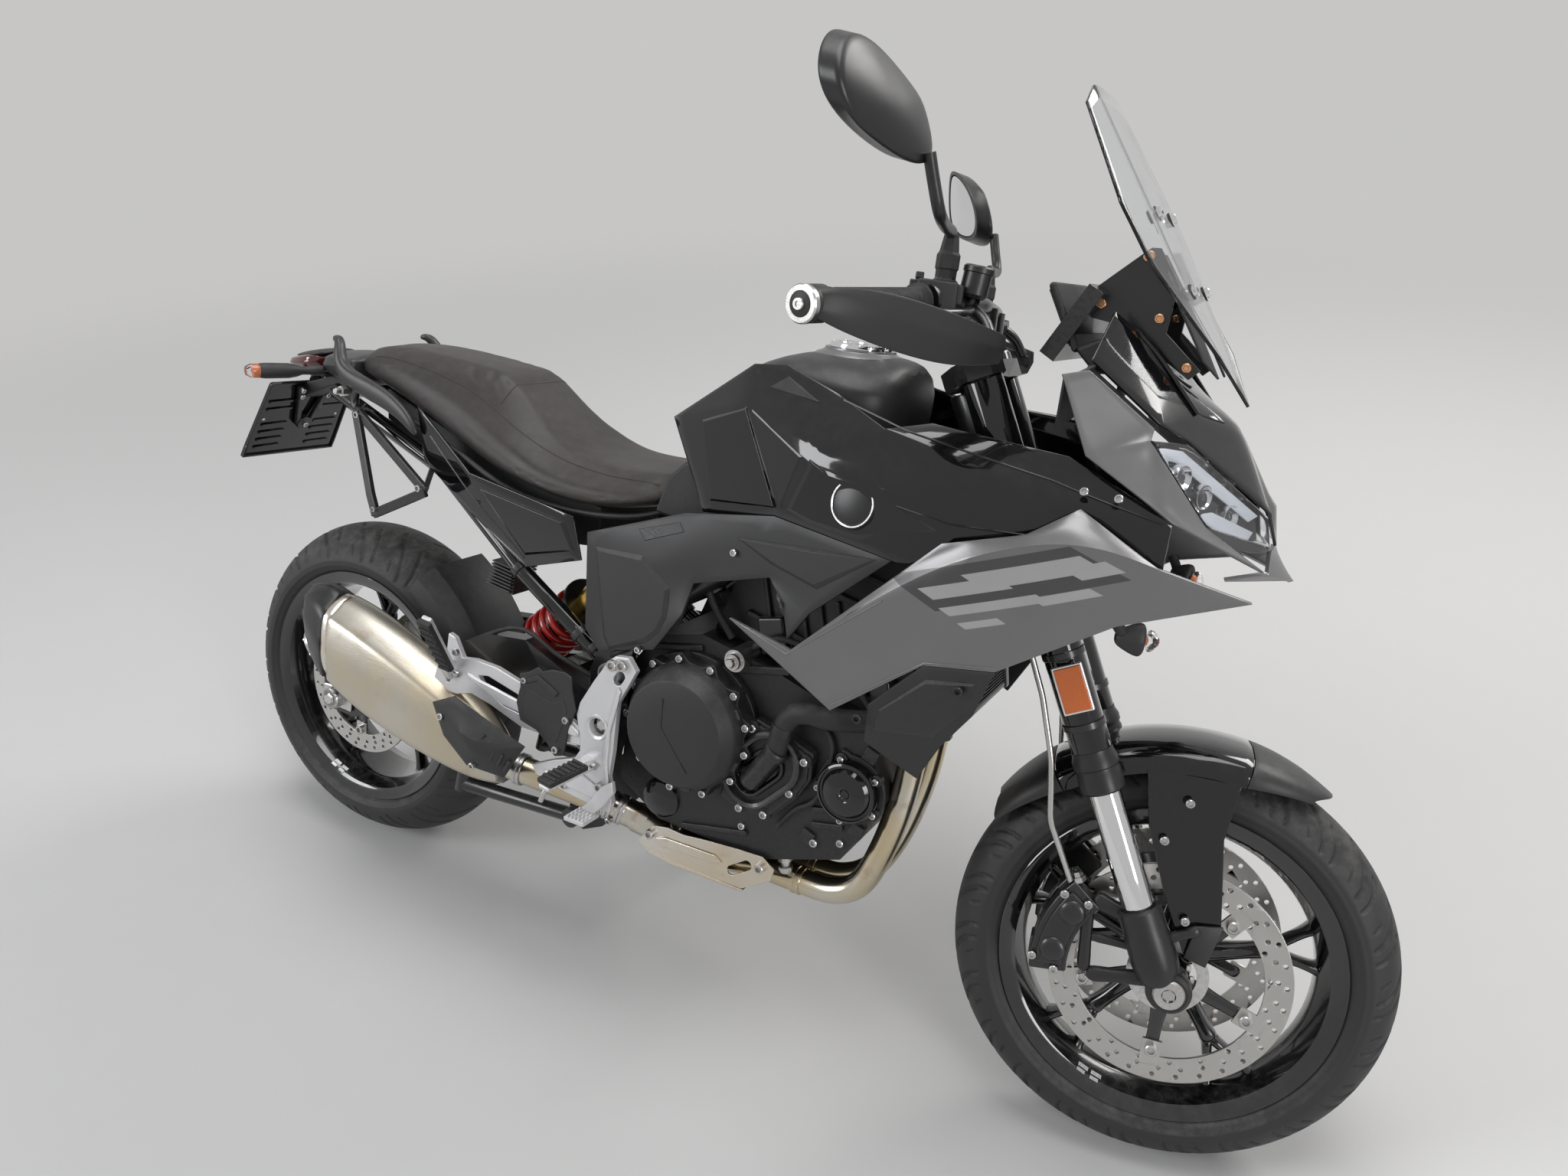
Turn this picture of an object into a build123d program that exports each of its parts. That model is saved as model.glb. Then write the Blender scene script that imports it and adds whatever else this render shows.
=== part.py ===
from build123d import *
import math
import os

# Sport touring motorcycle, parked on its side stand with the steering turned a little to the left.
# Every piece is drawn on the upright machine: x runs forward from the rear axle, y to the left and z up
# from the ground line. stand_up() then gives each piece the parked stance.

# ---- driving dimensions (mm, degrees) ----
RUN_CLEAR = 6.0             # running clearance between a turning piece and its neighbour
FIT = 0.3                   # clearance of a pin in its bore, and between pieces that seat on each other
WHEELBASE = 1521.0
RAKE = 26.0                 # steering axis from the vertical
TRAIL = 105.0
LEAN = 15.0                 # parked lean to the left
STEER_REST = 11.7           # parked steering angle, to the left
STEER_LOCK = 33.0           # steering lock each side of straight ahead
REAR_RADIUS = 315.0         # 180/55-17 tyre
REAR_TYRE_WIDTH = 178.0
FRONT_RADIUS = 300.0        # 120/70-17 tyre
FRONT_TYRE_WIDTH = 120.0
RIM_SEAT_RADIUS = 217.0     # 17 inch bead seat
RIM_LIP_RADIUS = 231.0
REAR_RIM_WIDTH = 154.0
FRONT_RIM_WIDTH = 104.0
FRONT_DISC_RADIUS = 160.0
REAR_DISC_RADIUS = 132.5
DISC_THICKNESS = 5.0
FRONT_DISC_Y = 67.0
REAR_DISC_Y = 72.0
FRONT_AXLE_RADIUS = 13.0
REAR_AXLE_RADIUS = 14.0
FORK_SPREAD = 104.0         # half the distance between the fork legs
CLAMP_OFFSET = 30.0         # fork legs ahead of the steering axis
OUTER_TUBE_RADIUS = 27.0
INNER_TUBE_RADIUS = 21.5
TUBE_BOTTOM = 294.0            # heights above the axle, along the fork
CASTING_TOP = 115.0
TUBE_SEAT = 60.0               # how far the inner tube goes into the casting
LOWER_CLAMP = 600.0
LOWER_CLAMP_THICKNESS = 40.0
TOP_CLAMP = 848.0
TOP_CLAMP_THICKNESS = 26.0
TUBE_TOP = 886.0
STEM_RADIUS = 15.0
HEAD_TUBE_RADIUS = 31.0
BAR_RADIUS = 14.0
BAR_BEND = (1092.0, -165.0, 1146.0)
BAR_TIP = (996.0, -396.0, 1113.0)
PIVOT = (640.0, 437.0)      # swingarm pivot, x and z
PIVOT_TUBE_RADIUS = 22.0
PIVOT_BOLT_RADIUS = 12.0
FRAME_PLATE = (150.0, 163.0)   # inner and outer face of the frame's side plates
SUBFRAME_TUBE_RADIUS = 14.0
CASE_HALF = 140.0              # half the crankcase's width
CLUTCH = (809.0, 505.0)        # clutch cover centre, x and z
CLUTCH_FLANGE_RADIUS = 114.0
CLUTCH_LID_RADIUS = 98.0
FILLER = (944.0, 1079.0)       # fuel filler, x and the height of its ring
FILLER_RADIUS = 52.0
NECK_RADIUS = 24.0
NECK_DEPTH = 70.0
CAP_RADIUS = 45.0
CAP_THICKNESS = 8.0
CAP_KNUCKLE_RADIUS = 4.5
CAP_HINGE = (FILLER[0] + CAP_RADIUS + 5, 0.0, FILLER[1] + FIT + CAP_KNUCKLE_RADIUS)
BOBBIN = (92.0, 318.0)         # bobbin for a workshop stand, x and z
BOBBIN_RADIUS = 8.0
BOBBIN_LENGTH = 18.0
BOBBIN_FLANGE = 6.0
SWINGARM_FACES = (-128.0, 146.0)       # outer faces of the right and left arms
CHAIN_Y = 104.0
CHAIN_WIDTH = 15.0
CHAIN_HEIGHT = 14.0
REAR_SPROCKET_RADIUS = 100.0
FRONT_SPROCKET = (735.0, 432.0)
FRONT_SPROCKET_RADIUS = 37.0
CHAIN_CLEAR = 0.5
PANEL = 5.0                 # thickness of the body panels
SCREEN_THICKNESS = 4.0
PLATE_CENTRE = (-248.0, 0.0, 803.5)    # middle of the plate holder's rear face
PLATE_NORMAL = (-0.876, 0.0, 0.481)    # the way it faces
PLATE_HOLE_Y = 84.0
PLATE_HOLE_RADIUS = 3.5
SIDE_PIVOT = (660.0, 150.0, 268.0)
SIDE_STAND_AXIS = (-0.305, 0.936, 0.1755)   # leans forward and down, so the leg tucks in as it folds
SIDE_STAND_SWING = 109.0
STAND_PIN_RADIUS = 8.0
STAND_FOOT = (716.0, 318.0)         # where the side stand meets the floor, from the rear tyre's contact
CENTRE_PIVOT = (550.0, 235.0)
CENTRE_BAR_RADIUS = 17.0
CENTRE_LUG = (76.0, 90.0)      # inner and outer face of the crankcase lugs that carry the centre stand
ORIGIN_SHIFT = (-751.0, -288.0)          # from the rear tyre's contact to the middle of the parked box

# ---- frames worked out from the dimensions above ----
REAR_AXLE = Vector(0, 0, REAR_RADIUS)
FRONT_AXLE = Vector(WHEELBASE, 0, FRONT_RADIUS)
SIN_R = math.sin(math.radians(RAKE))
COS_R = math.cos(math.radians(RAKE))
AXLE_OFFSET = FRONT_RADIUS * SIN_R - TRAIL * COS_R
LEG_OFFSET = CLAMP_OFFSET - AXLE_OFFSET
FORK = Plane(origin=FRONT_AXLE, x_dir=(COS_R, 0, SIN_R), z_dir=(-SIN_R, 0, COS_R))
STEER_AXIS = Axis(FORK.from_local_coords((-AXLE_OFFSET, 0, 0)), (-SIN_R, 0, COS_R))


# ---- helpers ----
UPWARD = (Align.CENTER, Align.CENTER, Align.MIN)


def mirrored(shape):
    """The same piece on the other side of the machine."""
    return shape.mirror(Plane.XZ)


def pair(shape):
    """The right and the left piece as one list."""
    return [shape, mirrored(shape)]


def rod(start, end, radius):
    """Round bar between two points."""
    start = Vector(*start)
    axis = Vector(*end) - start
    base = Plane(origin=start, z_dir=axis)
    return base * Cylinder(radius, axis.length, align=(Align.CENTER, Align.CENTER, Align.MIN))


def cross_rod(x, z, y_from, y_to, radius):
    """Round bar across the machine."""
    return rod((x, y_from, z), (x, y_to, z), radius)


def bent_tube(points, bends, radius):
    """Round tube along straight runs joined by tangent arcs."""
    path = FilletPolyline(*points, radius=bends)
    section = Plane(origin=path @ 0, z_dir=path % 0) * Circle(radius)
    return sweep(section, path=path)


def slab(outline, y_from, y_to):
    """Flat plate with a side-view outline of (x, z) points, from one y to another."""
    face = Face(Wire.make_polygon([(x, y_from, z) for x, z in outline]))
    return Solid.extrude(face, Vector(0, y_to - y_from, 0))


def block(corner, opposite):
    """Box between two corners."""
    size = [abs(b - a) for a, b in zip(corner, opposite)]
    centre = [(a + b) / 2 for a, b in zip(corner, opposite)]
    return Pos(*centre) * Box(*size)


def facets(triangles):
    """Closed body from its triangles, each a list of three points."""
    faces = [Face(Wire.make_polygon([Vector(*p) for p in triangle])) for triangle in triangles]
    body = Solid(Shell(faces))
    return body if body.volume > 0 else body.fix()


def fan(names):
    """Triangles of one flat or folded patch, given by its corner letters."""
    return [(names[0], names[i], names[i + 1]) for i in range(1, len(names) - 1)]


def panel(points, patches, depth):
    """Body panel: an outer skin of patches, the same skin moved by depth, and the rim between them."""
    outer = {name: Vector(*place) for name, place in points.items()}
    inner = {name: place + Vector(*depth) for name, place in outer.items()}
    triangles = [t for patch in patches.split() for t in fan(patch)]
    edges = [(t[i], t[(i + 1) % 3]) for t in triangles for i in range(3)]
    rim = [e for e in edges if edges.count(e) + edges.count(e[::-1]) == 1]
    body = [[outer[n] for n in t] for t in triangles]
    body += [[inner[n] for n in reversed(t)] for t in triangles]
    for a, b in rim:
        body.append([outer[b], outer[a], inner[a]])
        body.append([outer[b], inner[a], inner[b]])
    return facets(body)


def ribbed(sections):
    """Solid skinned over closed sections with the same number of points, capped at both ends."""
    body = []
    count = len(sections[0])
    for near, far in zip(sections, sections[1:]):
        for i in range(count):
            j = (i + 1) % count
            body.append([near[i], near[j], far[j]])
            body.append([near[i], far[j], far[i]])
    for i in range(1, count - 1):
        body.append([sections[0][0], sections[0][i + 1], sections[0][i]])
        body.append([sections[-1][0], sections[-1][i], sections[-1][i + 1]])
    return facets(body)


def across(x, half):
    """Section across the machine at one x, from the right half's (y, z) points, top to bottom."""
    right = [(x, -y, z) for y, z in half]
    left = [(x, y, z) for y, z in reversed(half) if y > 0]
    return right + left


def wheel_frame(axle):
    """Plane with its normal across the machine, at an axle."""
    return Plane(origin=axle, x_dir=(1, 0, 0), z_dir=(0, -1, 0))


def spin(axle, profile):
    """Turned piece about an axle from a closed (radius, y) profile."""
    points = [(axle.X, y, axle.Z + r) for r, y in profile]
    face = Face(Wire.make_polygon(points))
    return revolve(face, Axis(axle, (0, 1, 0)))


# ---- wheels ----
def tyre(axle, radius, width, rim_width):
    """Tyre with a round crown and its beads inside the rim's lips."""
    crown = width / 2
    centre = radius - crown
    lip = rim_width / 2 - 3.6
    steps = [math.radians(a) for a in range(-72, 73, 8)]
    outer = [(centre + crown * math.cos(a), crown * math.sin(a)) for a in steps]
    inner = [(RIM_LIP_RADIUS + 1, lip + 1), (RIM_LIP_RADIUS, lip), (RIM_SEAT_RADIUS + FIT, lip - 5)]
    inner += [(RIM_SEAT_RADIUS + 12, lip - 16), (radius - 14, 0)]
    closed = outer + inner + [(r, -y) for r, y in reversed(inner[:-1])]
    return spin(axle, closed)


def rim(axle, width, hub_radius, hub_width, bore):
    """Cast rim: barrel with lips, hub and five spokes that fork before the barrel."""
    half = width / 2
    seat = RIM_SEAT_RADIUS
    profile = [(seat, -half + 8), (RIM_LIP_RADIUS, -half + 3), (RIM_LIP_RADIUS, -half), (seat - 6, -half + 2)]
    profile += [(seat - 22, -half + 26), (seat - 22, half - 26)]
    profile += [(seat - 6, half - 2), (RIM_LIP_RADIUS, half), (RIM_LIP_RADIUS, half - 3), (seat, half - 8)]
    profile += [(seat - 12, half - 30), (seat - 12, -half + 30)]
    barrel = spin(axle, profile)
    hub = cross_rod(axle.X, axle.Z, -hub_width / 2, hub_width / 2, hub_radius)
    flat = wheel_frame(axle)
    body = barrel + hub
    fork_at = seat - 80
    for turn in range(5):
        angle = 90 + turn * 72
        stem = Rot(0, 0, angle) * Pos(fork_at / 2 + 8, 0, 0) * Box(fork_at, 26, 34)
        body += flat * stem
        for side in (-1, 1):
            arm = Pos(fork_at - 2, 0, 0) * Rot(0, 0, side * 22) * Pos(38, 0, 0) * Box(76, 17, 26)
            body += flat * Rot(0, 0, angle) * arm
    return body - cross_rod(axle.X, axle.Z, -hub_width, hub_width, bore)


def brake_disc(axle, radius, y, hub):
    """Drilled disc with five bolted ears, on its wheel's bosses."""
    ring = Circle(radius) - Circle(radius - 36)
    for row, count in ((radius - 9, 30), (radius - 20, 30), (radius - 30, 20)):
        ring -= PolarLocations(row, count, row * 3) * Circle(3.4)
    for turn in range(5):
        ring += Rot(0, 0, 54 + turn * 72) * Pos(radius - 42, 0) * Rectangle(34, 26)
    plate = extrude(ring, DISC_THICKNESS / 2, both=True)
    bore = Circle(hub + 1)
    plate -= extrude(bore, DISC_THICKNESS, both=True)
    at = Plane(origin=(axle.X, y, axle.Z), x_dir=(1, 0, 0), z_dir=(0, -1, 0))
    return at * plate


def front_wheel():
    rim_body = rim(FRONT_AXLE, FRONT_RIM_WIDTH, 30, 112, FRONT_AXLE_RADIUS + FIT)
    flat = wheel_frame(FRONT_AXLE)
    inner_face = FRONT_DISC_Y - DISC_THICKNESS / 2
    for turn in range(5):
        spot = Rot(0, 0, 54 + turn * 72) * Pos(FRONT_DISC_RADIUS - 46, 0, 0)
        boss = spot * Cylinder(11, 2 * inner_face)
        arm = Rot(0, 0, 54 + turn * 72) * Pos((FRONT_DISC_RADIUS - 46) / 2, 0, 0)
        rim_body += flat * boss
        rim_body += flat * arm * Box(FRONT_DISC_RADIUS - 46, 16, 60)
    rim_body -= cross_rod(FRONT_AXLE.X, FRONT_AXLE.Z, -150, 150, FRONT_AXLE_RADIUS + FIT)
    discs = [brake_disc(FRONT_AXLE, FRONT_DISC_RADIUS, y, 60) for y in (-FRONT_DISC_Y, FRONT_DISC_Y)]
    return {"front_rim": rim_body, "front_tyre": tyre(FRONT_AXLE, FRONT_RADIUS, FRONT_TYRE_WIDTH, FRONT_RIM_WIDTH),
            "front_brake_discs": discs}


def rear_wheel():
    rim_body = rim(REAR_AXLE, REAR_RIM_WIDTH, 38, 128, REAR_AXLE_RADIUS + FIT)
    flat = wheel_frame(REAR_AXLE)
    inner_face = REAR_DISC_Y - DISC_THICKNESS / 2
    for turn in range(5):
        spot = Rot(0, 0, 54 + turn * 72) * Pos(REAR_DISC_RADIUS - 46, 0, inner_face / 2)
        rim_body += flat * spot * Cylinder(11, inner_face)
        arm = Rot(0, 0, 54 + turn * 72) * Pos((REAR_DISC_RADIUS - 46) / 2, 0, 22)
        rim_body += flat * arm * Box(REAR_DISC_RADIUS - 46, 16, 44)
    carrier = cross_rod(0, REAR_AXLE.Z, 60, CHAIN_Y - 3, 62)
    rim_body += carrier
    rim_body -= cross_rod(0, REAR_AXLE.Z, -150, 150, REAR_AXLE_RADIUS + FIT)
    disc = brake_disc(REAR_AXLE, REAR_DISC_RADIUS, -REAR_DISC_Y, 45)
    ring = Circle(REAR_SPROCKET_RADIUS - 4) - Circle(REAR_AXLE_RADIUS + 12)
    for turn in range(44):
        ring += Rot(0, 0, turn * 360 / 44) * Pos(REAR_SPROCKET_RADIUS - 5, 0) * Rectangle(10, 6)
    ring -= PolarLocations(75, 10) * Circle(11)
    at = Plane(origin=(0, CHAIN_Y, REAR_AXLE.Z), x_dir=(1, 0, 0), z_dir=(0, -1, 0))
    sprocket = at * extrude(ring, 3, both=True)
    return {"rear_rim": rim_body, "rear_tyre": tyre(REAR_AXLE, REAR_RADIUS, REAR_TYRE_WIDTH, REAR_RIM_WIDTH),
            "rear_disc_and_sprocket": [disc, sprocket]}


# ---- fork and steering ----
def leg_rod(bottom, top, radius, side=-1):
    """Round piece along a fork leg between two heights above the axle."""
    at = FORK * Pos(LEG_OFFSET, side * FORK_SPREAD, bottom)
    return at * Cylinder(radius, top - bottom, align=UPWARD)


def stem_rod(bottom, top, radius):
    """Round piece along the steering axis between two heights above the axle."""
    base = FORK * Pos(-AXLE_OFFSET, 0, bottom)
    return base * Cylinder(radius, top - bottom, align=UPWARD)


def fork_plate(outline, thickness, height):
    """Flat plate across the fork at one height, from an outline in fork coordinates."""
    base = FORK * Pos(0, 0, height)
    face = Face(Wire.make_polygon([(x, y, 0) for x, y in outline]))
    return base * Solid.extrude(face, Vector(0, 0, thickness))


def clamp_plate(height, thickness):
    """Triple clamp: a plate that grips both legs and the steering stem."""
    axis_x = -AXLE_OFFSET
    spread = FORK_SPREAD
    outline = [(axis_x - 30, -34), (LEG_OFFSET - 32, -spread - 12), (LEG_OFFSET - 14, -spread - 34)]
    outline += [(LEG_OFFSET + 18, -spread - 32), (LEG_OFFSET + 33, -spread - 8), (LEG_OFFSET + 20, -40)]
    outline += [(x, -y) for x, y in reversed(outline)]
    plate = fork_plate(outline, thickness, height)
    for side in (-1, 1):
        plate -= leg_rod(height - 5, height + thickness + 5, OUTER_TUBE_RADIUS + FIT, side)
    return plate


def steering():
    sides = (-1, 1)
    outer = [leg_rod(TUBE_BOTTOM, TUBE_TOP, OUTER_TUBE_RADIUS, s) for s in sides]
    inner = [leg_rod(CASTING_TOP - TUBE_SEAT, TUBE_BOTTOM, INNER_TUBE_RADIUS, s) for s in sides]
    clamps = clamp_plate(LOWER_CLAMP, LOWER_CLAMP_THICKNESS) + clamp_plate(TOP_CLAMP, TOP_CLAMP_THICKNESS)
    for side in (-1, 1):
        clamps += FORK * Pos(-44, side * 120, LOWER_CLAMP) * Cylinder(9, 14, align=UPWARD)
    clamps += stem_rod(LOWER_CLAMP + 5, TOP_CLAMP + 5, STEM_RADIUS)
    bar = handlebar() - clamps
    bar += levers() + mirrored(levers())
    fender = front_fender() + fender_wing() + mirrored(fender_wing())
    return {"fork_outer_tubes": outer, "fork_inner_tubes": inner, "triple_clamps": clamps,
            "fork_feet_and_calipers": pair(fork_casting()),
            "front_axle": cross_rod(FRONT_AXLE.X, FRONT_AXLE.Z, -127, 127, FRONT_AXLE_RADIUS),
            "front_fender": fender, "handlebar": bar, "grips": pair(grip() - handlebar()),
            "handguards": pair(handguard()), "mirrors": pair(mirror_piece()),
            "front_brake_hoses": pair(brake_hose())}


def fork_casting():
    """Cast foot of a fork leg: sleeve round the tube, axle clamp, and the arm that carries the caliper."""
    sleeve = leg_rod(20, CASTING_TOP, 29)
    foot = cross_rod(FRONT_AXLE.X, FRONT_AXLE.Z, -125, -84, 30)
    web = FORK * Pos(-2, -FORK_SPREAD, 20) * Box(44, 40, 60)
    arm_outline = [(-10, 100), (-60, 150), (-78, 140), (-62, 90), (-110, 42), (-100, 26), (-30, 20), (0, 40)]
    face = Face(Wire.make_polygon([(x, -FORK_SPREAD - 10, z) for x, z in arm_outline]))
    arm = FORK * Solid.extrude(face, Vector(0, 16, 0))
    tab = FORK * Pos(36, -97, 66) * Box(56, 18, 22)
    body = sleeve + foot + web + arm + front_caliper() + (tab - fender_wing())
    body -= leg_rod(CASTING_TOP - TUBE_SEAT, CASTING_TOP + TUBE_SEAT, INNER_TUBE_RADIUS + FIT)
    return body - cross_rod(FRONT_AXLE.X, FRONT_AXLE.Z, -140, -60, FRONT_AXLE_RADIUS + FIT)


def ring_sector(inner, outer, start, end):
    """Outline of a piece that lies along a brake disc, in (x, z) about the axle."""
    steps = [start + (end - start) * i / 6 for i in range(7)]
    near = [(inner * math.cos(math.radians(a)), inner * math.sin(math.radians(a))) for a in steps]
    far = [(outer * math.cos(math.radians(a)), outer * math.sin(math.radians(a))) for a in steps]
    return near + far[::-1]


def front_caliper():
    """Four-piston caliper behind the fork leg, straddling the disc."""
    outline = ring_sector(FRONT_DISC_RADIUS - 29, FRONT_DISC_RADIUS + 27, 113, 164)
    face = Face(Wire.make_polygon([(x, -FRONT_DISC_Y - 40, z) for x, z in outline]))
    body = FORK * Solid.extrude(face, Vector(0, 62, 0))
    slot = FRONT_DISC_RADIUS + RUN_CLEAR
    gap = DISC_THICKNESS / 2 + RUN_CLEAR
    return body - cross_rod(FRONT_AXLE.X, FRONT_AXLE.Z, -FRONT_DISC_Y - gap, -FRONT_DISC_Y + gap, slot)


def front_fender():
    """Mudguard over the front tyre, on an arc about the axle."""
    tread = FRONT_RADIUS + 14
    outer = [(tread - 26, -74), (tread - 2, -66), (tread + 6, -40), (tread + 10, 0)]
    outer += [(r, -y) for r, y in reversed(outer[:-1])]
    inner = [(r - 4, y * (1 - 4 / 74)) for r, y in reversed(outer)]
    start, sweep_angle = -29.0, 86.0
    points = [(FRONT_AXLE.X, y, FRONT_AXLE.Z + r) for r, y in outer + inner]
    face = Face(Wire.make_polygon(points))
    turned = face.rotate(Axis(FRONT_AXLE, (0, 1, 0)), -start)
    return revolve(turned, Axis(FRONT_AXLE, (0, 1, 0)), -sweep_angle)


def fender_wing():
    """Wing that runs from the mudguard down beside the fork leg."""
    points = {"a": (1440, -74, 586), "b": (1560, -74, 588), "c": (1552, -82, 512), "d": (1572, -86, 392),
              "e": (1560, -92, 338), "f": (1532, -94, 346), "g": (1492, -96, 425), "h": (1456, -94, 513)}
    return panel(points, "abch hcdg gdef", (0, 6, 0))


def handlebar():
    """Tapered bar on its risers over the top clamp, with the mirror perches."""
    right = [(1125, -70, 1152), BAR_BEND, BAR_TIP]
    left = [(x, -y, z) for x, y, z in reversed(right)]
    bar = bent_tube(left + right, 70, BAR_RADIUS - 3)
    for side in (-1, 1):
        foot = FORK.from_local_coords((LEG_OFFSET - 6, side * 42, TOP_CLAMP + TOP_CLAMP_THICKNESS - 2))
        bar += rod(tuple(foot), (1125, side * 42, 1152), 17)
        bar += rod((1090, side * 192, 1146), (1090, side * 192, 1172), 12)
    return bar


def grip():
    return rod((1068, -222, 1138), (998, -391, 1114), 17)


def handguard():
    """Guard in front of the grip, with its bar end weight."""
    points = {"a": (968, -432, 1116), "b": (1030, -412, 1140), "c": (1122, -300, 1128), "d": (1176, -210, 1112),
              "e": (1172, -205, 1078), "f": (1122, -298, 1062), "g": (1010, -428, 1088)}
    shell = panel(points, "abg bcfg cdef", (-8, 4, 0))
    inner, tip = Vector(*BAR_BEND), Vector(*BAR_TIP)
    along = (tip - inner).normalized()
    return shell + rod(tuple(tip + along * FIT), tuple(tip + along * 40), 21)


def levers():
    """Switch housing, reservoir and lever on one side of the bar."""
    house = rod((1092, -170, 1146), (1071, -216, 1139), 24)
    lever = bent_tube([(1128, -168, 1140), (1124, -230, 1130), (1036, -368, 1108)], 60, 6)
    perch = rod((1095, -178, 1144), (1132, -172, 1140), 12)
    return house + perch + lever


def mirror_piece():
    """Mirror head on its bent stem."""
    route = [(1090, -192, 1172 + FIT), (1090, -192, 1204), (1088, -285, 1235), (1078, -305, 1290)]
    stem = bent_tube(route, 16, 7)
    head = {"a": (1006, -352, 1392), "b": (1052, -292, 1350), "c": (1078, -285, 1292), "d": (1066, -322, 1266),
            "e": (1014, -420, 1290), "f": (995, -455, 1326), "g": (992, -420, 1382), "h": (1048, -370, 1320)}
    return stem + panel(head, "abh bch cdh deh efh fgh gah", (-26, 8, 6))


def brake_hose():
    """Braided hose from under the lower clamp to the caliper."""
    route = [(-45, 120, LOWER_CLAMP - FIT), (-44, 122, 520), (-46, 126, 430), (-58, 130, 345), (-84, 122, 262),
             (-85, 98, 164)]
    points = [tuple(FORK.from_local_coords((x, -y, z))) for x, y, z in route]
    return bent_tube(points, [150, 150, 150, 80], 4) - front_caliper()


# ---- engine ----
def stand_lugs():
    """Lugs under the crankcase that carry the centre stand and the side stand."""
    centre = [(668, 394), (640, 380), (530, 252), (528, 222), (560, 206), (600, 225), (684, 318), (716, 336)]
    lugs = slab(centre, *CENTRE_LUG) + slab(centre, -CENTRE_LUG[1], -CENTRE_LUG[0])
    lugs -= cross_rod(*CENTRE_PIVOT, -100, 100, CENTRE_BAR_RADIUS + FIT)
    pivot, along = Vector(*SIDE_PIVOT), Vector(*SIDE_STAND_AXIS)
    side = slab([(700, 340), (776, 330), (770, 300), (690, 248), (650, 250), (640, 286)], 118, 140)
    side += rod(tuple(pivot - along * 26), tuple(pivot - along * FIT), 20)
    return lugs + side - rod(tuple(pivot - along * 40), tuple(pivot + along), STAND_PIN_RADIUS + FIT)


def engine_block():
    """Crankcase with its pan and the leaning cylinders: the closed mass of the engine."""
    case = [(668, 360), (676, 560), (716, 618), (800, 640), (935, 612), (1092, 562), (1118, 455)]
    case += [(1066, 352), (930, 304), (745, 312)]
    body = slab(case, -CASE_HALF, CASE_HALF)
    body += slab([(790, 620), (935, 600), (1088, 555), (1140, 700), (1128, 790), (930, 835), (846, 780)], -96, 96)
    body += slab([(760, 330), (1040, 345), (1000, 272), (800, 262)], -8, 100)
    body -= slab([(600, 340), (600, 560), (800, 560), (800, 340)], 84, CASE_HALF + 1)
    body += cross_rod(*FRONT_SPROCKET, 80, CHAIN_Y + 8, 16)
    body += cross_rod(*FRONT_SPROCKET, CHAIN_Y - 4, CHAIN_Y + 4, FRONT_SPROCKET_RADIUS)
    return body + stand_lugs()


def clutch_cover():
    flange = cross_rod(*CLUTCH, -CASE_HALF, -172, CLUTCH_FLANGE_RADIUS)
    return flange + cross_rod(*CLUTCH, -172, -215, CLUTCH_LID_RADIUS)


def engine():
    pump = cross_rod(960, 480, -CASE_HALF, -182, 48) + cross_rod(1004, 522, -CASE_HALF, -168, 34)
    pump -= cross_rod(*CLUTCH, -CASE_HALF + 1, -190, CLUTCH_FLANGE_RADIUS + 1)
    generator = cross_rod(905, 452, CASE_HALF, 192, 88)
    round_cover = cross_rod(1070, 470, -CASE_HALF, -168, 44)
    chain_cover = slab([(692, 340), (692, 536), (800, 536), (800, 340)], 118, 150)
    hose = [(962, -165, 529), (968, -172, 590), (1030, -176, 585), (1100, -125, 600), (1172, -125, 600)]
    return {"engine_block": engine_block(), "clutch_cover": clutch_cover(),
            "engine_covers": [pump, generator, round_cover, chain_cover],
            "coolant_hose": bent_tube(hose, [24, 30, 40], 14) - radiator() - pump}


# ---- exhaust ----
def exhaust():
    right = [(1100, -60, 672), (1136, -75, 625), (1140, -95, 480), (1085, -95, 262), (890, -92, 264)]
    left = [(1100, 42, 672), (1136, 25, 625), (1140, 0, 480), (1085, -40, 262), (890, -46, 264)]
    pipes = bent_tube(right, [30, 60, 90], 20) + bent_tube(left, [30, 60, 90], 20)
    pipes += ribbed([[(905, -118, 240), (905, -118, 290), (905, -22, 290), (905, -22, 240)],
                     [(760, -142, 240), (760, -142, 296), (760, -30, 296), (760, -30, 240)],
                     [(696, -150, 262), (696, -150, 312), (696, -100, 312), (696, -100, 262)]])
    pipes += slab([(962, 290), (940, 316), (744, 304), (722, 268), (880, 244), (912, 242)], -150, -144)
    pipes += slab([(880, 262), (880, 276), (780, 276), (780, 262)], -146, -110)
    link = [(710, -125, 288), (600, -150, 312), (540, -176, 332), (466, -190, 342)]
    pipes += bent_tube(link, [60, 60], 24)
    pipes = pipes - engine_block() - muffler()
    trim = [muffler_cap(), muffler_shield()]
    return {"exhaust_pipes": pipes, "muffler": muffler(), "muffler_trim": trim}


def muffler_section(x, y_in, y_out, z_low, z_high):
    chamfer = 0.22 * (z_high - z_low)
    side = 0.25 * (y_in - y_out)
    return [(x, y_in, z_low + chamfer), (x, y_in, z_high - chamfer), (x, y_in - side, z_high),
            (x, y_out + side, z_high), (x, y_out, z_high - chamfer), (x, y_out, z_low + chamfer),
            (x, y_out + side, z_low), (x, y_in - side, z_low)]


def muffler():
    return ribbed([muffler_section(468, -162, -218, 305, 380), muffler_section(400, -140, -230, 294, 432),
                   muffler_section(260, -135, -242, 316, 502), muffler_section(150, -135, -246, 352, 540),
                   muffler_section(96, -138, -244, 378, 550)])


def muffler_cap():
    return ribbed([muffler_section(96 - FIT, -138, -244, 378, 550), muffler_section(60, -146, -236, 402, 566),
                   muffler_section(24, -160, -226, 450, 560)])


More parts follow.
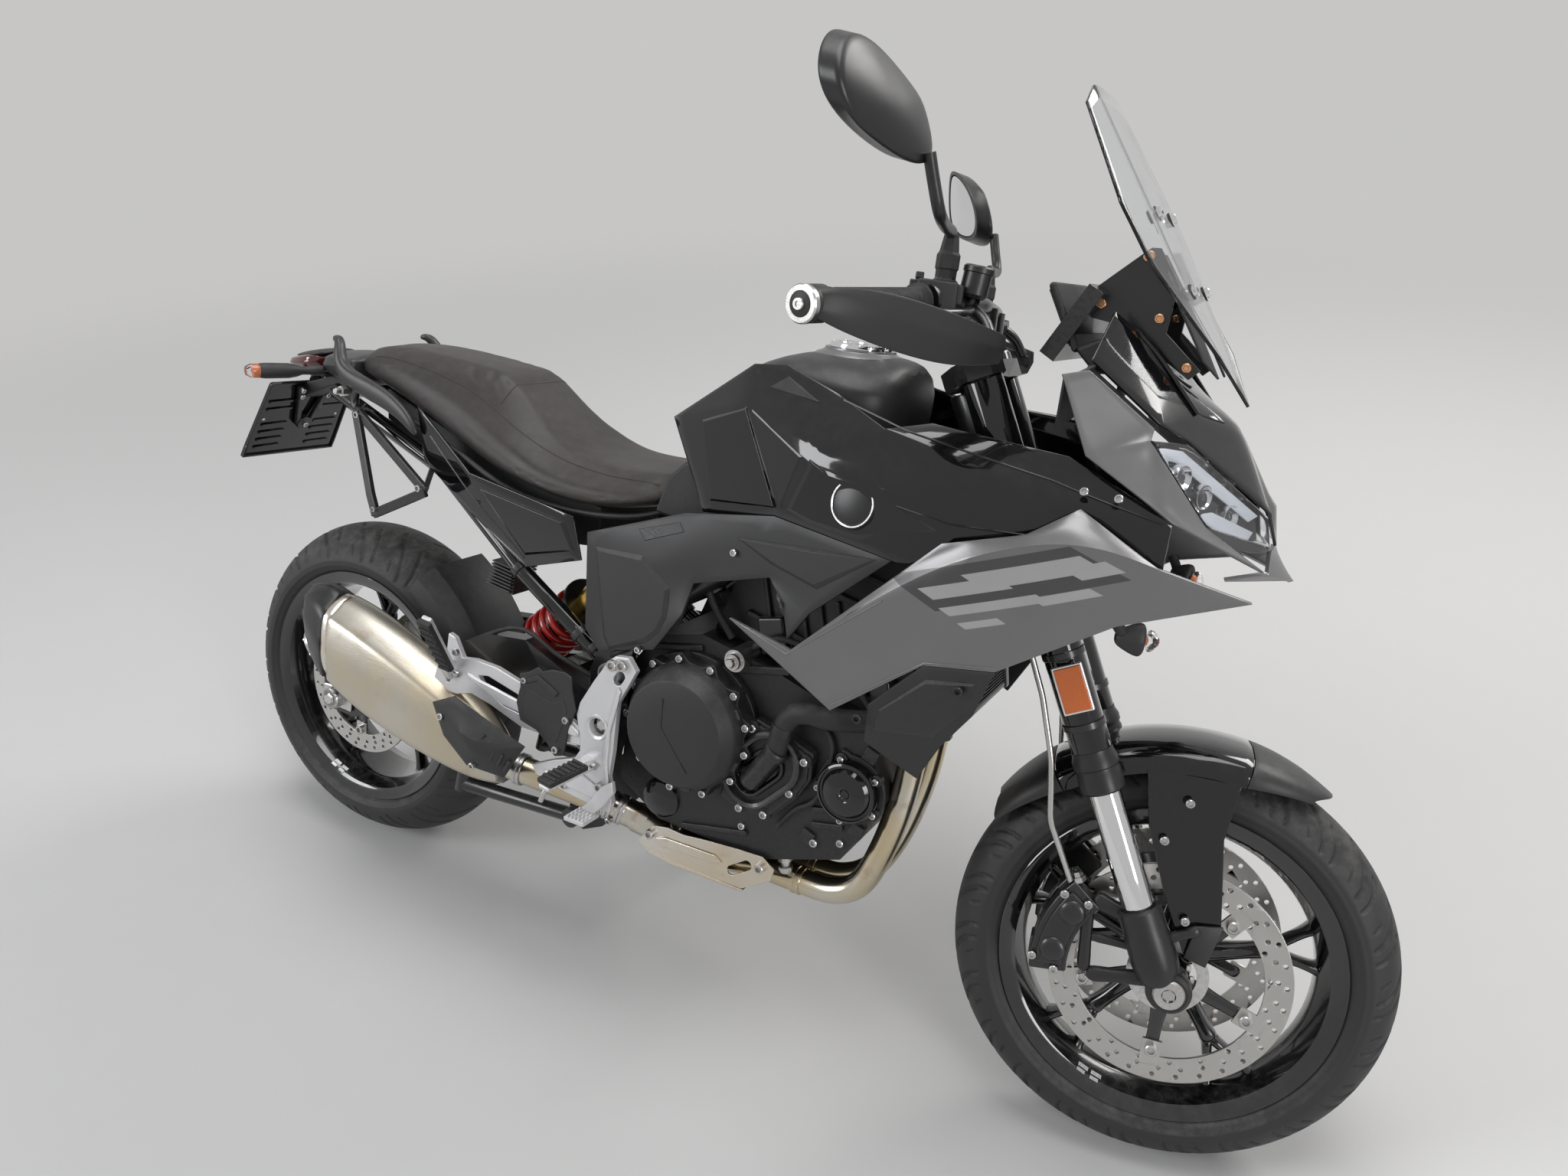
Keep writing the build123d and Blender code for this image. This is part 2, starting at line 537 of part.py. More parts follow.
def muffler_shield():
    points = {"a": (366, -250, 444), "b": (412, -250, 464), "c": (548, -238, 412), "d": (505, -236, 346),
              "e": (438, -246, 350), "f": (392, -250, 392), "h": (450, -262, 404)}
    shield = panel(points, "abh bch cdh deh efh fah", (0, 6, 0))
    return shield + cross_rod(400, 425, -252, -200, 6) + cross_rod(466, 372, -244, -200, 6) - muffler()


# ---- frame, swingarm and what hangs on them ----
def main_frame():
    low, high = LOWER_CLAMP + LOWER_CLAMP_THICKNESS + RUN_CLEAR, TOP_CLAMP - RUN_CLEAR
    body = stem_rod(low, high, HEAD_TUBE_RADIUS)
    for side in (-1, 1):
        spar = [(1150, side * 12, 940), (1020, side * 112, 880), (850, side * 124, 770), (684, side * 140, 636)]
        body += bent_tube(spar, [60, 60], 21)
        body += slab([(606, 396), (672, 396), (688, 480), (686, 560), (706, 668), (660, 668), (612, 540)],
                     side * FRAME_PLATE[0], side * FRAME_PLATE[1])
        body += cross_rod(656, 625, 0, side * FRAME_PLATE[0], 14)
        body += Pos(988, side * 108, 872) * Cylinder(12, 930 - FIT - 872, align=UPWARD)
    body += rod((656, -74, 625), (600, -70, 680), 12)
    body -= stem_rod(low - 1, high + 1, STEM_RADIUS + FIT)
    return body - cross_rod(*PIVOT, -170, 170, PIVOT_BOLT_RADIUS + FIT)


def rear_subframe():
    """Two tubes that rise from the frame's side plates to the tail, with their cross tubes and panel bosses."""
    tube = SUBFRAME_TUBE_RADIUS
    body = cross_rod(230, 790, -96, 96, 12) + cross_rod(-50, 881, -70, 70, 12)
    for side in (-1, 1):
        body += bent_tube([(630, side * (FRAME_PLATE[0] - tube - FIT), 545), (436, side * 122, 655),
                           (230, side * 96, 790), (-60, side * 70, 884)], [200, 200], tube)
        body += rod((350, side * 111, 711), (350, side * 134, 764), 7)
    return body


def seat_tray():
    """Closed tray between the subframe tubes, under the seat."""
    sections = [across(60, [(0, 904), (60, 904), (60, 850), (0, 846)]),
                across(350, [(0, 812 - FIT), (84, 812 - FIT), (84, 712), (0, 706)]),
                across(440, [(0, 790 - FIT), (84, 790 - FIT), (84, 704), (0, 702)]),
                across(560, [(0, 782), (84, 782), (84, 716), (0, 716)])]
    return ribbed(sections)


def swingarm():
    right = [(668, 420), (655, 470), (600, 478), (450, 540), (360, 530), (60, 358), (-38, 345), (-38, 285)]
    right += [(40, 282), (300, 392), (560, 398)]
    body = slab(right, SWINGARM_FACES[0], -98)
    left = [(668, 412), (668, 458), (600, 460), (420, 440), (60, 358), (-38, 345), (-38, 285), (40, 282)]
    left += [(300, 340), (560, 398)]
    body += slab(left, 116, SWINGARM_FACES[1])
    body += cross_rod(*PIVOT, -140, 146, PIVOT_TUBE_RADIUS)
    body += block((560, -120, 400), (604, 130, 450)) + block((384, -100, 408), (424, 118, 436))
    body += rod((400, -20, 430), (400, -20, 504), 14)
    for face in SWINGARM_FACES:
        side = math.copysign(1, face)
        tip = face + side * (BOBBIN_FLANGE + BOBBIN_LENGTH)
        body += cross_rod(*BOBBIN, face - side * 4, face + side * BOBBIN_FLANGE, BOBBIN_RADIUS + 6)
        body += cross_rod(*BOBBIN, face, tip, BOBBIN_RADIUS)
    body -= cross_rod(*PIVOT, -150, 150, PIVOT_BOLT_RADIUS + FIT)
    return body - cross_rod(0, REAR_AXLE.Z, -150, 150, REAR_AXLE_RADIUS + FIT)


def chain_loop():
    """One closed chain outline round both sprockets."""
    big = REAR_SPROCKET_RADIUS + CHAIN_CLEAR
    small = FRONT_SPROCKET_RADIUS + CHAIN_CLEAR
    reach = Vector(FRONT_SPROCKET[0], 0, FRONT_SPROCKET[1] - REAR_AXLE.Z)

    def loop(extra):
        r1, r2 = big + extra, small + extra
        span = reach.length
        tilt = math.degrees(math.asin((r1 - r2) / span))
        slope = math.degrees(math.atan2(reach.Z, reach.X))
        angles = [90 - tilt + i * (180 + 2 * tilt) / 24 for i in range(25)]
        rear = [(r1 * math.cos(math.radians(a + slope)), REAR_AXLE.Z + r1 * math.sin(math.radians(a + slope)))
                for a in angles]
        turns = [-90 + tilt + i * (180 - 2 * tilt) / 16 for i in range(17)]
        front = [(FRONT_SPROCKET[0] + r2 * math.cos(math.radians(a + slope)),
                  FRONT_SPROCKET[1] + r2 * math.sin(math.radians(a + slope))) for a in turns]
        return rear + front
    y_in, y_out = CHAIN_Y - CHAIN_WIDTH / 2, CHAIN_Y + CHAIN_WIDTH / 2
    return slab(loop(CHAIN_HEIGHT), y_in, y_out) - slab(loop(0), y_in - 1, y_out + 1)


def shock():
    low, high = Vector(400, -20, 500), Vector(600, -70, 672)
    axis = (high - low).normalized()
    wire, start, length = 6.5, 15, 130

    def along(distance):
        return tuple(low + axis * distance)
    body = rod(tuple(low), tuple(high), 13) + rod(along(start + length + wire + FIT), tuple(high), 27)
    body += rod(along(start - wire - FIT - 6), along(start - wire - FIT), 46)
    body += rod(along(start + length + wire + FIT), along(start + length + wire + 8), 46)
    helix = Helix(pitch=26, height=length, radius=40, center=along(start), direction=tuple(axis))
    coil = sweep(Plane(origin=helix @ 0, z_dir=helix % 0) * Circle(wire), path=helix, is_frenet=True)
    return {"shock_absorber": body - swingarm() - main_frame(), "shock_spring": coil}


def hugger():
    tread = REAR_RADIUS + 12
    outer = [(tread - 50, -98 + FIT), (tread - 20, -88), (tread + 4, -60), (tread + 8, 60), (tread - 20, 88)]
    inner = [(r - 4, y * 0.95) for r, y in reversed(outer)]
    face = Face(Wire.make_polygon([(0, y, REAR_AXLE.Z + r) for r, y in outer + inner]))
    turned = face.rotate(Axis(REAR_AXLE, (0, 1, 0)), 32)
    return revolve(turned, Axis(REAR_AXLE, (0, 1, 0)), 48)


def footrests():
    plate = slab([(676, 592), (706, 590), (704, 520), (690, 450), (696, 380), (690, 345), (650, 372), (628, 400),
                  (600, 440), (520, 440), (372, 462), (350, 470), (352, 530), (375, 540), (450, 512), (590, 470),
                  (640, 500), (658, 560)], -206, -194)
    plate += cross_rod(PIVOT[0], PIVOT[1], -194, -163, 18) + cross_rod(676, 560, -194, -163, 12)
    pedal = slab([(704, 392), (706, 372), (660, 318), (640, 320), (650, 340)], -216, -206)
    pedal += block((640, -248, 318), (676, -206, 328))
    peg = rod((652, -207, 408), (632, -300, 396), 11) - plate
    rear_peg = rod((368, -206, 495), (383, -290, 600), 11) - plate
    lever = slab([(684, 398), (684, 376), (800, 330), (800, 345)], 206, 214)
    lever += cross_rod(793, 338, 210, 246, 10)
    return {"footrest_plates": [plate + pedal, mirrored(plate) + lever],
            "footpegs": pair(peg) + pair(rear_peg)}


# ---- bodywork ----
TANK_SIDE = {"a": (699, -105, 951), "b": (790, -150, 828), "c": (839, -152, 991), "d": (926, -186, 855),
             "e": (976, -203, 949), "g": (896, -135, 1054), "h": (845, -133, 1049), "i": (984, -155, 1030),
             "j": (1074, -190, 998), "k": (1317, -228, 948), "l": (1127, -165, 1011), "m": (1312, -195, 1002),
             "n": (1440, -185, 945), "p": (1125, -222, 837), "t": (1180, -230, 900), "w": (1290, -224, 860),
             "x": (1440, -192, 885)}


def tank_side():
    patches = "acb cdb ahc hgec gie eij edc jlmk jkte tpe pde tkwp knxw kmn"
    return panel(TANK_SIDE, patches, (0, PANEL, 0))


def tank_cover():
    sections = [across(690, [(0, 944), (60, 940), (98, 946), (98, 900), (0, 900)]),
                across(840, [(0, 1062), (70, 1058), (122, 1050), (122, 930), (0, 930)]),
                across(941, [(0, 1078), (80, 1070), (134, 1042), (134, 930), (0, 930)]),
                across(1010, [(0, 1074), (76, 1064), (120, 1034), (116, 930), (0, 930)]),
                across(1046, [(0, 1066), (60, 1054), (84, 1030), (84, 960), (0, 960)])]
    ring = Pos(FILLER[0], 0, FILLER[1] - 30) * Cylinder(FILLER_RADIUS, 30, align=UPWARD)
    neck = Pos(FILLER[0], 0, FILLER[1] - NECK_DEPTH) * Cylinder(NECK_RADIUS, NECK_DEPTH, align=UPWARD)
    return ribbed(sections) + ring - neck


def fuel_cap():
    """Round lid over the filler neck, with its hinge knuckle at the front edge."""
    low = FILLER[1] + FIT
    lid = Pos(FILLER[0], 0, low) * Cylinder(CAP_RADIUS, CAP_THICKNESS, align=UPWARD)
    lid += block((FILLER[0] + CAP_RADIUS - 12, -11, low + 1), (CAP_HINGE[0], 11, low + CAP_THICKNESS - 1))
    return lid + cross_rod(CAP_HINGE[0], CAP_HINGE[2], -11, 11, CAP_KNUCKLE_RADIUS)


def seat():
    sections = [across(8, [(0, 975), (70, 968), (92, 942), (60, 925), (0, 925)]),
                across(100, [(0, 985), (90, 976), (112, 935), (90, 905), (0, 905)]),
                across(350, [(0, 960), (110, 952), (138, 872), (112, 812), (0, 812)]),
                across(440, [(0, 900), (110, 890), (150, 830), (112, 790), (0, 790)]),
                across(573, [(0, 857), (110, 850), (160, 810), (112, 782), (0, 782)]),
                across(700, [(0, 862), (100, 856), (146, 830), (100, 810), (0, 810)])]
    return ribbed(sections)


def tail_panel():
    points = {"a": (195, -122, 896), "b": (215, -126, 806), "c": (332, -142, 806), "d": (558, -154, 778),
              "e": (580, -158, 712), "f": (448, -134, 668), "g": (330, -132, 735)}
    return panel(points, "abgc cgfed", (0, 4, 0))


def wing():
    """Side fairing: the big angular panel beside the radiator."""
    points = {"a": (880, -205, 700), "b": (988, -222, 684), "c": (1189, -248, 880), "d": (1288, -246, 911),
              "e": (1342, -226, 949), "k": (1194, -258, 866), "l": (1349, -264, 926), "m": (1440, -222, 896),
              "f": (1540, -160, 864), "g": (1404, -212, 817), "h": (1276, -238, 733), "i": (1184, -238, 718),
              "j": (1054, -215, 612)}
    return panel(points, "abj bkj kij klhi lmgh mfg bck cdlk del eml", (0, PANEL, 0))


def lower_side_panel():
    """Matte panel between seat, tank and engine, with the branch that reaches down behind the fairing."""
    points = {"a": (590, -158, 760), "b": (770, -166, 826), "c": (926, -187, 854.4), "d": (1116, -219.5, 837.2),
              "e": (1003, -206, 736), "f": (974, -206, 692), "g": (960, -202, 740), "h": (930, -190, 768),
              "i": (800, -178, 728), "j": (790, -188, 680), "k": (742, -184, 612), "l": (632, -172, 580),
              "m": (598, -162, 606), "n": (718, -178, 766)}
    return panel(points, "abn bcin chi cdeh hefg anm nijklm", (0, PANEL, 0))


def nose_side():
    """Grey panel beside the headlight."""
    points = {"a": (1290, -204, 1096), "b": (1316, -186, 1103), "c": (1396, -158, 1044), "d": (1334, -210, 1008),
              "e": (1440, -188, 945), "f": (1470, -121, 934), "g": (1540, -66, 884), "h": (1396, -171, 1031)}
    return panel(points, "abcd chd hed hfe fge", (-4, 4, 0))


def nose_cowl():
    """Gloss cowl over the headlights, from the screen down to the beak."""
    half = {"a": (1318, -108, 1170), "b": (1313, -168, 1114), "c": (1396, -140, 1050), "d": (1430, -70, 1056),
            "e": (1352, -74, 1143), "f": (1430, -108, 1030), "g": (1532, -34, 950), "h": (1474, 0, 1048),
            "i": (1350, 0, 1120), "j": (1544, 0, 906)}
    right = panel(half, "abce ecd dcf edhi dfgh hgj", (-4, 0, -3))
    return right + mirrored(right)


def headlight():
    points = {"a": (1396, -168, 1032), "b": (1430, -110, 1027), "c": (1529, -38, 946), "d": (1538, -28, 908),
              "e": (1470, -118, 934), "f": (1476, -88, 972)}
    return panel(points, "abf bcf cdf def eaf", (-24, 4, 0))


def beak():
    points = {"a": (1545, -62, 880), "b": (1541, -26, 904), "c": (1572, 0, 866), "d": (1500, -92, 868)}
    right = panel(points, "abc adc", (-12, 0, -8))
    centre = panel({"a": (1541, -26, 904), "b": (1541, 26, 904), "c": (1572, 0, 866)}, "acb", (-12, 0, -8))
    return right + mirrored(right) + centre


def windscreen():
    half = {"a": (1236, 0, 1432), "b": (1244, -110, 1402), "c": (1312, -150, 1290), "d": (1356, -140, 1226),
            "e": (1440, -66, 1130), "f": (1478, 0, 1072), "g": (1330, 0, 1290), "h": (1396, 0, 1196)}
    right = panel(half, "abcg gcdh hdef", (-SCREEN_THICKNESS, 0, -2))
    return right + mirrored(right)


def screen_bracket():
    arms = None
    for side in (-1, 1):
        arm = slab([(1262, 1180), (1336, 1246), (1350, 1246), (1376, 1209), (1372, 1150), (1420, 1110), (1408, 1098),
                    (1340, 1150), (1270, 1160)], side * 58, side * 64)
        arms = arm if arms is None else arms + arm
    return arms + cross_rod(1300, 1182, -64, 64, 6)


def display():
    base = Plane(origin=(1262, 0, 1150), z_dir=(-0.9, 0, 0.5))
    return base * Box(100, 180, 22)


def radiator():
    return slab([(1172, 575), (1200, 585), (1168, 752), (1140, 742)], -140, 140)


def shroud():
    points = {"a": (1112, -226, 640), "b": (1184, -238, 717.4), "c": (1276, -238, 732.4), "d": (1256, -238, 668),
              "e": (1216, -220, 608), "f": (1186, -206, 548), "g": (1108, -214, 582)}
    return panel(points, "abg bcd bdg deg efg", (0, PANEL, 0))


def rear_end():
    light = ribbed([across(-232, [(0, 926), (44, 922), (44, 906), (0, 902)]),
                    across(-120, [(0, 952), (66, 944), (62, 908), (0, 900)])])
    tail = ribbed([across(-120 + FIT, [(0, 952), (66, 944), (62, 908), (0, 900)]),
                   across(8 - FIT, [(0, 955), (92, 944), (74, 900), (0, 895)])])
    plate = slab([(-206, 880), (-198, 880), (-282, 727), (-290, 727)], -105, 105)
    for side in (-1, 1):
        middle = Vector(PLATE_CENTRE[0], side * PLATE_HOLE_Y, PLATE_CENTRE[2])
        drill = Vector(*PLATE_NORMAL) * 20
        plate -= rod(tuple(middle + drill), tuple(middle - drill), PLATE_HOLE_RADIUS)
    plate += slab([(-205, 872), (-120, 900), (-60, 900), (-215, 838)], -22, 22)
    tubes = rear_subframe()
    tail = tail + plate - tubes
    grab = bent_tube([(6, -84, 868), (50, -122, 915), (14, -122, 985), (-34, -100, 962)], 14, 9)
    bracket = bent_tube([(44, -84, 850), (62, -130, 868), (150, -172, 706), (262, -172, 766), (214, -104, 795)], 10, 7)
    rails = [(grab + bracket) - tubes - tail, mirrored(grab + bracket) - tubes - tail]
    signal = rod((-104, -64, 914), (-150, -190, 912), 12)
    front_signal = rod((1400, -209, 828), (1420, -188, 802), 7) + rod((1408, -194, 808), (1446, -178, 788), 14)
    front_signal -= wing()
    return {"tail_light": light, "tail_unit": tail,
            "luggage_rails": rails,
            "indicators": [signal - tail, mirrored(signal) - tail] + pair(front_signal)}


def controls():
    outline = [(x, REAR_AXLE.Z + z) for x, z in ring_sector(106, 162, 18, 52)]
    caliper = slab(outline, -98 + FIT, -54)
    gap = DISC_THICKNESS / 2 + RUN_CLEAR
    caliper -= cross_rod(0, REAR_AXLE.Z, -REAR_DISC_Y - gap, -REAR_DISC_Y + gap, REAR_DISC_RADIUS + RUN_CLEAR)
    return {"rear_caliper": caliper}


# ---- parked stance ----
def stance():
    """Place of the leaning machine: both tyres and the side stand on the floor."""
    lean = Rot(-LEAN, 0, 0)
    crown = REAR_TYRE_WIDTH / 2
    lift = crown - crown * math.cos(math.radians(LEAN))
    placed = Pos(0, 0, lift) * lean
    centre = Vertex(FRONT_AXLE).rotate(STEER_AXIS, STEER_REST).moved(placed).center()
    beside = Vertex(FRONT_AXLE + Vector(0, 1, 0)).rotate(STEER_AXIS, STEER_REST).moved(placed).center()
    tilt = beside.Z - centre.Z
    crown = FRONT_TYRE_WIDTH / 2
    low = centre.Z - (FRONT_RADIUS - crown) * math.sqrt(1 - tilt ** 2) - crown
    pitch = math.degrees(math.asin(low / WHEELBASE))
    return Pos(*ORIGIN_SHIFT, 0) * Rot(0, pitch, 0) * placed


STANCE = stance()


def stand_up(shape, steered=False):
    """Gives a piece the parked stance, with the steering turned for what it carries."""
    if steered:
        shape = shape.rotate(STEER_AXIS, STEER_REST)
    return shape.moved(STANCE)


def stands():
    """Side stand on the left, and the centre stand folded up under the swingarm."""
    floor = STANCE.inverse()
    at = Pos(*ORIGIN_SHIFT, 0) * Pos(STAND_FOOT[0], STAND_FOOT[1], 0)
    pad = floor * at * Pos(0, 0, 4) * Box(66, 46, 8)
    ankle = (floor * at * Pos(0, 0, 6)).position
    pivot, along = Vector(*SIDE_PIVOT), Vector(*SIDE_STAND_AXIS)
    leg = rod(tuple(pivot + along * 14), tuple(ankle), 12)
    eye = rod(tuple(pivot), tuple(pivot + along * 28), 18)
    side = leg + pad + eye + rod(tuple(pivot - along * 26), tuple(pivot + along), STAND_PIN_RADIUS)
    bar = cross_rod(*CENTRE_PIVOT, -117, 117, CENTRE_BAR_RADIUS)
    for y in (-1, 1):
        foot = Vector(300, y * 112, 222)
        bar += rod((CENTRE_PIVOT[0], y * (CENTRE_LUG[1] + 14), CENTRE_PIVOT[1]), tuple(foot), 13)
        bar += rod(tuple(foot + Vector(0, 0, -12)), tuple(foot + Vector(10, 0, 34)), 14)
    return {"side_stand": side, "centre_stand": bar}


def bodywork():
    fairing = wing()
    side = tank_side() - fairing
    fairing += cross_rod(1240, 868, -254, -222, 7)
    side -= fairing
    cowl = nose_cowl()
    nose = [nose_side() - side, mirrored(nose_side() - side), beak() - cowl]
    lamp = headlight() - nose_side() - cowl
    screen = windscreen()
    carrier = (screen_bracket() + display()) - cowl - screen
    tubes = rear_subframe()
    return {"tank_cover": tank_cover(), "fuel_cap": fuel_cap(), "tank_side_panels": pair(side), "seat": seat(),
            "seat_tray": seat_tray() - tubes, "tail_panels": [tail_panel() - tubes, mirrored(tail_panel()) - tubes],
            "side_fairings": pair(fairing), "lower_side_panels": pair(lower_side_panel()), "nose_panels": nose,
            "nose_cowl": cowl, "headlights": pair(lamp), "windscreen": screen, "display_carrier": carrier,
            "radiator": radiator(), "radiator_shrouds": pair(shroud())}


def chassis():
    nodes = {"main_frame": main_frame(), "rear_subframe": rear_subframe(), "swingarm": swingarm(),
             "rear_axle": cross_rod(0, REAR_AXLE.Z, -150, 150, REAR_AXLE_RADIUS),
             "swingarm_bolt": cross_rod(*PIVOT, -FRAME_PLATE[1] + FIT, FRAME_PLATE[1] - FIT, PIVOT_BOLT_RADIUS),
             "drive_chain": chain_loop(), "rear_hugger": hugger()}
    return nodes | engine() | exhaust() | shock() | footrests() | bodywork() | rear_end() | controls()


def main():
    os.makedirs("parts", exist_ok=True)
    standing = chassis() | rear_wheel() | stands()
    turned = steering() | front_wheel()
    for steered, nodes in ((False, standing), (True, turned)):
        for name, shape in nodes.items():
            pieces = shape if isinstance(shape, list) else [shape]
            solids = [s for piece in pieces for s in piece.solids()]
            placed = [stand_up(s, steered) for s in solids]
            export_step(Compound(children=placed), f"parts/{name}.step")


if __name__ == "__main__":
    main()
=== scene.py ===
# %% [markdown]
# # A sport touring motorcycle on its side stand
# The real machine is a mass of layered pieces: gloss and satin panels over a black engine, polished forks,
# drilled discs and a steel silencer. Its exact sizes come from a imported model, which this lesson loads as a
# fixed frame. Each step then makes one family of pieces, or one finish, and says why it is made that way.

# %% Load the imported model
import math
import bmesh
import bpy
import numpy as np
from mathutils.geometry import interpolate_bezier
from mathutils import Matrix, Vector


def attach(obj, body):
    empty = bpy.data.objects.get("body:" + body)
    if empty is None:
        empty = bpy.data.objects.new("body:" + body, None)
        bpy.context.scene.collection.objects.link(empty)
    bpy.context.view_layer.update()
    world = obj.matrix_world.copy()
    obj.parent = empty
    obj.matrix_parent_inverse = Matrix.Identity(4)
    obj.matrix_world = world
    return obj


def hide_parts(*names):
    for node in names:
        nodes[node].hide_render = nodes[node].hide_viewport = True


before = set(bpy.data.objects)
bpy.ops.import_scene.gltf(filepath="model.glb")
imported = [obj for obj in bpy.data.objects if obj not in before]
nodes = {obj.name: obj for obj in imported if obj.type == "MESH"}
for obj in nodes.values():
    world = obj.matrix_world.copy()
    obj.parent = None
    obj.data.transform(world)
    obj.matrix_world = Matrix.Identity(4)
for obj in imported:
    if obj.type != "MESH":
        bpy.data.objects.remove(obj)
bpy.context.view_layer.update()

# %% [markdown]
# The machine is drawn upright, in millimetres: x runs forward from the rear axle, y to the left, z up from
# the ground. Parked, it leans on its stand with the bars turned a little. One matrix for the leaning
# machine and one for all that steers carry every piece to its place, so that no piece has to be fitted by
# eye.

# %% The parked stance
MM = 0.001
WHEELBASE, RAKE, TRAIL = 1521.0, math.radians(26.0), 105.0
LEAN, STEER_REST = math.radians(15.0), math.radians(11.7)
REAR_RADIUS, REAR_TYRE_WIDTH = 315.0, 178.0
FRONT_RADIUS, FRONT_TYRE_WIDTH = 300.0, 120.0
REAR_AXLE = Vector((0, 0, REAR_RADIUS))
FRONT_AXLE = Vector((WHEELBASE, 0, FRONT_RADIUS))
FORK_ACROSS = Vector((math.cos(RAKE), 0, math.sin(RAKE)))
FORK_UP = Vector((-math.sin(RAKE), 0, math.cos(RAKE)))
AXLE_OFFSET = FRONT_RADIUS * math.sin(RAKE) - TRAIL * math.cos(RAKE)
LEG_OFFSET = 30.0 - AXLE_OFFSET
LEG_SPREAD = 104.0
ORIGIN = Vector((-751, -288, 0))
SIDES = ((-1, "right"), (1, "left"))


def fork(x, y, z):
    """A point given ahead of, across and up the fork, from the front axle."""
    return FRONT_AXLE + FORK_ACROSS * x + Vector((0, y, 0)) + FORK_UP * z


def steering_turn():
    """The turn about the steering axis that the parked bars have."""
    on_axis = Matrix.Translation(fork(-AXLE_OFFSET, 0, 0))
    return on_axis @ Matrix.Rotation(STEER_REST, 4, FORK_UP) @ on_axis.inverted()


def parked():
    """The leaning machine: both tyres and the stand on the floor."""
    crown = REAR_TYRE_WIDTH / 2
    lift = Matrix.Translation((0, 0, crown * (1 - math.cos(LEAN))))
    placed = lift @ Matrix.Rotation(-LEAN, 4, "X")
    turned = placed @ steering_turn()
    centre = turned @ FRONT_AXLE
    tilt = (turned @ (FRONT_AXLE + Vector((0, 1, 0)))).z - centre.z
    crown = FRONT_TYRE_WIDTH / 2
    low = centre.z - (FRONT_RADIUS - crown) * math.sqrt(1 - tilt ** 2) - crown
    pitch = Matrix.Rotation(math.asin(low / WHEELBASE), 4, "Y")
    return Matrix.Translation(ORIGIN) @ pitch @ placed


STANDING = Matrix.Scale(MM, 4) @ parked()
STEERED = STANDING @ steering_turn()
PLACE = {"steering": STEERED, "front_wheel": STEERED}
print("front axle at", [round(v, 3) for v in STEERED @ FRONT_AXLE])

# %% [markdown]
# The machine is seen from its right front and from above the fairing, through a short lens. The camera is
# set by its place and three angles, one of which is a slight roll.

# %% Camera
CAMERA_AT = Vector((0.8628, -1.4304, 1.534))
SENSOR, FOCAL_SHARE = 36.0, 1446.0 / 2048
YAW, PITCH, ROLL = (math.radians(a) for a in (119.65, -29.51, -2.04))
sight = Vector((math.cos(YAW) * math.cos(PITCH), math.sin(YAW) * math.cos(PITCH), math.sin(PITCH)))
right = Vector((math.sin(YAW), -math.cos(YAW), 0))
up = right.cross(sight)
camera_right = right * math.cos(ROLL) + up * math.sin(ROLL)
camera_up = up * math.cos(ROLL) - right * math.sin(ROLL)
camera = bpy.data.objects.new("Camera", bpy.data.cameras.new("Camera"))
bpy.context.scene.collection.objects.link(camera)
camera.data.sensor_width, camera.data.lens = SENSOR, SENSOR * FOCAL_SHARE
turn = Matrix((camera_right, camera_up, -sight)).transposed().to_4x4()
camera.matrix_world = Matrix.Translation(CAMERA_AT) @ turn
bpy.context.scene.camera = camera
print("camera lens", round(camera.data.lens, 2), "mm")

# %% [markdown]
# ## Finishes
# No real surface is one flat colour. Paint has metal flakes and faint orange peel, cast plastic has grain,
# edges are paler, partly as rubbed wear and partly as a painted highlight, and dust lies on what faces up.
# Effects that many finishes share are node groups with named sockets, built once. The groups put out colours
# and heights, and each material keeps its own shader, with its constant values set on the shader itself.


# %% Node groups
def new_group(name, inputs, outputs):
    tree = bpy.data.node_groups.new(name, "ShaderNodeTree")
    for label, kind, value in inputs:
        socket = tree.interface.new_socket(label, in_out="INPUT", socket_type=kind)
        socket.default_value = value
    for label, kind in outputs:
        tree.interface.new_socket(label, in_out="OUTPUT", socket_type=kind)
    return tree, tree.nodes.new("NodeGroupInput"), tree.nodes.new("NodeGroupOutput")


def add(tree, kind, **settings):
    node = tree.nodes.new(kind)
    for key, value in settings.items():
        setattr(node, key, value)
    return node


def maths(tree, operation, a, b=None, c=None):
    node = add(tree, "ShaderNodeMath", operation=operation)
    for socket, value in zip(node.inputs, (a, b, c)):
        if isinstance(value, bpy.types.NodeSocket):
            tree.links.new(value, socket)
        elif value is not None:
            socket.default_value = value
    return node.outputs[0]


def noise(tree, vector, scale, detail=4.0, rough=0.5):
    node = add(tree, "ShaderNodeTexNoise")
    node.inputs["Detail"].default_value, node.inputs["Roughness"].default_value = detail, rough
    tree.links.new(vector, node.inputs["Vector"])
    if isinstance(scale, bpy.types.NodeSocket):
        tree.links.new(scale, node.inputs["Scale"])
    else:
        node.inputs["Scale"].default_value = scale
    return node.outputs[0]


def mixed(tree, factor, a, b):
    node = add(tree, "ShaderNodeMix", data_type="RGBA")
    tree.links.new(factor, node.inputs["Factor"])
    for socket, value in ((node.inputs[6], a), (node.inputs[7], b)):
        if isinstance(value, bpy.types.NodeSocket):
            tree.links.new(value, socket)
        else:
            socket.default_value = value
    return node.outputs[2]


def ramp(tree, value, low, high):
    """The value stretched so that low becomes 0 and high becomes 1."""
    node = add(tree, "ShaderNodeMapRange", interpolation_type="SMOOTHSTEP")
    node.inputs["From Min"].default_value, node.inputs["From Max"].default_value = low, high
    tree.links.new(value, node.inputs["Value"])
    return node.outputs["Result"]


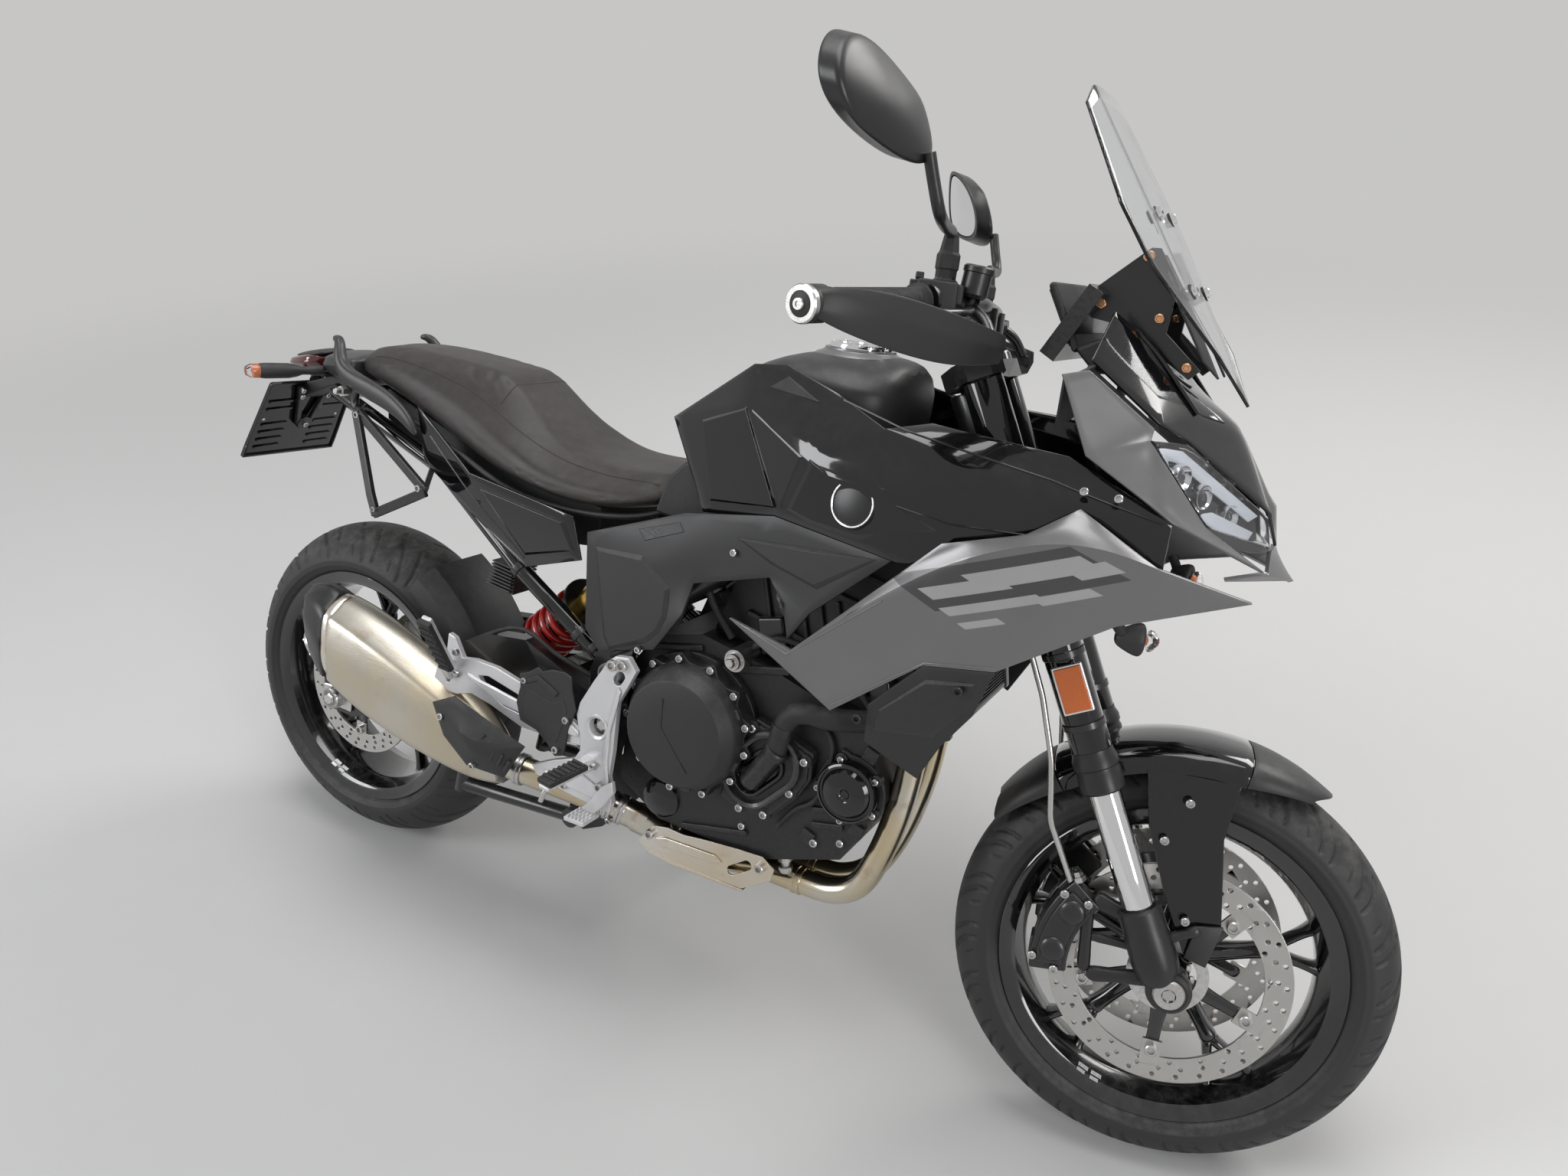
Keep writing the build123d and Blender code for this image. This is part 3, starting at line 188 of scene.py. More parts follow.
def shade_group():
    """Colour that varies softly, is paler on sharp edges as rubbed wear and as a painted highlight, and dusty
    where it faces up.
    """
    tree, given, out = new_group("Dust, wear and edge highlight colour", [
        ("Colour", "NodeSocketColor", (0.02, 0.02, 0.02, 1)),
                                                     ("Rubbed", "NodeSocketColor", (0.1, 0.1, 0.1, 1)),
        ("Wear", "NodeSocketFloat", 0.3), ("Dust", "NodeSocketFloat", 0.1),
                                                     ("Variation", "NodeSocketFloat", 0.15),
        ("Smooth", "NodeSocketFloat", 0.3)],
                                 [("Colour", "NodeSocketColor"), ("Roughness", "NodeSocketFloat")])
    place = add(tree, "ShaderNodeTexCoord").outputs["Object"]
    form = add(tree, "ShaderNodeNewGeometry")
    cloud = noise(tree, place, 14.0, 5.0, 0.6)
    fine = noise(tree, place, 160.0, 3.0)
    change = maths(tree, "MULTIPLY_ADD", maths(tree, "SUBTRACT", cloud, 0.5), given.outputs["Variation"], 1.0)
    tint = add(tree, "ShaderNodeVectorMath", operation="SCALE")
    tree.links.new(given.outputs["Colour"], tint.inputs[0])
    tree.links.new(change, tint.inputs["Scale"])
    # Sharp edges found by pointiness: the paler colour there is partly rubbed wear and partly a painted edge
    # highlight.
    edge = ramp(tree, form.outputs["Pointiness"], 0.52, 0.62)
    rub_and_edge_highlight = maths(tree, "MULTIPLY", maths(tree, "MULTIPLY", edge, given.outputs["Wear"]),
                ramp(tree, fine, 0.35, 0.6))
    worn_and_highlit = mixed(tree, rub_and_edge_highlight, tint.outputs[0], given.outputs["Rubbed"])
    split = add(tree, "ShaderNodeSeparateXYZ")
    tree.links.new(form.outputs["Normal"], split.inputs[0])
    settled = maths(tree, "MULTIPLY", ramp(tree, split.outputs["Z"], 0.3, 1.0), given.outputs["Dust"])
    settled = maths(tree, "MULTIPLY", settled, ramp(tree, noise(tree, place, 45.0, 6.0, 0.7), 0.35, 0.75))
    tree.links.new(mixed(tree, settled, worn_and_highlit, (0.42, 0.4, 0.37, 1)), out.inputs["Colour"])
    gloss = maths(tree, "MULTIPLY_ADD", maths(tree, "SUBTRACT", cloud, 0.5), 0.22, given.outputs["Smooth"])
    gloss = maths(tree, "ADD", gloss, maths(tree, "MULTIPLY", settled, 0.5))
    tree.links.new(maths(tree, "ADD", gloss, maths(tree, "MULTIPLY", rub_and_edge_highlight, 0.15)), out.inputs["Roughness"])
    return tree


def grain_group():
    """Height of a fine leathery or moulded grain: cells broken up by noise."""
    tree, given, out = new_group("Moulded grain", [("Scale", "NodeSocketFloat", 900.0),
                                                   ("Softness", "NodeSocketFloat", 0.5)],
                                 [("Height", "NodeSocketFloat")])
    place = add(tree, "ShaderNodeTexCoord").outputs["Object"]
    cells = add(tree, "ShaderNodeTexVoronoi", feature="SMOOTH_F1")
    tree.links.new(place, cells.inputs["Vector"])
    tree.links.new(given.outputs["Scale"], cells.inputs["Scale"])
    fine = noise(tree, place, given.outputs["Scale"], 3.0)
    mix = add(tree, "ShaderNodeMix", data_type="FLOAT")
    tree.links.new(given.outputs["Softness"], mix.inputs["Factor"])
    tree.links.new(cells.outputs["Distance"], mix.inputs[2])
    tree.links.new(fine, mix.inputs[3])
    tree.links.new(mix.outputs[0], out.inputs["Height"])
    return tree


def brushed_group():
    """Height and tone of long fine scratches along one axis."""
    tree, given, out = new_group("Brushed lines", [("Stretch", "NodeSocketVector", (8.0, 900.0, 900.0))],
                                 [("Height", "NodeSocketFloat"), ("Tone", "NodeSocketFloat")])
    place = add(tree, "ShaderNodeTexCoord").outputs["Object"]
    long = add(tree, "ShaderNodeVectorMath", operation="MULTIPLY")
    tree.links.new(place, long.inputs[0])
    tree.links.new(given.outputs["Stretch"], long.inputs[1])
    lines = noise(tree, long.outputs[0], 1.0, 6.0, 0.7)
    tree.links.new(lines, out.inputs["Height"])
    tree.links.new(ramp(tree, lines, 0.25, 0.75), out.inputs["Tone"])
    return tree


SHADE, GRAIN, BRUSHED = shade_group(), grain_group(), brushed_group()
print("node groups:", [g.name for g in bpy.data.node_groups])

# %% [markdown]
# One recipe makes most finishes: the group's colour, with its wear, painted edge highlight and dust, feeds
# the shader's colour and roughness, and a grain or brushed height feeds its bump. A finish is then a line of
# values, which is how a paint shop would list them.


# %% The finish recipe
def place_group(tree, group, **values):
    node = add(tree, "ShaderNodeGroup", node_tree=group)
    for key, value in values.items():
        node.inputs[key].default_value = value
    return node


def finish(name, colour, rough, metal=0.0, coat=0.0, rubbed_and_highlit=None, wear_and_edge_highlight=0.3, dust=0.08, varied=0.15,
           grain=0.0, depth=0.0, brushed=None, specular=0.5):
    material = bpy.data.materials.new(name)
    material.use_nodes = True
    tree = material.node_tree
    shader = tree.nodes["Principled BSDF"]
    shader.inputs["Metallic"].default_value = metal
    shader.inputs["Coat Weight"].default_value = coat
    shader.inputs["Coat Roughness"].default_value = 0.04
    shader.inputs["Specular IOR Level"].default_value = specular
    # The paler edge colour stands for rubbed wear and also paints a highlight on sharp edges.
    paler = rubbed_and_highlit or tuple(min(1.0, c * 2.2 + 0.03) for c in colour)
    shade = place_group(tree, SHADE, Colour=(*colour, 1), Rubbed=(*paler, 1), Wear=wear_and_edge_highlight, Dust=dust,
                        Variation=varied, Smooth=rough)
    tree.links.new(shade.outputs["Colour"], shader.inputs["Base Color"])
    tree.links.new(shade.outputs["Roughness"], shader.inputs["Roughness"])
    if depth:
        height = place_group(tree, BRUSHED, Stretch=brushed) if brushed else place_group(tree, GRAIN,
                Scale=grain)
        bump = add(tree, "ShaderNodeBump")
        bump.inputs["Strength"].default_value = depth
        bump.inputs["Distance"].default_value = 0.0006
        tree.links.new(height.outputs["Height"], bump.inputs["Height"])
        tree.links.new(bump.outputs[0], shader.inputs["Normal"])
    return material


GLOSS_BLACK = finish("Gloss black paint", (0.004, 0.004, 0.005), 0.12, coat=1.0, dust=0.03, wear_and_edge_highlight=0.03,
                     specular=0.15)
SATIN_GREY = finish("Satin granite paint", (0.19, 0.187, 0.19), 0.34, metal=0.6, coat=0.15, grain=1600,
                    depth=0.10,
                    wear_and_edge_highlight=0.1)
MATTE_GREY = finish("Matte dark grey paint", (0.034, 0.034, 0.035), 0.44, metal=0.3, grain=1500, depth=0.1,
                    wear_and_edge_highlight=0.15)
MOULDED = finish("Moulded black plastic", (0.018, 0.018, 0.019), 0.52, grain=1100, depth=0.35, wear_and_edge_highlight=0.25)
SMOOTH_PLASTIC = finish("Smooth black plastic", (0.014, 0.014, 0.015), 0.34, grain=1500, depth=0.12, wear_and_edge_highlight=0.2)
RIM_BLACK = finish("Gloss black wheel lacquer", (0.005, 0.005, 0.006), 0.14, coat=0.8, dust=0.12, wear_and_edge_highlight=0.05)
FRAME_BLACK = finish("Frame powder coat", (0.010, 0.010, 0.011), 0.30, coat=0.3, grain=1400, depth=0.12,
                     wear_and_edge_highlight=0.3)
ENGINE_BLACK = finish("Engine casting paint", (0.017, 0.017, 0.018), 0.42, metal=0.2, grain=900, depth=0.35,
                      wear_and_edge_highlight=0.35)
COVER_BLACK = finish("Textured cover lacquer", (0.020, 0.020, 0.021), 0.48, grain=650, depth=0.7, wear_and_edge_highlight=0.3)
RUBBER = finish("Black rubber", (0.016, 0.016, 0.016), 0.62, grain=1200, depth=0.25, wear_and_edge_highlight=0.2, dust=0.12)
TYRE = finish("Tyre rubber", (0.020, 0.020, 0.021), 0.58, grain=1000, depth=0.25, wear_and_edge_highlight=0.35, dust=0.2,
              rubbed_and_highlit=(0.07, 0.07, 0.07))
CHROME = finish("Polished chrome", (0.80, 0.80, 0.81), 0.07, metal=1.0, wear_and_edge_highlight=0.0, dust=0.03, varied=0.05)
DISC_STEEL = finish("Ground disc steel", (0.50, 0.49, 0.47), 0.30, metal=1.0, brushed=(600, 20, 600),
                    depth=0.25, wear_and_edge_highlight=0.1)
STEEL = finish("Zinc plated steel", (0.52, 0.51, 0.50), 0.28, metal=1.0, grain=900, depth=0.1, wear_and_edge_highlight=0.2)
SILVER_CAST = finish("Silver painted casting", (0.66, 0.66, 0.67), 0.34, metal=0.45, grain=1000, depth=0.2,
                     wear_and_edge_highlight=0.2,
                     rubbed_and_highlit=(0.85, 0.85, 0.85))
print("finishes:", len(bpy.data.materials))


# %% [markdown]
# ## Ways of making a piece
# Three small makers cover most pieces. Every one draws in upright millimetres, then settles the mesh into
# the parked frame and lets it ride on its body.


# %% Makers
def settle(obj, body, material):
    """Moves a drawn piece to its parked place, gives it its finish and lets it ride."""
    obj.data.transform(PLACE.get(body, STANDING))
    obj.data.materials.append(material)
    bpy.context.scene.collection.objects.link(obj)
    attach(obj, body)
    return obj


def sharpen(bm, angle):
    for face in bm.faces:
        face.smooth = True
    for edge in bm.edges:
        if len(edge.link_faces) == 2 and edge.calc_face_angle(0) > angle:
            edge.smooth = False


def from_bmesh(name, bm, body, material, angle=32.0, bevel=0.0, segments=2):
    bmesh.ops.recalc_face_normals(bm, faces=bm.faces)
    sharpen(bm, math.radians(angle))
    mesh = bpy.data.meshes.new(name)
    bm.to_mesh(mesh)
    bm.free()
    obj = settle(bpy.data.objects.new(name, mesh), body, material)
    if bevel:
        edge = obj.modifiers.new("Edges", "BEVEL")
        edge.width, edge.segments, edge.limit_method = bevel * MM, segments, "ANGLE"
        edge.angle_limit, edge.harden_normals = math.radians(28), True
    return obj


def strips(bm, rings, closed=True, caps=True):
    """Skins a row of rings of points, each ring closed on itself if asked, with caps at both ends."""
    rows = [[bm.verts.new(p) for p in ring] for ring in rings]
    for near, far in zip(rows, rows[1:]):
        count = len(near)
        for i in range(count if closed else count - 1):
            j = (i + 1) % count
            bm.faces.new((near[i], near[j], far[j], far[i]))
    if caps and closed:
        bm.faces.new(rows[0][::-1])
        bm.faces.new(rows[-1])
    return rows


def turned_rings(centre, axis, across, profile, steps=48):
    """Rings for a piece turned about an axis, from (radius, distance along it) pairs."""
    axis = Vector(axis).normalized()
    across = Vector(across).normalized()
    side = axis.cross(across)
    rings = []
    for k in range(steps):
        a = 2 * math.pi * k / steps
        out = across * math.cos(a) + side * math.sin(a)
        rings.append([Vector(centre) + axis * h + out * r for r, h in profile])
    return rings


def lathe(name, centre, axis, profile, body, material, steps=48, angle=32.0, bevel=0.0):
    """A turned piece. The profile starts and ends on the axis, or is an open skin."""
    bm = bmesh.new()
    axis = Vector(axis).normalized()
    across = Vector((0, 0, 1)) if abs(axis.z) < 0.9 else Vector((1, 0, 0))
    across = (across - axis * across.dot(axis)).normalized()
    rings = turned_rings(centre, axis, across, profile, steps)
    strips(bm, rings + [rings[0]], closed=False)
    bmesh.ops.remove_doubles(bm, verts=bm.verts, dist=0.01)
    return from_bmesh(name, bm, body, material, angle, bevel)


def extruded(bm, outline, y_from, y_to, frame_at=None):
    """A plate with a side outline of (x, z) points between two depths, in an optional frame."""
    at = frame_at or Matrix.Identity(4)
    rings = [[at @ Vector((x, y, z)) for x, z in outline] for y in (y_from, y_to)]
    strips(bm, rings)


def plate(name, outlines, body, material, bevel=1.5, frame_at=None, angle=32.0):
    """One piece from several flat plates: each an outline and two depths."""
    bm = bmesh.new()
    for outline, y_from, y_to in outlines:
        extruded(bm, outline, y_from, y_to, frame_at)
    return from_bmesh(name, bm, body, material, angle, bevel)


def pipe(name, points, radius, body, material, smooth=True, sides=14, turns=7, ribs=0.0):
    """A bent tube, cable or rod: rings swept along a smooth line through the given points."""
    line = [Vector(p) for p in points]
    if smooth and len(line) > 2:
        ends = [line[0] * 2 - line[1], *line, line[-1] * 2 - line[-2]]
        line = []
        for a, b, c, d in zip(ends, ends[1:], ends[2:], ends[3:]):
            line += interpolate_bezier(b, b + (c - a) / 6, c - (d - b) / 6, c, turns)[:-1]
        line.append(ends[-2])
    across, rings = (line[1] - line[0]).orthogonal(), []
    for i, place in enumerate(line):
        way = (line[min(i + 1, len(line) - 1)] - line[max(i - 1, 0)]).normalized()
        across = (across - way * across.dot(way)).normalized()
        up = way.cross(across)
        size = radius * (1 + ribs * (i % 2))
        angles = [2 * math.pi * k / sides for k in range(sides)]
        rings.append([place + (across * math.cos(a) + up * math.sin(a)) * size for a in angles])
    bm = bmesh.new()
    strips(bm, rings)
    return from_bmesh(name, bm, body, material, 50)


def pierced(name, outline, holes, y_face, thick, body, material, bevel=1.2, frame_at=None):
    """A flat plate with real holes: its face is filled between the loops, then given its thickness."""
    bm = bmesh.new()
    at = frame_at or Matrix.Identity(4)
    for loop in [outline, *holes]:
        ring = [bm.verts.new(at @ Vector((x, y_face, z))) for x, z in loop]
        for near, far in zip(ring, ring[1:] + ring[:1]):
            bm.edges.new((near, far))
    bmesh.ops.triangle_fill(bm, use_beauty=True, edges=bm.edges)
    away = at.to_3x3() @ Vector((0, 1, 0))
    bmesh.ops.recalc_face_normals(bm, faces=bm.faces)
    rims = bmesh.ops.extrude_face_region(bm, geom=bm.faces[:])
    bmesh.ops.translate(bm, verts=[v for v in rims["geom"] if isinstance(v, bmesh.types.BMVert)],
                        vec=away * thick)
    bmesh.ops.dissolve_limit(bm, angle_limit=0.01, verts=bm.verts, edges=bm.edges)
    return from_bmesh(name, bm, body, material, 30, bevel)


def circle(x, z, radius, steps=24):
    angles = [2 * math.pi * k / steps for k in range(steps)]
    return [(x + radius * math.cos(a), z + radius * math.sin(a)) for a in angles]


def turned(centre, radius, degrees):
    """Points of the side view at a radius from a centre, one for each angle."""
    return [(centre[0] + radius * math.cos(math.radians(t)), centre[1] + radius * math.sin(math.radians(t)))
            for t in degrees]


def stadium(start, end, radius, steps=12):
    """Outline of a slot with round ends between two (x, z) points."""
    way = math.atan2(end[1] - start[1], end[0] - start[0])
    loop = []
    for (x, z), turn in ((start, math.pi / 2), (end, -math.pi / 2)):
        for k in range(steps + 1):
            a = way + turn + math.pi * k / steps
            loop.append((x + radius * math.cos(a), z + radius * math.sin(a)))
    return loop


def boxed(bm, centre, size, turn=None):
    """A box for small mouldings, to be bevelled with the rest of its piece."""
    at = Matrix.Translation(centre) @ (turn.to_4x4() if turn else Matrix.Identity(4))
    half = [s / 2 for s in size]
    rings = []
    for y in (-half[1], half[1]):
        corners = ((-half[0], -half[2]), (half[0], -half[2]), (half[0], half[2]), (-half[0], half[2]))
        rings.append([at @ Vector((x, y, z)) for x, z in corners])
    strips(bm, rings)


def bolts(name, spots, body, material=None, radius=5.0, height=4.5):
    """Socket-head screws as one piece: each spot is a point and the way its head faces."""
    bm = bmesh.new()
    for spot in spots:
        point, way = Vector(spot[0]), Vector(spot[1]).normalized()
        size = spot[2] if len(spot) > 2 else radius
        tall = height * size / radius
        across = way.orthogonal().normalized()
        rim = [(size, -1.0), (size, tall - size * 0.16), (size * 0.84, tall), (size * 0.56, tall)]
        head = turned_rings(point, way, across, rim, 12)
        strips(bm, head + [head[0]], closed=False)
        well = turned_rings(point, way, across, [(size * 0.56, tall), (size * 0.52, tall * 0.35),
                                                 (0, tall * 0.3)], 6)
        strips(bm, well + [well[0]], closed=False)
    bmesh.ops.remove_doubles(bm, verts=bm.verts, dist=0.01)
    return from_bmesh(name, bm, body, material or STEEL, 25)


def smoothed(obj, level):
    """Subdivision as the last step of a cage's shape, at the same level in the render."""
    form = obj.modifiers.new("Smooth form", "SUBSURF")
    form.levels = form.render_levels = level


def both_sides(points):
    return [tuple(p) for p in points] + [(p[0], -p[1], p[2]) for p in points]


def dress(node, material, bevel=0.0, angle=30.0):
    """Gives a frame node its finish, with its edges eased so that they catch the light."""
    obj = nodes[node]
    obj.data.materials.clear()
    obj.data.materials.append(material)
    weld = obj.modifiers.new("Join", "WELD")
    weld.merge_threshold = 0.00002
    if bevel:
        edge = obj.modifiers.new("Edges", "BEVEL")
        edge.width, edge.segments, edge.limit_method = bevel * MM, 2, "ANGLE"
        edge.angle_limit, edge.harden_normals = math.radians(angle), False
    return obj


print("makers ready")

# %% [markdown]
# ## Wheels
# A road tyre has a round crown with cut grooves, and smooth flanks with fine moulded rings. The grooves are
# real geometry: the crown is a fine grid, and each of its points sinks by how near it lies to a groove's
# centre line. That keeps the tread true from every side.


# %% Tyres
TREAD_STEPS = 792


def groove_depth(along, across, pitch, grooves, deep):
    """How far a point of the crown sinks, from its place in one repeat of the tread."""
    sink = np.zeros_like(along)
    for line, width in grooves:
        for (a0, c0), (a1, c1) in zip(line, line[1:]):
            for shift in (-pitch, 0, pitch):
                run = np.array((a1 - a0, c1 - c0))
                rel_a, rel_c = along - a0 - shift, across - c0
                t = np.clip((rel_a * run[0] + rel_c * run[1]) / run.dot(run), 0, 1)
                away = np.hypot(rel_a - t * run[0], rel_c - t * run[1])
                sink = np.maximum(sink, deep * np.clip((width - away) / 1.6, 0, 1))
    return sink


def tyre(name, axle, radius, width, rim_width, node, body, repeats, grooves, steps):
    crown = width / 2
    centre, lip = radius - crown, rim_width / 2 - 3.6
    angles = np.radians(np.linspace(-72, 72, 61))
    r_of, y_of = centre + crown * np.cos(angles), crown * np.sin(angles)
    flank_r = np.linspace(r_of[0], 232.0, 12)[1:]
    flank = []
    for k, r in enumerate(flank_r):
        t = (k + 1) / len(flank_r)
        y = y_of[-1] + (lip + 1 - y_of[-1]) * t + 3.2 * math.sin(math.pi * t)
        ridge = 0.9 if k in (3, 4, 8) else 0.0
        flank.append((r, y + ridge))
    inside = [(218.0, lip - 5), (229.0, lip - 16), (radius - 14, 0.0), (229.0, 16 - lip), (218.0, 5 - lip)]
    profile = [(r, -y) for r, y in flank[::-1]] + list(zip(r_of, y_of)) + flank + inside
    first, last = len(flank), len(flank) + len(r_of)
    ring, around = np.array(profile), np.radians(np.arange(steps) * 360 / steps)
    pitch = 2 * math.pi * radius / repeats
    along = (around * radius)[:, None] % pitch
    across = (angles * crown)[None, :]
    sink = np.zeros((steps, len(r_of)))
    for side, lag in ((1, 0.0), (-1, pitch / 2)):
        part = groove_depth((along + lag) % pitch + 0 * across, side * across + 0 * along, pitch,
                            grooves, 3.2)
        sink = np.maximum(sink, part * (side * across > 0))
    verts, faces, count = [], [], len(ring)
    for k, a in enumerate(around):
        r, y = ring[:, 0].copy(), ring[:, 1].copy()
        r[first:last] -= sink[k] * np.cos(angles)
        y[first:last] -= sink[k] * np.sin(angles)
        verts += [(axle.x + q * math.sin(a), w, axle.z + q * math.cos(a)) for q, w in zip(r, y)]
    for k in range(steps):
        here, then = k * count, (k + 1) % steps * count
        for i in range(count):
            j = (i + 1) % count
            faces.append((here + i, here + j, then + j, then + i))
    mesh = bpy.data.meshes.new(name)
    mesh.from_pydata(verts, [], faces)
    mesh.shade_smooth()
    obj = settle(bpy.data.objects.new(name, mesh), body, TYRE)
    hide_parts(node)
    print(name, len(faces), "faces,", repeats, "repeats of tread")
    return obj


long_cut = [(0, 9), (14, 20), (34, 36), (50, 54), (55, 68)]
short_cut = [(50, 26), (64, 40), (74, 56), (78, 70)]
nick = [(22, 52), (30, 66)]
tyre("front_tyre_tread", FRONT_AXLE, FRONT_RADIUS, FRONT_TYRE_WIDTH, 104.0, "front_tyre", "front_wheel", 22,
     [(long_cut, 3.6), (short_cut, 3.0), (nick, 1.8)], TREAD_STEPS)
rear_long = [(0, 12), (20, 34), (44, 58), (64, 86), (70, 102)]
rear_short = [(62, 30), (78, 50), (92, 76), (98, 96)]
tyre("rear_tyre_tread", REAR_AXLE, REAR_RADIUS, REAR_TYRE_WIDTH, 154.0, "rear_tyre", "rear_wheel", 18,
     [(rear_long, 4.2), (rear_short, 3.6), ([(30, 76), (40, 98)], 2.2)], TREAD_STEPS)

# %% [markdown]
# The cast rims are lacquered gloss black. The barrel is turned, with a rolled lip and a deep well, and the
# five spokes fork before they reach it. A spoke is a smooth casting, so it starts as a few boxes that a
# subdivision surface rounds and thins at the waist.


# %% Rims
def limb(bm, start, end, sections):
    """A rounded bar between two points of the wheel's plane, from (share, width, depth, lift) sections."""
    run = end - start
    side = run.cross(Vector((0, 1, 0))).normalized()
    rings = []
    for share, wide, deep, lift in sections:
        mid = start + run * share + Vector((0, lift, 0))
        w, d = side * wide / 2, Vector((0, deep / 2, 0))
        rings.append([mid - w - d, mid + w - d, mid + w + d, mid - w + d])
    strips(bm, rings)


def rim(name, axle, width, hub_radius, hub_half, body, node, lift=0.0):
    half = width / 2
    profile = [(209, -half + 12), (216, -half + 9), (226, -half + 6.5), (230.5, -half + 4), (231, -half + 1),
               (229.5, -half), (226, -half + 1.2), (214, -half + 3), (208, -half + 7), (202, -half + 20),
               (197, -half + 32),
               (195, -half + 38), (195, half - 38), (197, half - 32), (202, half - 20), (208, half - 7),
               (214, half - 3),
               (226, half - 1.2), (229.5, half), (231, half - 1), (230.5, half - 4), (226, half - 6.5),
               (216, half - 9),
               (209, half - 12), (207, 0), (209, -half + 12)]
    bm = bmesh.new()
    rings = turned_rings(axle, (0, 1, 0), (0, 0, 1), profile, 96)
    strips(bm, rings + [rings[0]], closed=False)
    bmesh.ops.remove_doubles(bm, verts=bm.verts, dist=0.01)
    barrel = from_bmesh(name, bm, body, RIM_BLACK, 30)
    bm = bmesh.new()
    for turn_at in range(5):
        a = math.radians(90 + turn_at * 72)
        ray = lambda r, da=0.0: axle + Vector((r * math.cos(a + da), 0, r * math.sin(a + da)))
        limb(bm, ray(16), ray(142), [(0, 46, 58, 0), (0.3, 30, 44, 0), (0.75, 23, 32, 0), (0.92, 28, 30, 0),
                                     (1, 30, 30, 0)])
        for side in (-1, 1):
            tip = ray(203, side * math.radians(9.2))
            limb(bm, ray(132), tip, [(0, 20, 30, 0), (0.25, 16, 28, 0), (0.7, 14, 28, 0), (0.92, 18, 40, 0),
                                     (1.0, 26, 52, 0)])
    spokes = from_bmesh(name + "_spokes", bm, body, RIM_BLACK, 60)
    rounding = spokes.modifiers.new("Cast surface", "SUBSURF")
    rounding.levels = rounding.render_levels = 2
    hub = lathe(name + "_hub", axle, (0, 1, 0), [(14.4, -hub_half), (hub_radius - 3, -hub_half),
                                                 (hub_radius, 4 - hub_half),
                (hub_radius - 2, 14 - hub_half), (hub_radius + 6, 0), (hub_radius - 2, hub_half - 14),
                (hub_radius, hub_half - 4), (hub_radius - 3, hub_half), (14.4, hub_half)], body,
                RIM_BLACK, 48)
    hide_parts(node)
    return barrel, spokes, hub


rim("front_rim_barrel", FRONT_AXLE, 104.0, 30.0, 56.0, "front_wheel", "front_rim")
rim("rear_rim_barrel", REAR_AXLE, 154.0, 38.0, 64.0, "rear_wheel", "rear_rim")


def reflective_marks(name, axle, y, body):
    """Two small plain reflective rectangles stuck on the rim's inner flank, each side of a gap."""
    bm = bmesh.new()
    for centre in (250, 70):
        for k, (start, span) in enumerate(((-5.2, 4.4), (0.6, 4.4))):
            for row, (r0, r1) in enumerate(((203.5, 206.2), (207.2, 209.6))):
                ring = []
                for da in (start, start + span * (0.8 if row else 1)):
                    a = math.radians(centre + da)
                    for r in (r0, r1):
                        drop = 20 - (r - 202) / 6 * 13
                        ring.append(axle + Vector((r * math.cos(a) * 0.998,
                                                   y + (drop if y < 0 else -drop) * 0.98,
                                                   r * math.sin(a) * 0.998)))
                bm.faces.new([bm.verts.new(p) for p in (ring[0], ring[1], ring[3], ring[2])])
    return from_bmesh(name, bm, body, MARK_WHITE)


MARK_WHITE = finish("White reflective film", (0.75, 0.76, 0.78), 0.25, metal=0.3, grain=2500, depth=0.3,
                    wear_and_edge_highlight=0.0)
reflective_marks("front_rim_marks", FRONT_AXLE, -52.0, "front_wheel")
reflective_marks("rear_rim_marks", REAR_AXLE, -77.0, "rear_wheel")

# %% [markdown]
# The discs are ground steel with drilled rows of holes. On the front wheel each is held by five ears with
# bobbins, on cast arms of the wheel. The frame already has the drilled plates at the right size, so they
# keep their shape and get a ground finish, and only the carriers, bobbins and sensor ring are added.


# %% Discs, carriers and hub parts
def disc_parts(name, axle, y, radius, out, body, carrier, ear_at):
    arms = bmesh.new()
    inner = y - out * 4.0
    for turn_at in range(5):
        a = math.radians(54 + turn_at * 72)
        ray = lambda r, da=0.0: axle + Vector((r * math.cos(a + da), inner, r * math.sin(a + da)))
        limb(arms, ray(24), ray(ear_at + 6), [(0, 36, 10, 0), (0.4, 22, 8, 0), (0.8, 18, 7, 0),
                                              (1, 24, 7, 0)])
    piece = from_bmesh(name + "_carrier", arms, body, carrier, 60)
    rounding = piece.modifiers.new("Cast surface", "SUBSURF")
    rounding.levels = rounding.render_levels = 2
    spots = []
    for turn_at in range(5):
        a = math.radians(54 + turn_at * 72)
        spots.append((axle + Vector((ear_at * math.cos(a), y + out * 2.4, ear_at * math.sin(a))),
                      (0, out, 0), 9.0))
    bolts(name + "_bobbins", spots, body, STEEL)
    ring = [(38, 0.0), (54, 0.0), (54, 2.0), (38, 2.0), (38, 0.0)]
    lathe(name + "_sensor_ring", axle + Vector((0, y + out * 1.0, 0)), (0, out, 0), ring, body, STEEL, 60)


for side in (-1, 1):
    tag = "front_disc_" + ("right" if side < 0 else "left")
    disc_parts(tag, FRONT_AXLE, side * 67.0, 160.0, side, "front_wheel", RIM_BLACK, 114.0)
disc_parts("rear_disc", REAR_AXLE, -72.0, 132.5, -1, "rear_wheel", RIM_BLACK, 88.0)
for node in ("front_brake_discs", "rear_disc_and_sprocket"):
    dress(node, DISC_STEEL, 0.5, 40)


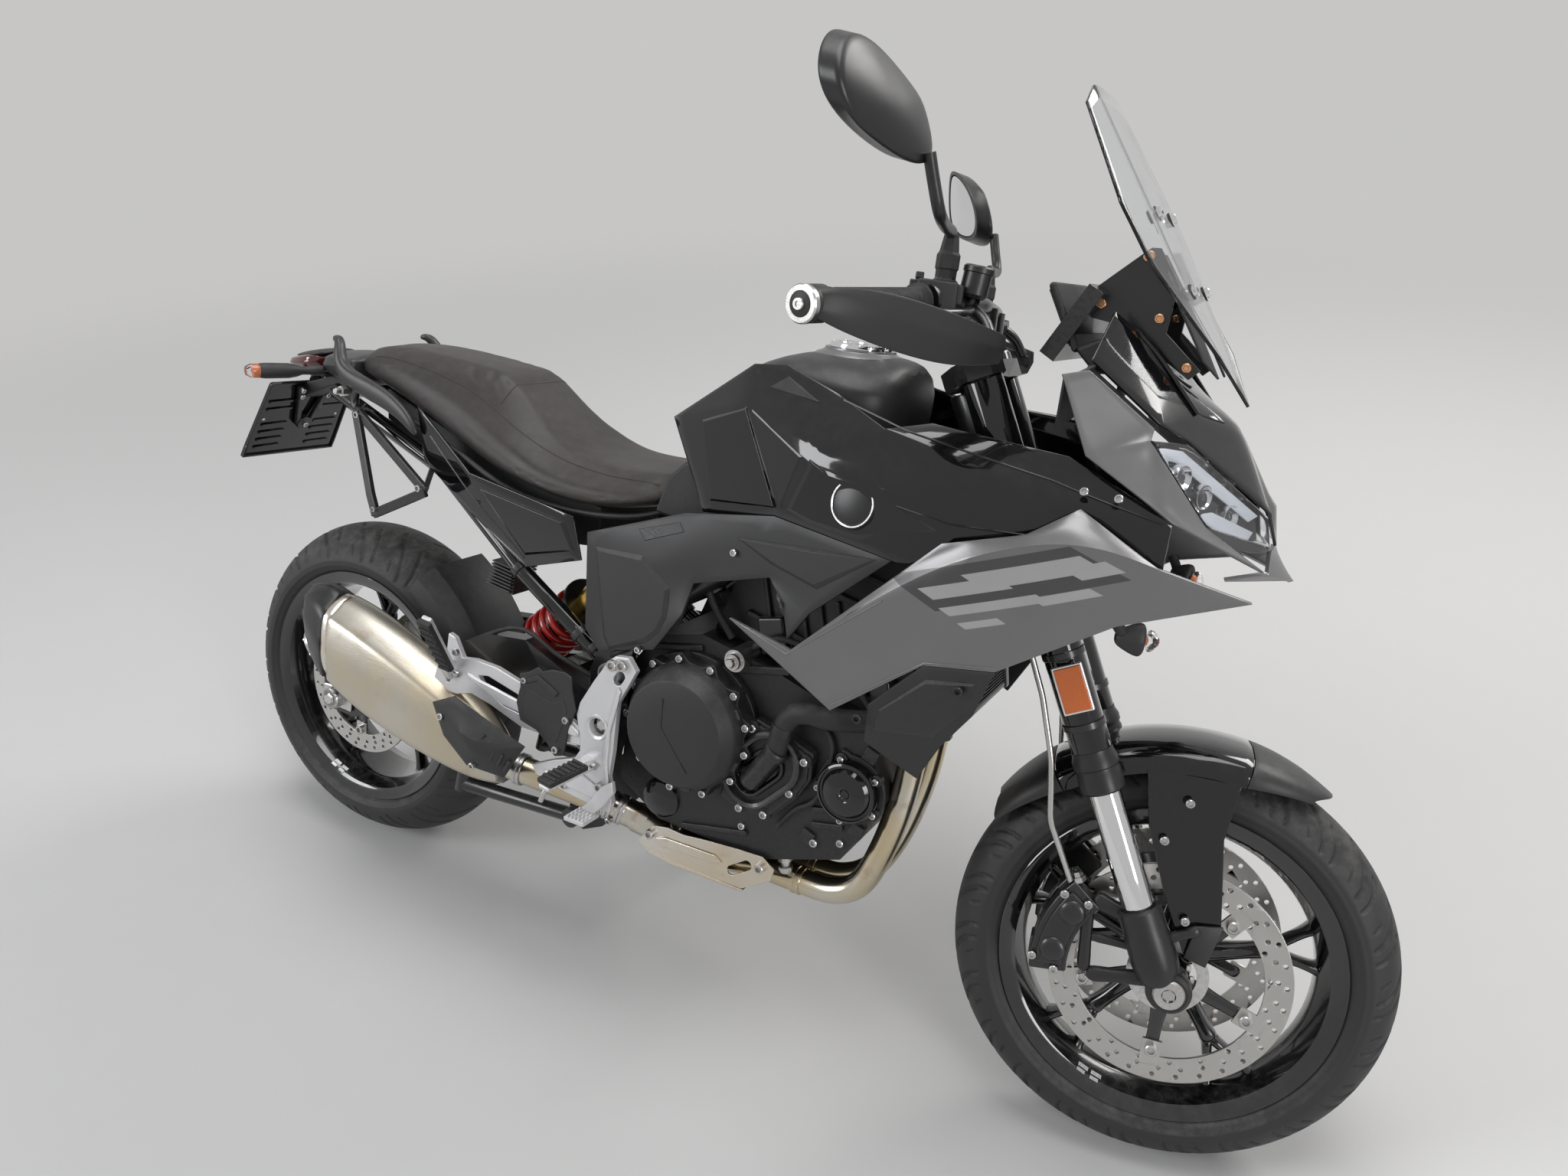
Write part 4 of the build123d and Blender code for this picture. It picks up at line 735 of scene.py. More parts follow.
def axle_end(name, point, out, body, radius=13.0):
    """A silver hollow axle end with a hexagon inside."""
    profile = [(radius * 0.55, 6.0), (radius * 0.62, 8.0), (radius + 4, 8.0), (radius + 6, 5.0),
               (radius + 6, -3.0)]
    lathe(name, point, out, profile, body, STEEL, 36)
    hexagon = turned_rings(point, Vector(out), Vector((0, 0, 1)),
                           [(radius * 0.62, 8.0), (radius * 0.58, 0.5), (0, 0.5)], 6)
    bm = bmesh.new()
    strips(bm, hexagon + [hexagon[0]], closed=False)
    bmesh.ops.remove_doubles(bm, verts=bm.verts, dist=0.01)
    from_bmesh(name + "_hexagon", bm, body, FRAME_BLACK, 20)


axle_end("front_axle_end", FRONT_AXLE + Vector((0, -121, 0)), (0, -1, 0), "steering", 15.0)
axle_end("rear_axle_end", REAR_AXLE + Vector((0, -142, 0)), (0, -1, 0), "chassis", 14.0)

# %% [markdown]
# ## Bodywork
# Real panels are thin skins with crisp folds and slightly crowned faces between them. A flat-faced model
# shows hard facets, so each panel starts as a cage of named corners. Catmull-Clark subdivision crowns the
# faces, creases keep the chosen folds sharp, and a solidify and a small bevel give the moulded edge that
# catches light.


# %% The panel maker
def shell(name, points, patches, body, material, folds="", soft="", thick=4.0, outside=(0, -1, 0.3), level=3,
          bevel=0.9, both=True, angle=34):
    bm = bmesh.new()
    crease_v = bm.verts.layers.float.new("crease_vert")
    crease_e = bm.edges.layers.float.new("crease_edge")
    for side in ((1, -1) if both else (1,)):
        named = {k: bm.verts.new((x, side * y, z)) for k, (x, y, z) in points.items()}
        for patch in patches.split():
            bm.faces.new([named[k] for k in patch][::side])
    faces = [f for f in bm.faces if not both or f.calc_center_median().y < 0]
    facing = sum(f.normal.dot(Vector(outside)) * f.calc_area() for f in faces if not f.normal_update())
    if facing < 0:
        bmesh.ops.reverse_faces(bm, faces=bm.faces)
    bmesh.ops.remove_doubles(bm, verts=bm.verts, dist=0.01)
    at = {tuple(round(c, 1) for c in v.co): v for v in bm.verts}
    find = lambda k, side: at[tuple(round(c, 1) for c in (points[k][0], side * points[k][1], points[k][2]))]
    pinned = {find(k, side) for k in points if k not in soft for side in ((1, -1) if both else (1,))}
    for edge in bm.edges:
        if len(edge.link_faces) == 1:
            edge[crease_e] = 1.0
            for v in edge.verts:
                v[crease_v] = 1.0 if v in pinned else 0.0
    for pair in folds.split():
        strength = float(pair[2:] or 1.0)
        for side in ((1, -1) if both else (1,)):
            edge = bm.edges.get((find(pair[0], side), find(pair[1], side)))
            if edge:
                edge[crease_e] = strength
            else:
                print(name, 'has no edge', pair)
    cage = bpy.data.meshes.new(name)
    bm.to_mesh(cage)
    bm.free()
    holder = bpy.data.objects.new(name, cage)
    bpy.context.scene.collection.objects.link(holder)
    crown = holder.modifiers.new("Crown", "SUBSURF")
    crown.levels, crown.boundary_smooth = level, "ALL"
    bpy.context.view_layer.update()
    smooth = bpy.data.meshes.new_from_object(holder.evaluated_get(bpy.context.evaluated_depsgraph_get()))
    bpy.data.objects.remove(holder)
    bm = bmesh.new()
    bm.from_mesh(smooth)
    sharpen(bm, math.radians(angle))
    bm.to_mesh(smooth)
    bm.free()
    smooth.name = name
    drawn = smooth.attributes.new("drawn", "FLOAT_VECTOR", "POINT")
    places = np.zeros(len(smooth.vertices) * 3, np.float32)
    smooth.vertices.foreach_get("co", places)
    drawn.data.foreach_set("vector", places)
    obj = settle(bpy.data.objects.new(name, smooth), body, material)
    skin = obj.modifiers.new("Thickness", "SOLIDIFY")
    skin.thickness, skin.offset, skin.use_even_offset = thick * MM, -1.0, False
    edge = obj.modifiers.new("Moulded edge", "BEVEL")
    edge.width, edge.segments, edge.limit_method = bevel * MM, 2, "ANGLE"
    edge.angle_limit, edge.harden_normals = math.radians(angle), False
    return obj


print("panel maker ready")

# %% [markdown]
# The big side panel carries a design of slanted bars in two paler greys. It is paint under the lacquer, so
# it is part of the finish: a mask worked out from where each point was drawn, which follows the panel's
# crown exactly.


# %% Painted bars
def bar_mask(tree, x, z, centre, half_long, half_high, tilt, slant):
    """1 inside one slanted bar of the side view, 0 outside."""
    c, s = math.cos(math.radians(tilt)), math.sin(math.radians(tilt))
    shift_x, shift_z = maths(tree, "SUBTRACT", x, centre[0]), maths(tree, "SUBTRACT", z, centre[1])
    u = maths(tree, "ADD", maths(tree, "MULTIPLY", shift_x, c), maths(tree, "MULTIPLY", shift_z, s))
    v = maths(tree, "SUBTRACT", maths(tree, "MULTIPLY", shift_z, c), maths(tree, "MULTIPLY", shift_x, s))
    u = maths(tree, "ABSOLUTE", maths(tree, "MULTIPLY_ADD", v, slant, u))
    inside_u = ramp(tree, maths(tree, "SUBTRACT", half_long, u), -0.4, 0.4)
    inside_v = ramp(tree, maths(tree, "SUBTRACT", half_high, maths(tree, "ABSOLUTE", v)), -0.4, 0.4)
    return maths(tree, "MULTIPLY", inside_u, inside_v)


def paint_bars(material, layers):
    """Lays bars of other colours into a finish, under its wear, painted edge highlight and dust."""
    tree = material.node_tree
    shade = next(n for n in tree.nodes if n.type == "GROUP" and n.node_tree == SHADE)
    drawn = add(tree, "ShaderNodeAttribute", attribute_name="drawn")
    split = add(tree, "ShaderNodeSeparateXYZ")
    tree.links.new(drawn.outputs["Vector"], split.inputs[0])
    colour = tuple(shade.inputs["Colour"].default_value)
    for paint, bars in layers:
        mask = None
        for bar in bars:
            one = bar_mask(tree, split.outputs["X"], split.outputs["Z"], *bar)
            mask = one if mask is None else maths(tree, "MAXIMUM", mask, one)
        colour = mixed(tree, mask, colour, (*paint, 1))
    tree.links.new(colour, shade.inputs["Colour"])


FAIRING_PAINT = finish("Satin granite paint with bars", (0.19, 0.187, 0.19), 0.34, metal=0.6, coat=0.15,
                       grain=1600, depth=0.10, wear_and_edge_highlight=0.1)
paint_bars(FAIRING_PAINT, [
    ((0.085, 0.083, 0.085), [((1268, 852), 118, 27, 21, 1.0)]),
    ((0.42, 0.415, 0.42), [((1226, 832), 52, 8.5, 21, 1.0), ((1302, 868), 72, 11, 21, 1.0),
                           ((1372, 884), 24, 9, 21, 1.0),
                          ((1262, 818), 62, 6.0, 21, 1.0), ((1346, 846), 34, 6.0, 21, 1.0),
                           ((1252, 792), 26, 4.5, 21, 1.0)])])
print("painted design ready")

# %% [markdown]
# Each panel's corners are the frame's own, so the cage fills the same space. Where a fold runs on the real
# panel it is named as a pair of corners, and a number after the pair makes it softer.

# %% Panels
GREY_WING = {"a": (880, -205, 700), "b": (988, -222, 684), "c": (1189, -248, 880), "d": (1288, -246, 911),
             "e": (1342, -226, 949), "k": (1194, -258, 866), "l": (1349, -264, 926), "m": (1440, -222, 896),
             "f": (1540, -160, 864), "g": (1404, -212, 817), "h": (1276, -238, 733), "i": (1184, -238, 718),
             "j": (1054, -215, 612)}
fairing = shell("side_fairing_skins", GREY_WING, "abj bkj kij klhi lmgh mfg bck cdlk del eml", "chassis",
                FAIRING_PAINT,
                "bk kl lm bj0.9 mf em0.8", thick=4.6)
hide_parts("side_fairings")

TANK_SIDE = {"a": (699, -105, 951), "b": (790, -150, 828), "c": (839, -152, 991), "d": (926, -186, 855),
             "e": (976, -203, 949), "g": (896, -135, 1054), "h": (845, -133, 1049), "i": (984, -155, 1030),
             "j": (1074, -190, 998), "k": (1317, -228, 948), "l": (1127, -165, 1011), "m": (1312, -195, 1002),
             "n": (1440, -185, 945), "p": (1125, -222, 837), "t": (1180, -230, 900), "w": (1290, -224, 860),
             "x": (1440, -192, 885)}
tank = shell("tank_side_skins", TANK_SIDE, "acb cdb ahc hgec gie eij edc jlmk jkte tpe pde tkwp knxw kmn",
             "chassis",
             GLOSS_BLACK, "ac cb cd ed0.9 ce0.9 ej0.6 jk kn lj0.6 et0.8 hc0.5", thick=4.6)
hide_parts("tank_side_panels")

LOWER_SIDE = {"a": (590, -158, 760), "b": (770, -166, 826), "c": (926, -187, 854.4),
              "d": (1116, -219.5, 837.2),
              "e": (1003, -206, 736), "f": (974, -206, 692), "g": (960, -202, 740), "h": (930, -190, 768),
              "i": (800, -178, 728), "j": (790, -188, 680), "k": (742, -184, 612), "l": (632, -172, 580),
              "m": (598, -162, 606), "n": (718, -178, 766)}
lower = shell("lower_side_skins", LOWER_SIDE, "abn bcin chi cdeh hefg anm nijklm", "chassis", MATTE_GREY,
              "ni0.8 nm0.6 he", thick=4.6)
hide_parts("lower_side_panels")

NOSE_SIDE = {"a": (1290, -204, 1096), "b": (1316, -186, 1103), "c": (1396, -158, 1044),
             "d": (1334, -210, 1008),
             "e": (1440, -188, 945), "f": (1470, -121, 934), "g": (1540, -66, 884), "h": (1396, -171, 1031)}
nose = shell("nose_side_skins", NOSE_SIDE, "abcd chd hed hfe fge", "chassis", SATIN_GREY, "ch hf0.7 hd0.5",
             thick=4.0)
BEAK = {"a": (1545, -62, 880), "b": (1541, -26, 904), "c": (1572, 0, 866), "d": (1500, -92, 868),
        "k": (1541, 0, 904)}
beak = shell("beak_skin", BEAK, "abkc acd", "chassis", SATIN_GREY, "ac", thick=6.0, outside=(0.6, 0, 1))
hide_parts("nose_panels")
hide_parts("nose_panels")

COWL = {"a": (1318, -108, 1170), "b": (1313, -168, 1114), "c": (1396, -140, 1050), "d": (1430, -70, 1056),
        "e": (1352, -74, 1143), "f": (1430, -108, 1030), "g": (1532, -34, 950), "h": (1474, 0, 1048),
        "i": (1350, 0, 1120), "j": (1544, 0, 906)}
cowl = shell("nose_cowl_skin", COWL, "abce ecd dcf edhi dfgh hgj", "chassis", GLOSS_BLACK,
             "ec cd ed fg dh0.6 hg0.4",
             thick=4.0, outside=(1, 0, 0.5))
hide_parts("nose_cowl")

TAIL = {"a": (195, -122, 896), "b": (215, -126, 806), "c": (332, -142, 806), "d": (558, -154, 778),
        "e": (580, -158, 712), "f": (448, -134, 668), "g": (330, -132, 735)}
tail = shell("tail_skins", TAIL, "abgc cgfed", "chassis", GLOSS_BLACK, "cg", thick=4.0)
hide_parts("tail_panels")

SHROUD = {"a": (1112, -226, 640), "b": (1184, -238, 717.4), "c": (1276, -238, 732.4), "d": (1256, -238, 668),
          "e": (1216, -220, 608), "f": (1186, -206, 548), "g": (1108, -214, 582)}
shroud = shell("radiator_shroud_skins", SHROUD, "abg bcd bdg deg efg", "chassis", MOULDED, "eg0.8 de0.8",
               thick=5.0)
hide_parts("radiator_shrouds")
print("panels made")

# %% [markdown]
# The tank's top cover is one smooth dark grey moulding with a raised rim round the filler. It is skinned
# over rounded sections of its own, between which the subdivision flows.


# %% Tank cover, filler ring and lid
def lofted(name, sections, body, material, level=2, creased=(), bevel=0.0, caps=True):
    """A closed body skinned over half sections of (y, z) points at each x, then smoothed."""
    bm = bmesh.new()
    rings = []
    for x, half in sections:
        ring = [Vector((x, -y, z)) for y, z in half] + [Vector((x, y, z)) for y, z in reversed(half) if y > 0]
        rings.append(ring)
    rows = strips(bm, rings, caps=caps)
    layer = bm.edges.layers.float.new("crease_edge")
    for near, far in zip(rows, rows[1:]):
        for index in creased:
            for i in (index, len(near) - index):
                edge = bm.edges.get((near[i % len(near)], far[i % len(near)]))
                if edge:
                    edge[layer] = 0.8
    obj = from_bmesh(name, bm, body, material, 70)
    smooth = obj.modifiers.new("Smooth form", "SUBSURF")
    smooth.levels = smooth.render_levels = level
    return obj


cover = lofted("tank_cover_form", [
    (690, [(0, 946), (40, 945), (84, 944), (98, 938), (98, 900), (0, 900)]),
    (760, [(0, 1008), (44, 1006), (96, 1000), (114, 988), (114, 910), (0, 910)]),
    (840, [(0, 1062), (46, 1060), (100, 1056), (122, 1040), (122, 930), (0, 930)]),
    (900, [(0, 1072), (50, 1071), (108, 1062), (130, 1040), (130, 930), (0, 930)]),
    (960, [(0, 1076), (52, 1074), (112, 1058), (132, 1034), (132, 930), (0, 930)]),
    (1010, [(0, 1074), (48, 1070), (94, 1052), (118, 1026), (116, 930), (0, 930)]),
    (1046, [(0, 1066), (40, 1060), (70, 1046), (84, 1024), (84, 960), (0, 960)])], "chassis", MATTE_GREY,
               2, (3,))
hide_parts("tank_cover")
FILLER = Vector((944, 0, 1079))
ring = [(30, -14), (30, -1.0), (46.5, -0.6), (48.5, 0.0), (51.5, -0.6), (52, -3), (56, -6), (64, -9),
        (70, -16), (30, -16)]
lathe("filler_surround", FILLER, (0, 0, 1), ring, "chassis", SATIN_GREY, 64)
lid = [(0, 3.2), (26, 3.4), (34, 3.0), (36, 6.4), (41, 7.8), (44, 7.2), (45, 5.4), (45, 0.4), (0, 0.4)]
cap = lathe("fuel_cap_lid", FILLER, (0, 0, 1), lid, "fuel_cap", CHROME, 64)
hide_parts("fuel_cap")
plate("fuel_cap_tongue", [([(978, 1083.4), (992, 1083.4), (992, 1086.6), (978, 1086.6)], -10, 10)],
      "fuel_cap", CHROME, 1.2)
ring_of = [(FILLER + Vector((40 * math.cos(a), 40 * math.sin(a), 6.2)), (0, 0, 1), 2.6)
           for a in (math.radians(30 + 60 * k) for k in range(6))]
bolts("fuel_cap_screws", ring_of, "fuel_cap", STEEL)
lathe("fuel_cap_lock", FILLER + Vector((0, 0, 3)), (0, 0, 1), [(0, 2.6), (9, 2.6), (10, 1.6), (10, 0),
        (0, 0)], "fuel_cap",
      SMOOTH_PLASTIC, 32)

# %% [markdown]
# A round badge sits in a dished recess on each tank flank. Here it stays bare: a plain domed disc in a thin
# ring.


# %% Bare badges and panel screws
for side, tag in SIDES:
    out = Vector((-0.10, side, 0.16)).normalized()
    centre = Vector((1052, side * 213.0, 899))
    badge = [(0, 4.6), (18, 4.0), (27, 2.0), (28.5, 3.0), (31.5, 3.2), (33.5, 0.5), (34, -5), (0, -5)]
    lathe("bare_badge_" + tag, centre, out, badge, "chassis", SMOOTH_PLASTIC, 64)
    lathe("badge_rim_" + tag, centre, out, [(28.2, 2.4), (29.4, 3.6), (31.0, 3.6), (31.8, 2.6), (28.2, 2.4)],
          "chassis",
          STEEL, 64)
screw_spots = []
for x, y, z, out in ((868, -186, 790, (0, -1, 0.1)), (1342, -222, 968, (0, -1, 0.5)),
                     (1380, -212, 965, (0, -1, 0.5)),
                     (716, -185, 606, (0, -1, -0.1))):
    for side in (1, -1):
        screw_spots.append(((x, side * y, z), (out[0], side * out[1], out[2]), 5.2))
bolts("panel_screws", screw_spots, "chassis", STEEL)
bolts("shroud_screws", [(p, (0.1, -1 if p[1] < 0 else 1, 0), 6.5)
                        for p in both_sides([(1102, -231, 620), (1236, -243, 699)])],
      "chassis", SMOOTH_PLASTIC)

# %% [markdown]
# ## Front end
# Upside-down forks: gloss black outer tubes above, polished inner tubes below, in cast feet that carry the
# axle and the radial calipers. Turned parts are lathe profiles along the leg, and castings are rounded
# limbs.


# %% Fork legs
def leg(side, height):
    return fork(LEG_OFFSET, side * LEG_SPREAD, height)


for node, material in (("fork_outer_tubes", GLOSS_BLACK), ("fork_inner_tubes", CHROME), ("front_axle", STEEL),
                       ("triple_clamps", FRAME_BLACK)):
    dress(node, material, 0.8)
for side, tag in SIDES:
    collar = [(22, 0), (27.6, 0), (29.6, 3), (29.6, 26), (28.4, 29), (28.4, 33), (30.4, 35), (30.4, 44),
              (27.4, 52), (27.4, 58)]
    lathe("fork_seal_" + tag, leg(side, 284), FORK_UP, collar, "steering", SMOOTH_PLASTIC, 56)
    band = [(27.2, 0), (28.6, 1), (28.6, 9), (27.2, 10)]
    for k, height in enumerate((372, 470, 585)):
        lathe(f"fork_band_{tag}_{k}", leg(side, height), FORK_UP, band, "steering", FRAME_BLACK, 48)
    sleeve = [(21.8, 117), (25, 119), (28.6, 116), (29.4, 108), (29.4, 84), (30.6, 78), (31.2, 40), (29, 18),
              (20, 6)]
    lathe("fork_foot_sleeve_" + tag, leg(side, 0), FORK_UP, sleeve, "steering", SMOOTH_PLASTIC, 48)
    cap = [(0, 9), (9, 9), (10, 7), (17, 7), (19, 4), (24, 3), (26, 0), (26, -4)]
    lathe("fork_cap_" + tag, leg(side, 886), FORK_UP, cap, "steering", STEEL, 48)

# %% [markdown]
# The cast foot is a sleeve, an axle clamp and an open truss to the caliper. Bars with a waist, rounded by
# subdivision, read as one casting because they overlap and share one finish.


# %% Cast feet and calipers
def cast_bars(name, bars, body, material, level=2):
    bm = bmesh.new()
    for start, end, sections in bars:
        limb(bm, Vector(start), Vector(end), sections)
    obj = from_bmesh(name, bm, body, material, 60)
    smoothed(obj, level)
    return obj


def caliper_shape(inner, outer, start, end, steps=8):
    """Part of a ring about the axle, between two radii and two angles in degrees."""
    angles = [math.radians(start + (end - start) * i / steps) for i in range(steps + 1)]
    near = [(inner * math.cos(a), inner * math.sin(a)) for a in angles]
    far = [(outer * math.cos(a), outer * math.sin(a)) for a in angles]
    return near + far[::-1]


FORK_FRAME = Matrix.Translation(FRONT_AXLE) @ Matrix((FORK_ACROSS, (0, 1, 0), FORK_UP)).transposed().to_4x4()
straight = [(0, 1.0), (0.35, 0.72), (0.7, 0.72), (1, 1.0)]


def fork_foot(side, tag):
    """The cast foot of one leg: sleeve to axle clamp, with the truss that carries the caliper."""
    y = side * LEG_SPREAD
    web = lambda wide, deep: [(share, wide * k, deep, 0) for share, k in straight]
    cast_bars("fork_foot_" + tag, [
        (fork(LEG_OFFSET, y, 70), fork(0, y, 4), [(0, 56, 50, 0), (0.5, 52, 46, 0), (1, 62, 42, 0)]),
        (fork(-8, y - side * 4, 92), fork(-64, y - side * 8, 138), web(34, 16)),
        (fork(-14, y - side * 4, 12), fork(-104, y - side * 8, 34), web(30, 16)),
        (fork(-66, y - side * 8, 142), fork(-106, y - side * 8, 34), web(24, 14)),
        (fork(-6, y - side * 4, 50), fork(-84, y - side * 8, 86), web(18, 12)),
        (fork(8, y, 66), fork(62, side * 96, 68), web(20, 14))], "steering", SMOOTH_PLASTIC)
    boss = [(13.6, -20.5), (24, -20.5), (28.5, -17), (30, -12), (30, 12), (28.5, 18), (24, 20.5),
            (13.6, 20.5)]
    lathe("axle_clamp_" + tag, FRONT_AXLE + Vector((0, side * 104.5, 0)), (0, 1, 0), boss, "steering",
          SMOOTH_PLASTIC, 48)


def front_caliper(side, tag):
    outer_y, inner_y = side * 107.0, side * 77.5
    lower, upper = min(outer_y, inner_y), max(outer_y, inner_y)
    bridge_y = sorted((side * 46.0, side * 78.0))
    body_piece = plate("caliper_body_" + tag, [
        (caliper_shape(134, 184, 115, 162), lower + (4 if side < 0 else 0), upper - (0 if side < 0 else 4)),
        (caliper_shape(140, 176, 119, 158), lower, upper),
        (caliper_shape(170, 187, 117, 126), *bridge_y), (caliper_shape(170, 187, 151, 160), *bridge_y),
        (caliper_shape(168, 184, 134, 143), *bridge_y),
        (caliper_shape(134, 184, 115, 162), *sorted((side * 45.5, side * 57.5)))],
        "steering", FRAME_BLACK, 3.0, FORK_FRAME)
    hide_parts("fork_feet_and_calipers")
    for k, angle in enumerate((127.0, 149.5)):
        a = math.radians(angle)
        centre = fork(156 * math.cos(a), outer_y, 156 * math.sin(a))
        dome = [(0, 5.2), (10, 5.0), (15, 3.4), (17.5, 0.6), (18, -3)]
        lathe(f"caliper_piston_boss_{tag}_{k}", centre, (0, side, 0), dome, "steering", FRAME_BLACK, 40)
    spots = []
    for angle, r in ((117.5, 150), (160, 150), (122, 181), (155, 181)):
        a = math.radians(angle)
        spots.append((fork(r * math.cos(a), outer_y - side * 1.0, r * math.sin(a)), (0, side, 0), 6.0))
    bolts("caliper_bolts_" + tag, spots, "steering", STEEL)
    a = math.radians(116)
    banjo = fork(178 * math.cos(a) + 4, side * 94, 178 * math.sin(a) + 6)
    lathe("hose_banjo_" + tag, banjo, FORK_UP, [(0, 10), (6, 10), (7, 8), (7, 3), (9.5, 3), (9.5, -4),
                                                (0, -4)], "steering",
          STEEL, 6, 20)
    clamp_spots = [(fork(30, side * 96, 2 + 16 * k), (1, 0, 0), 5.0) for k in (0, 1)]
    bolts("axle_pinch_bolts_" + tag, clamp_spots, "steering", STEEL)


for side, tag in SIDES:
    fork_foot(side, tag)
    front_caliper(side, tag)
dress("front_brake_hoses", STEEL)

# %% [markdown]
# Each leg has an amber reflector. Its prisms are a fine grid of pyramids under a smooth skin, which a
# checked bump suggests well enough at this size.


# %% Reflectors and lamp lenses
def clear_plastic(name, colour, rough=0.05, ior=1.49, specular=0.5):
    material = bpy.data.materials.new(name)
    material.use_nodes = True
    tree = material.node_tree
    shader = tree.nodes["Principled BSDF"]
    shader.inputs["Transmission Weight"].default_value, shader.inputs["IOR"].default_value = 1.0, ior
    place = add(tree, "ShaderNodeTexCoord").outputs["Object"]
    smear = ramp(tree, noise(tree, place, 30.0, 5.0, 0.7), 0.3, 0.8)
    tree.links.new(maths(tree, "MULTIPLY_ADD", smear, 0.05, rough), shader.inputs["Roughness"])
    cloud = ramp(tree, noise(tree, place, 9.0), 0.2, 0.9)
    tree.links.new(mixed(tree, cloud, (*colour, 1), (*(c * 0.94 for c in colour), 1)),
                   shader.inputs["Base Color"])
    return material


def amber():
    material = finish("Amber prism plastic", (0.72, 0.15, 0.012), 0.16, coat=0.8, wear_and_edge_highlight=0.0, dust=0.02,
                      varied=0.25)
    tree = material.node_tree
    checks = add(tree, "ShaderNodeTexVoronoi", feature="F1", distance="CHEBYCHEV")
    checks.inputs["Scale"].default_value, checks.inputs["Randomness"].default_value = 330, 0.0
    tree.links.new(add(tree, "ShaderNodeTexCoord").outputs["Object"], checks.inputs["Vector"])
    bump = add(tree, "ShaderNodeBump")
    bump.inputs["Strength"].default_value, bump.inputs["Distance"].default_value = 0.8, 0.001
    tree.links.new(checks.outputs["Distance"], bump.inputs["Height"])
    tree.links.new(bump.outputs[0], tree.nodes["Principled BSDF"].inputs["Normal"])
    return material


AMBER = amber()
CLEAR = clear_plastic("Clear lamp plastic", (0.97, 0.98, 1.0))
SCREEN_CLEAR = clear_plastic("Clear screen", (0.93, 0.95, 0.96), 0.012)
for side, tag in SIDES:
    out = (FORK_ACROSS * 0.12 + Vector((0, side, 0))).normalized()
    at = Matrix.Translation(fork(LEG_OFFSET + 2, side * 138, 432))
    frame_at = at @ Matrix((FORK_ACROSS, (0, 1, 0), FORK_UP)).transposed().to_4x4()
    for part, w, h, near, far, material, bevel in (
            ("reflector_frame_", 20, 33, -4.0, 1.0, CHROME, 2.0),
                                                   ("reflector_", 17.5, 30, 0.0, 3.4, AMBER, 1.5),
            ("reflector_bracket_", 12, 10, -12.0, -3.0, FRAME_BLACK, 1.5)):
        slab = ([(-w, -h), (w, -h), (w, h), (-w, h)], *sorted((side * near, side * far)))
        plate(part + tag, [slab], "steering", material, bevel, frame_at)

# %% [markdown]
# The mudguard follows the tyre on an arc. Its middle is gloss black, and both ends are matte grey with
# their own seam, so it is three bands of one surface. The bands narrow towards the tips, as the moulding
# does.


# %% Front mudguard
def guard_band(name, start, end, material, thick=3.5, steps=14):
    """A band of the mudguard, between two angles in degrees from the top of the wheel."""
    across = [(-1.0, -26), (-0.985, -16), (-0.93, -4), (-0.80, 3), (-0.54, 8.2), (-0.25, 9.6), (0, 10.6)]
    across += [(-w, h) for w, h in across[-2::-1]]
    bm = bmesh.new()
    rings = []
    for k in range(steps + 1):
        phi = start + (end - start) * k / steps
        tip = max(0.0, (phi - 8) / 21, (-36 - phi) / 21)
        wide = 73.5 * (1 - 0.40 * tip ** 2)
        ring = []
        for w, h in across:
            fall = (h if h > 0 else h * (1 - 0.72 * tip))
            r = 314 + fall - 3.0 * tip ** 2
            a = math.radians(phi + (1.5 - 5.0 * abs(w) ** 2) * tip)
            ring.append(Vector((1521 + r * math.sin(a), w * wide, 300 + r * math.cos(a))))
        rings.append(ring)
    strips(bm, rings, closed=False)
    obj = from_bmesh(name, bm, "steering", material, 40)
    skin = obj.modifiers.new("Thickness", "SOLIDIFY")
    skin.thickness, skin.offset = thick * MM, 0.0
    edge = obj.modifiers.new("Moulded edge", "BEVEL")
    edge.width, edge.segments, edge.limit_method, edge.angle_limit = 0.7 * MM, 2, "ANGLE", math.radians(50)
    return obj


gloss = guard_band("mudguard_middle", -38.0, 9.0, GLOSS_BLACK, 3.5, 24)
guard_band("mudguard_front_tip", 9.25, 28.6, MATTE_GREY)
guard_band("mudguard_rear_tip", -56.6, -38.25, MATTE_GREY)
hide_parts("front_fender")
LEG_COVER = {"a": (1440, -74, 586), "b": (1560, -74, 588), "c": (1552, -82, 512), "d": (1572, -86, 392),
             "e": (1560, -92, 338), "f": (1532, -94, 346), "g": (1492, -96, 425), "h": (1456, -94, 513)}
shell("mudguard_legs", LEG_COVER, "abch hcdg gdef", "steering", GLOSS_BLACK, "hc0.3 gd0.3", thick=5.0,
      level=3)
TIP = {"a": (1540, -100, 392), "b": (1574, -92, 396), "c": (1562, -96, 336), "d": (1532, -99, 344)}
shell("mudguard_leg_tips", TIP, "abcd", "steering", MATTE_GREY, thick=5.0, level=1)
spots = [(p, (0, -1 if p[1] < 0 else 1, 0), 6.0)
         for p in both_sides([(1478, -99, 500), (1524, -99, 396), (1500, -94, 556)])]
bolts("mudguard_screws", spots, "steering", STEEL)
print("mudguard made")

# %% [markdown]
# ## Cockpit
# Bar, grips, switch boxes, levers, guards and mirrors all turn with the forks. Moulded forms here are soft,
# so the guards and mirror heads are crowned shells, and the grips are lathe profiles with moulded rings.


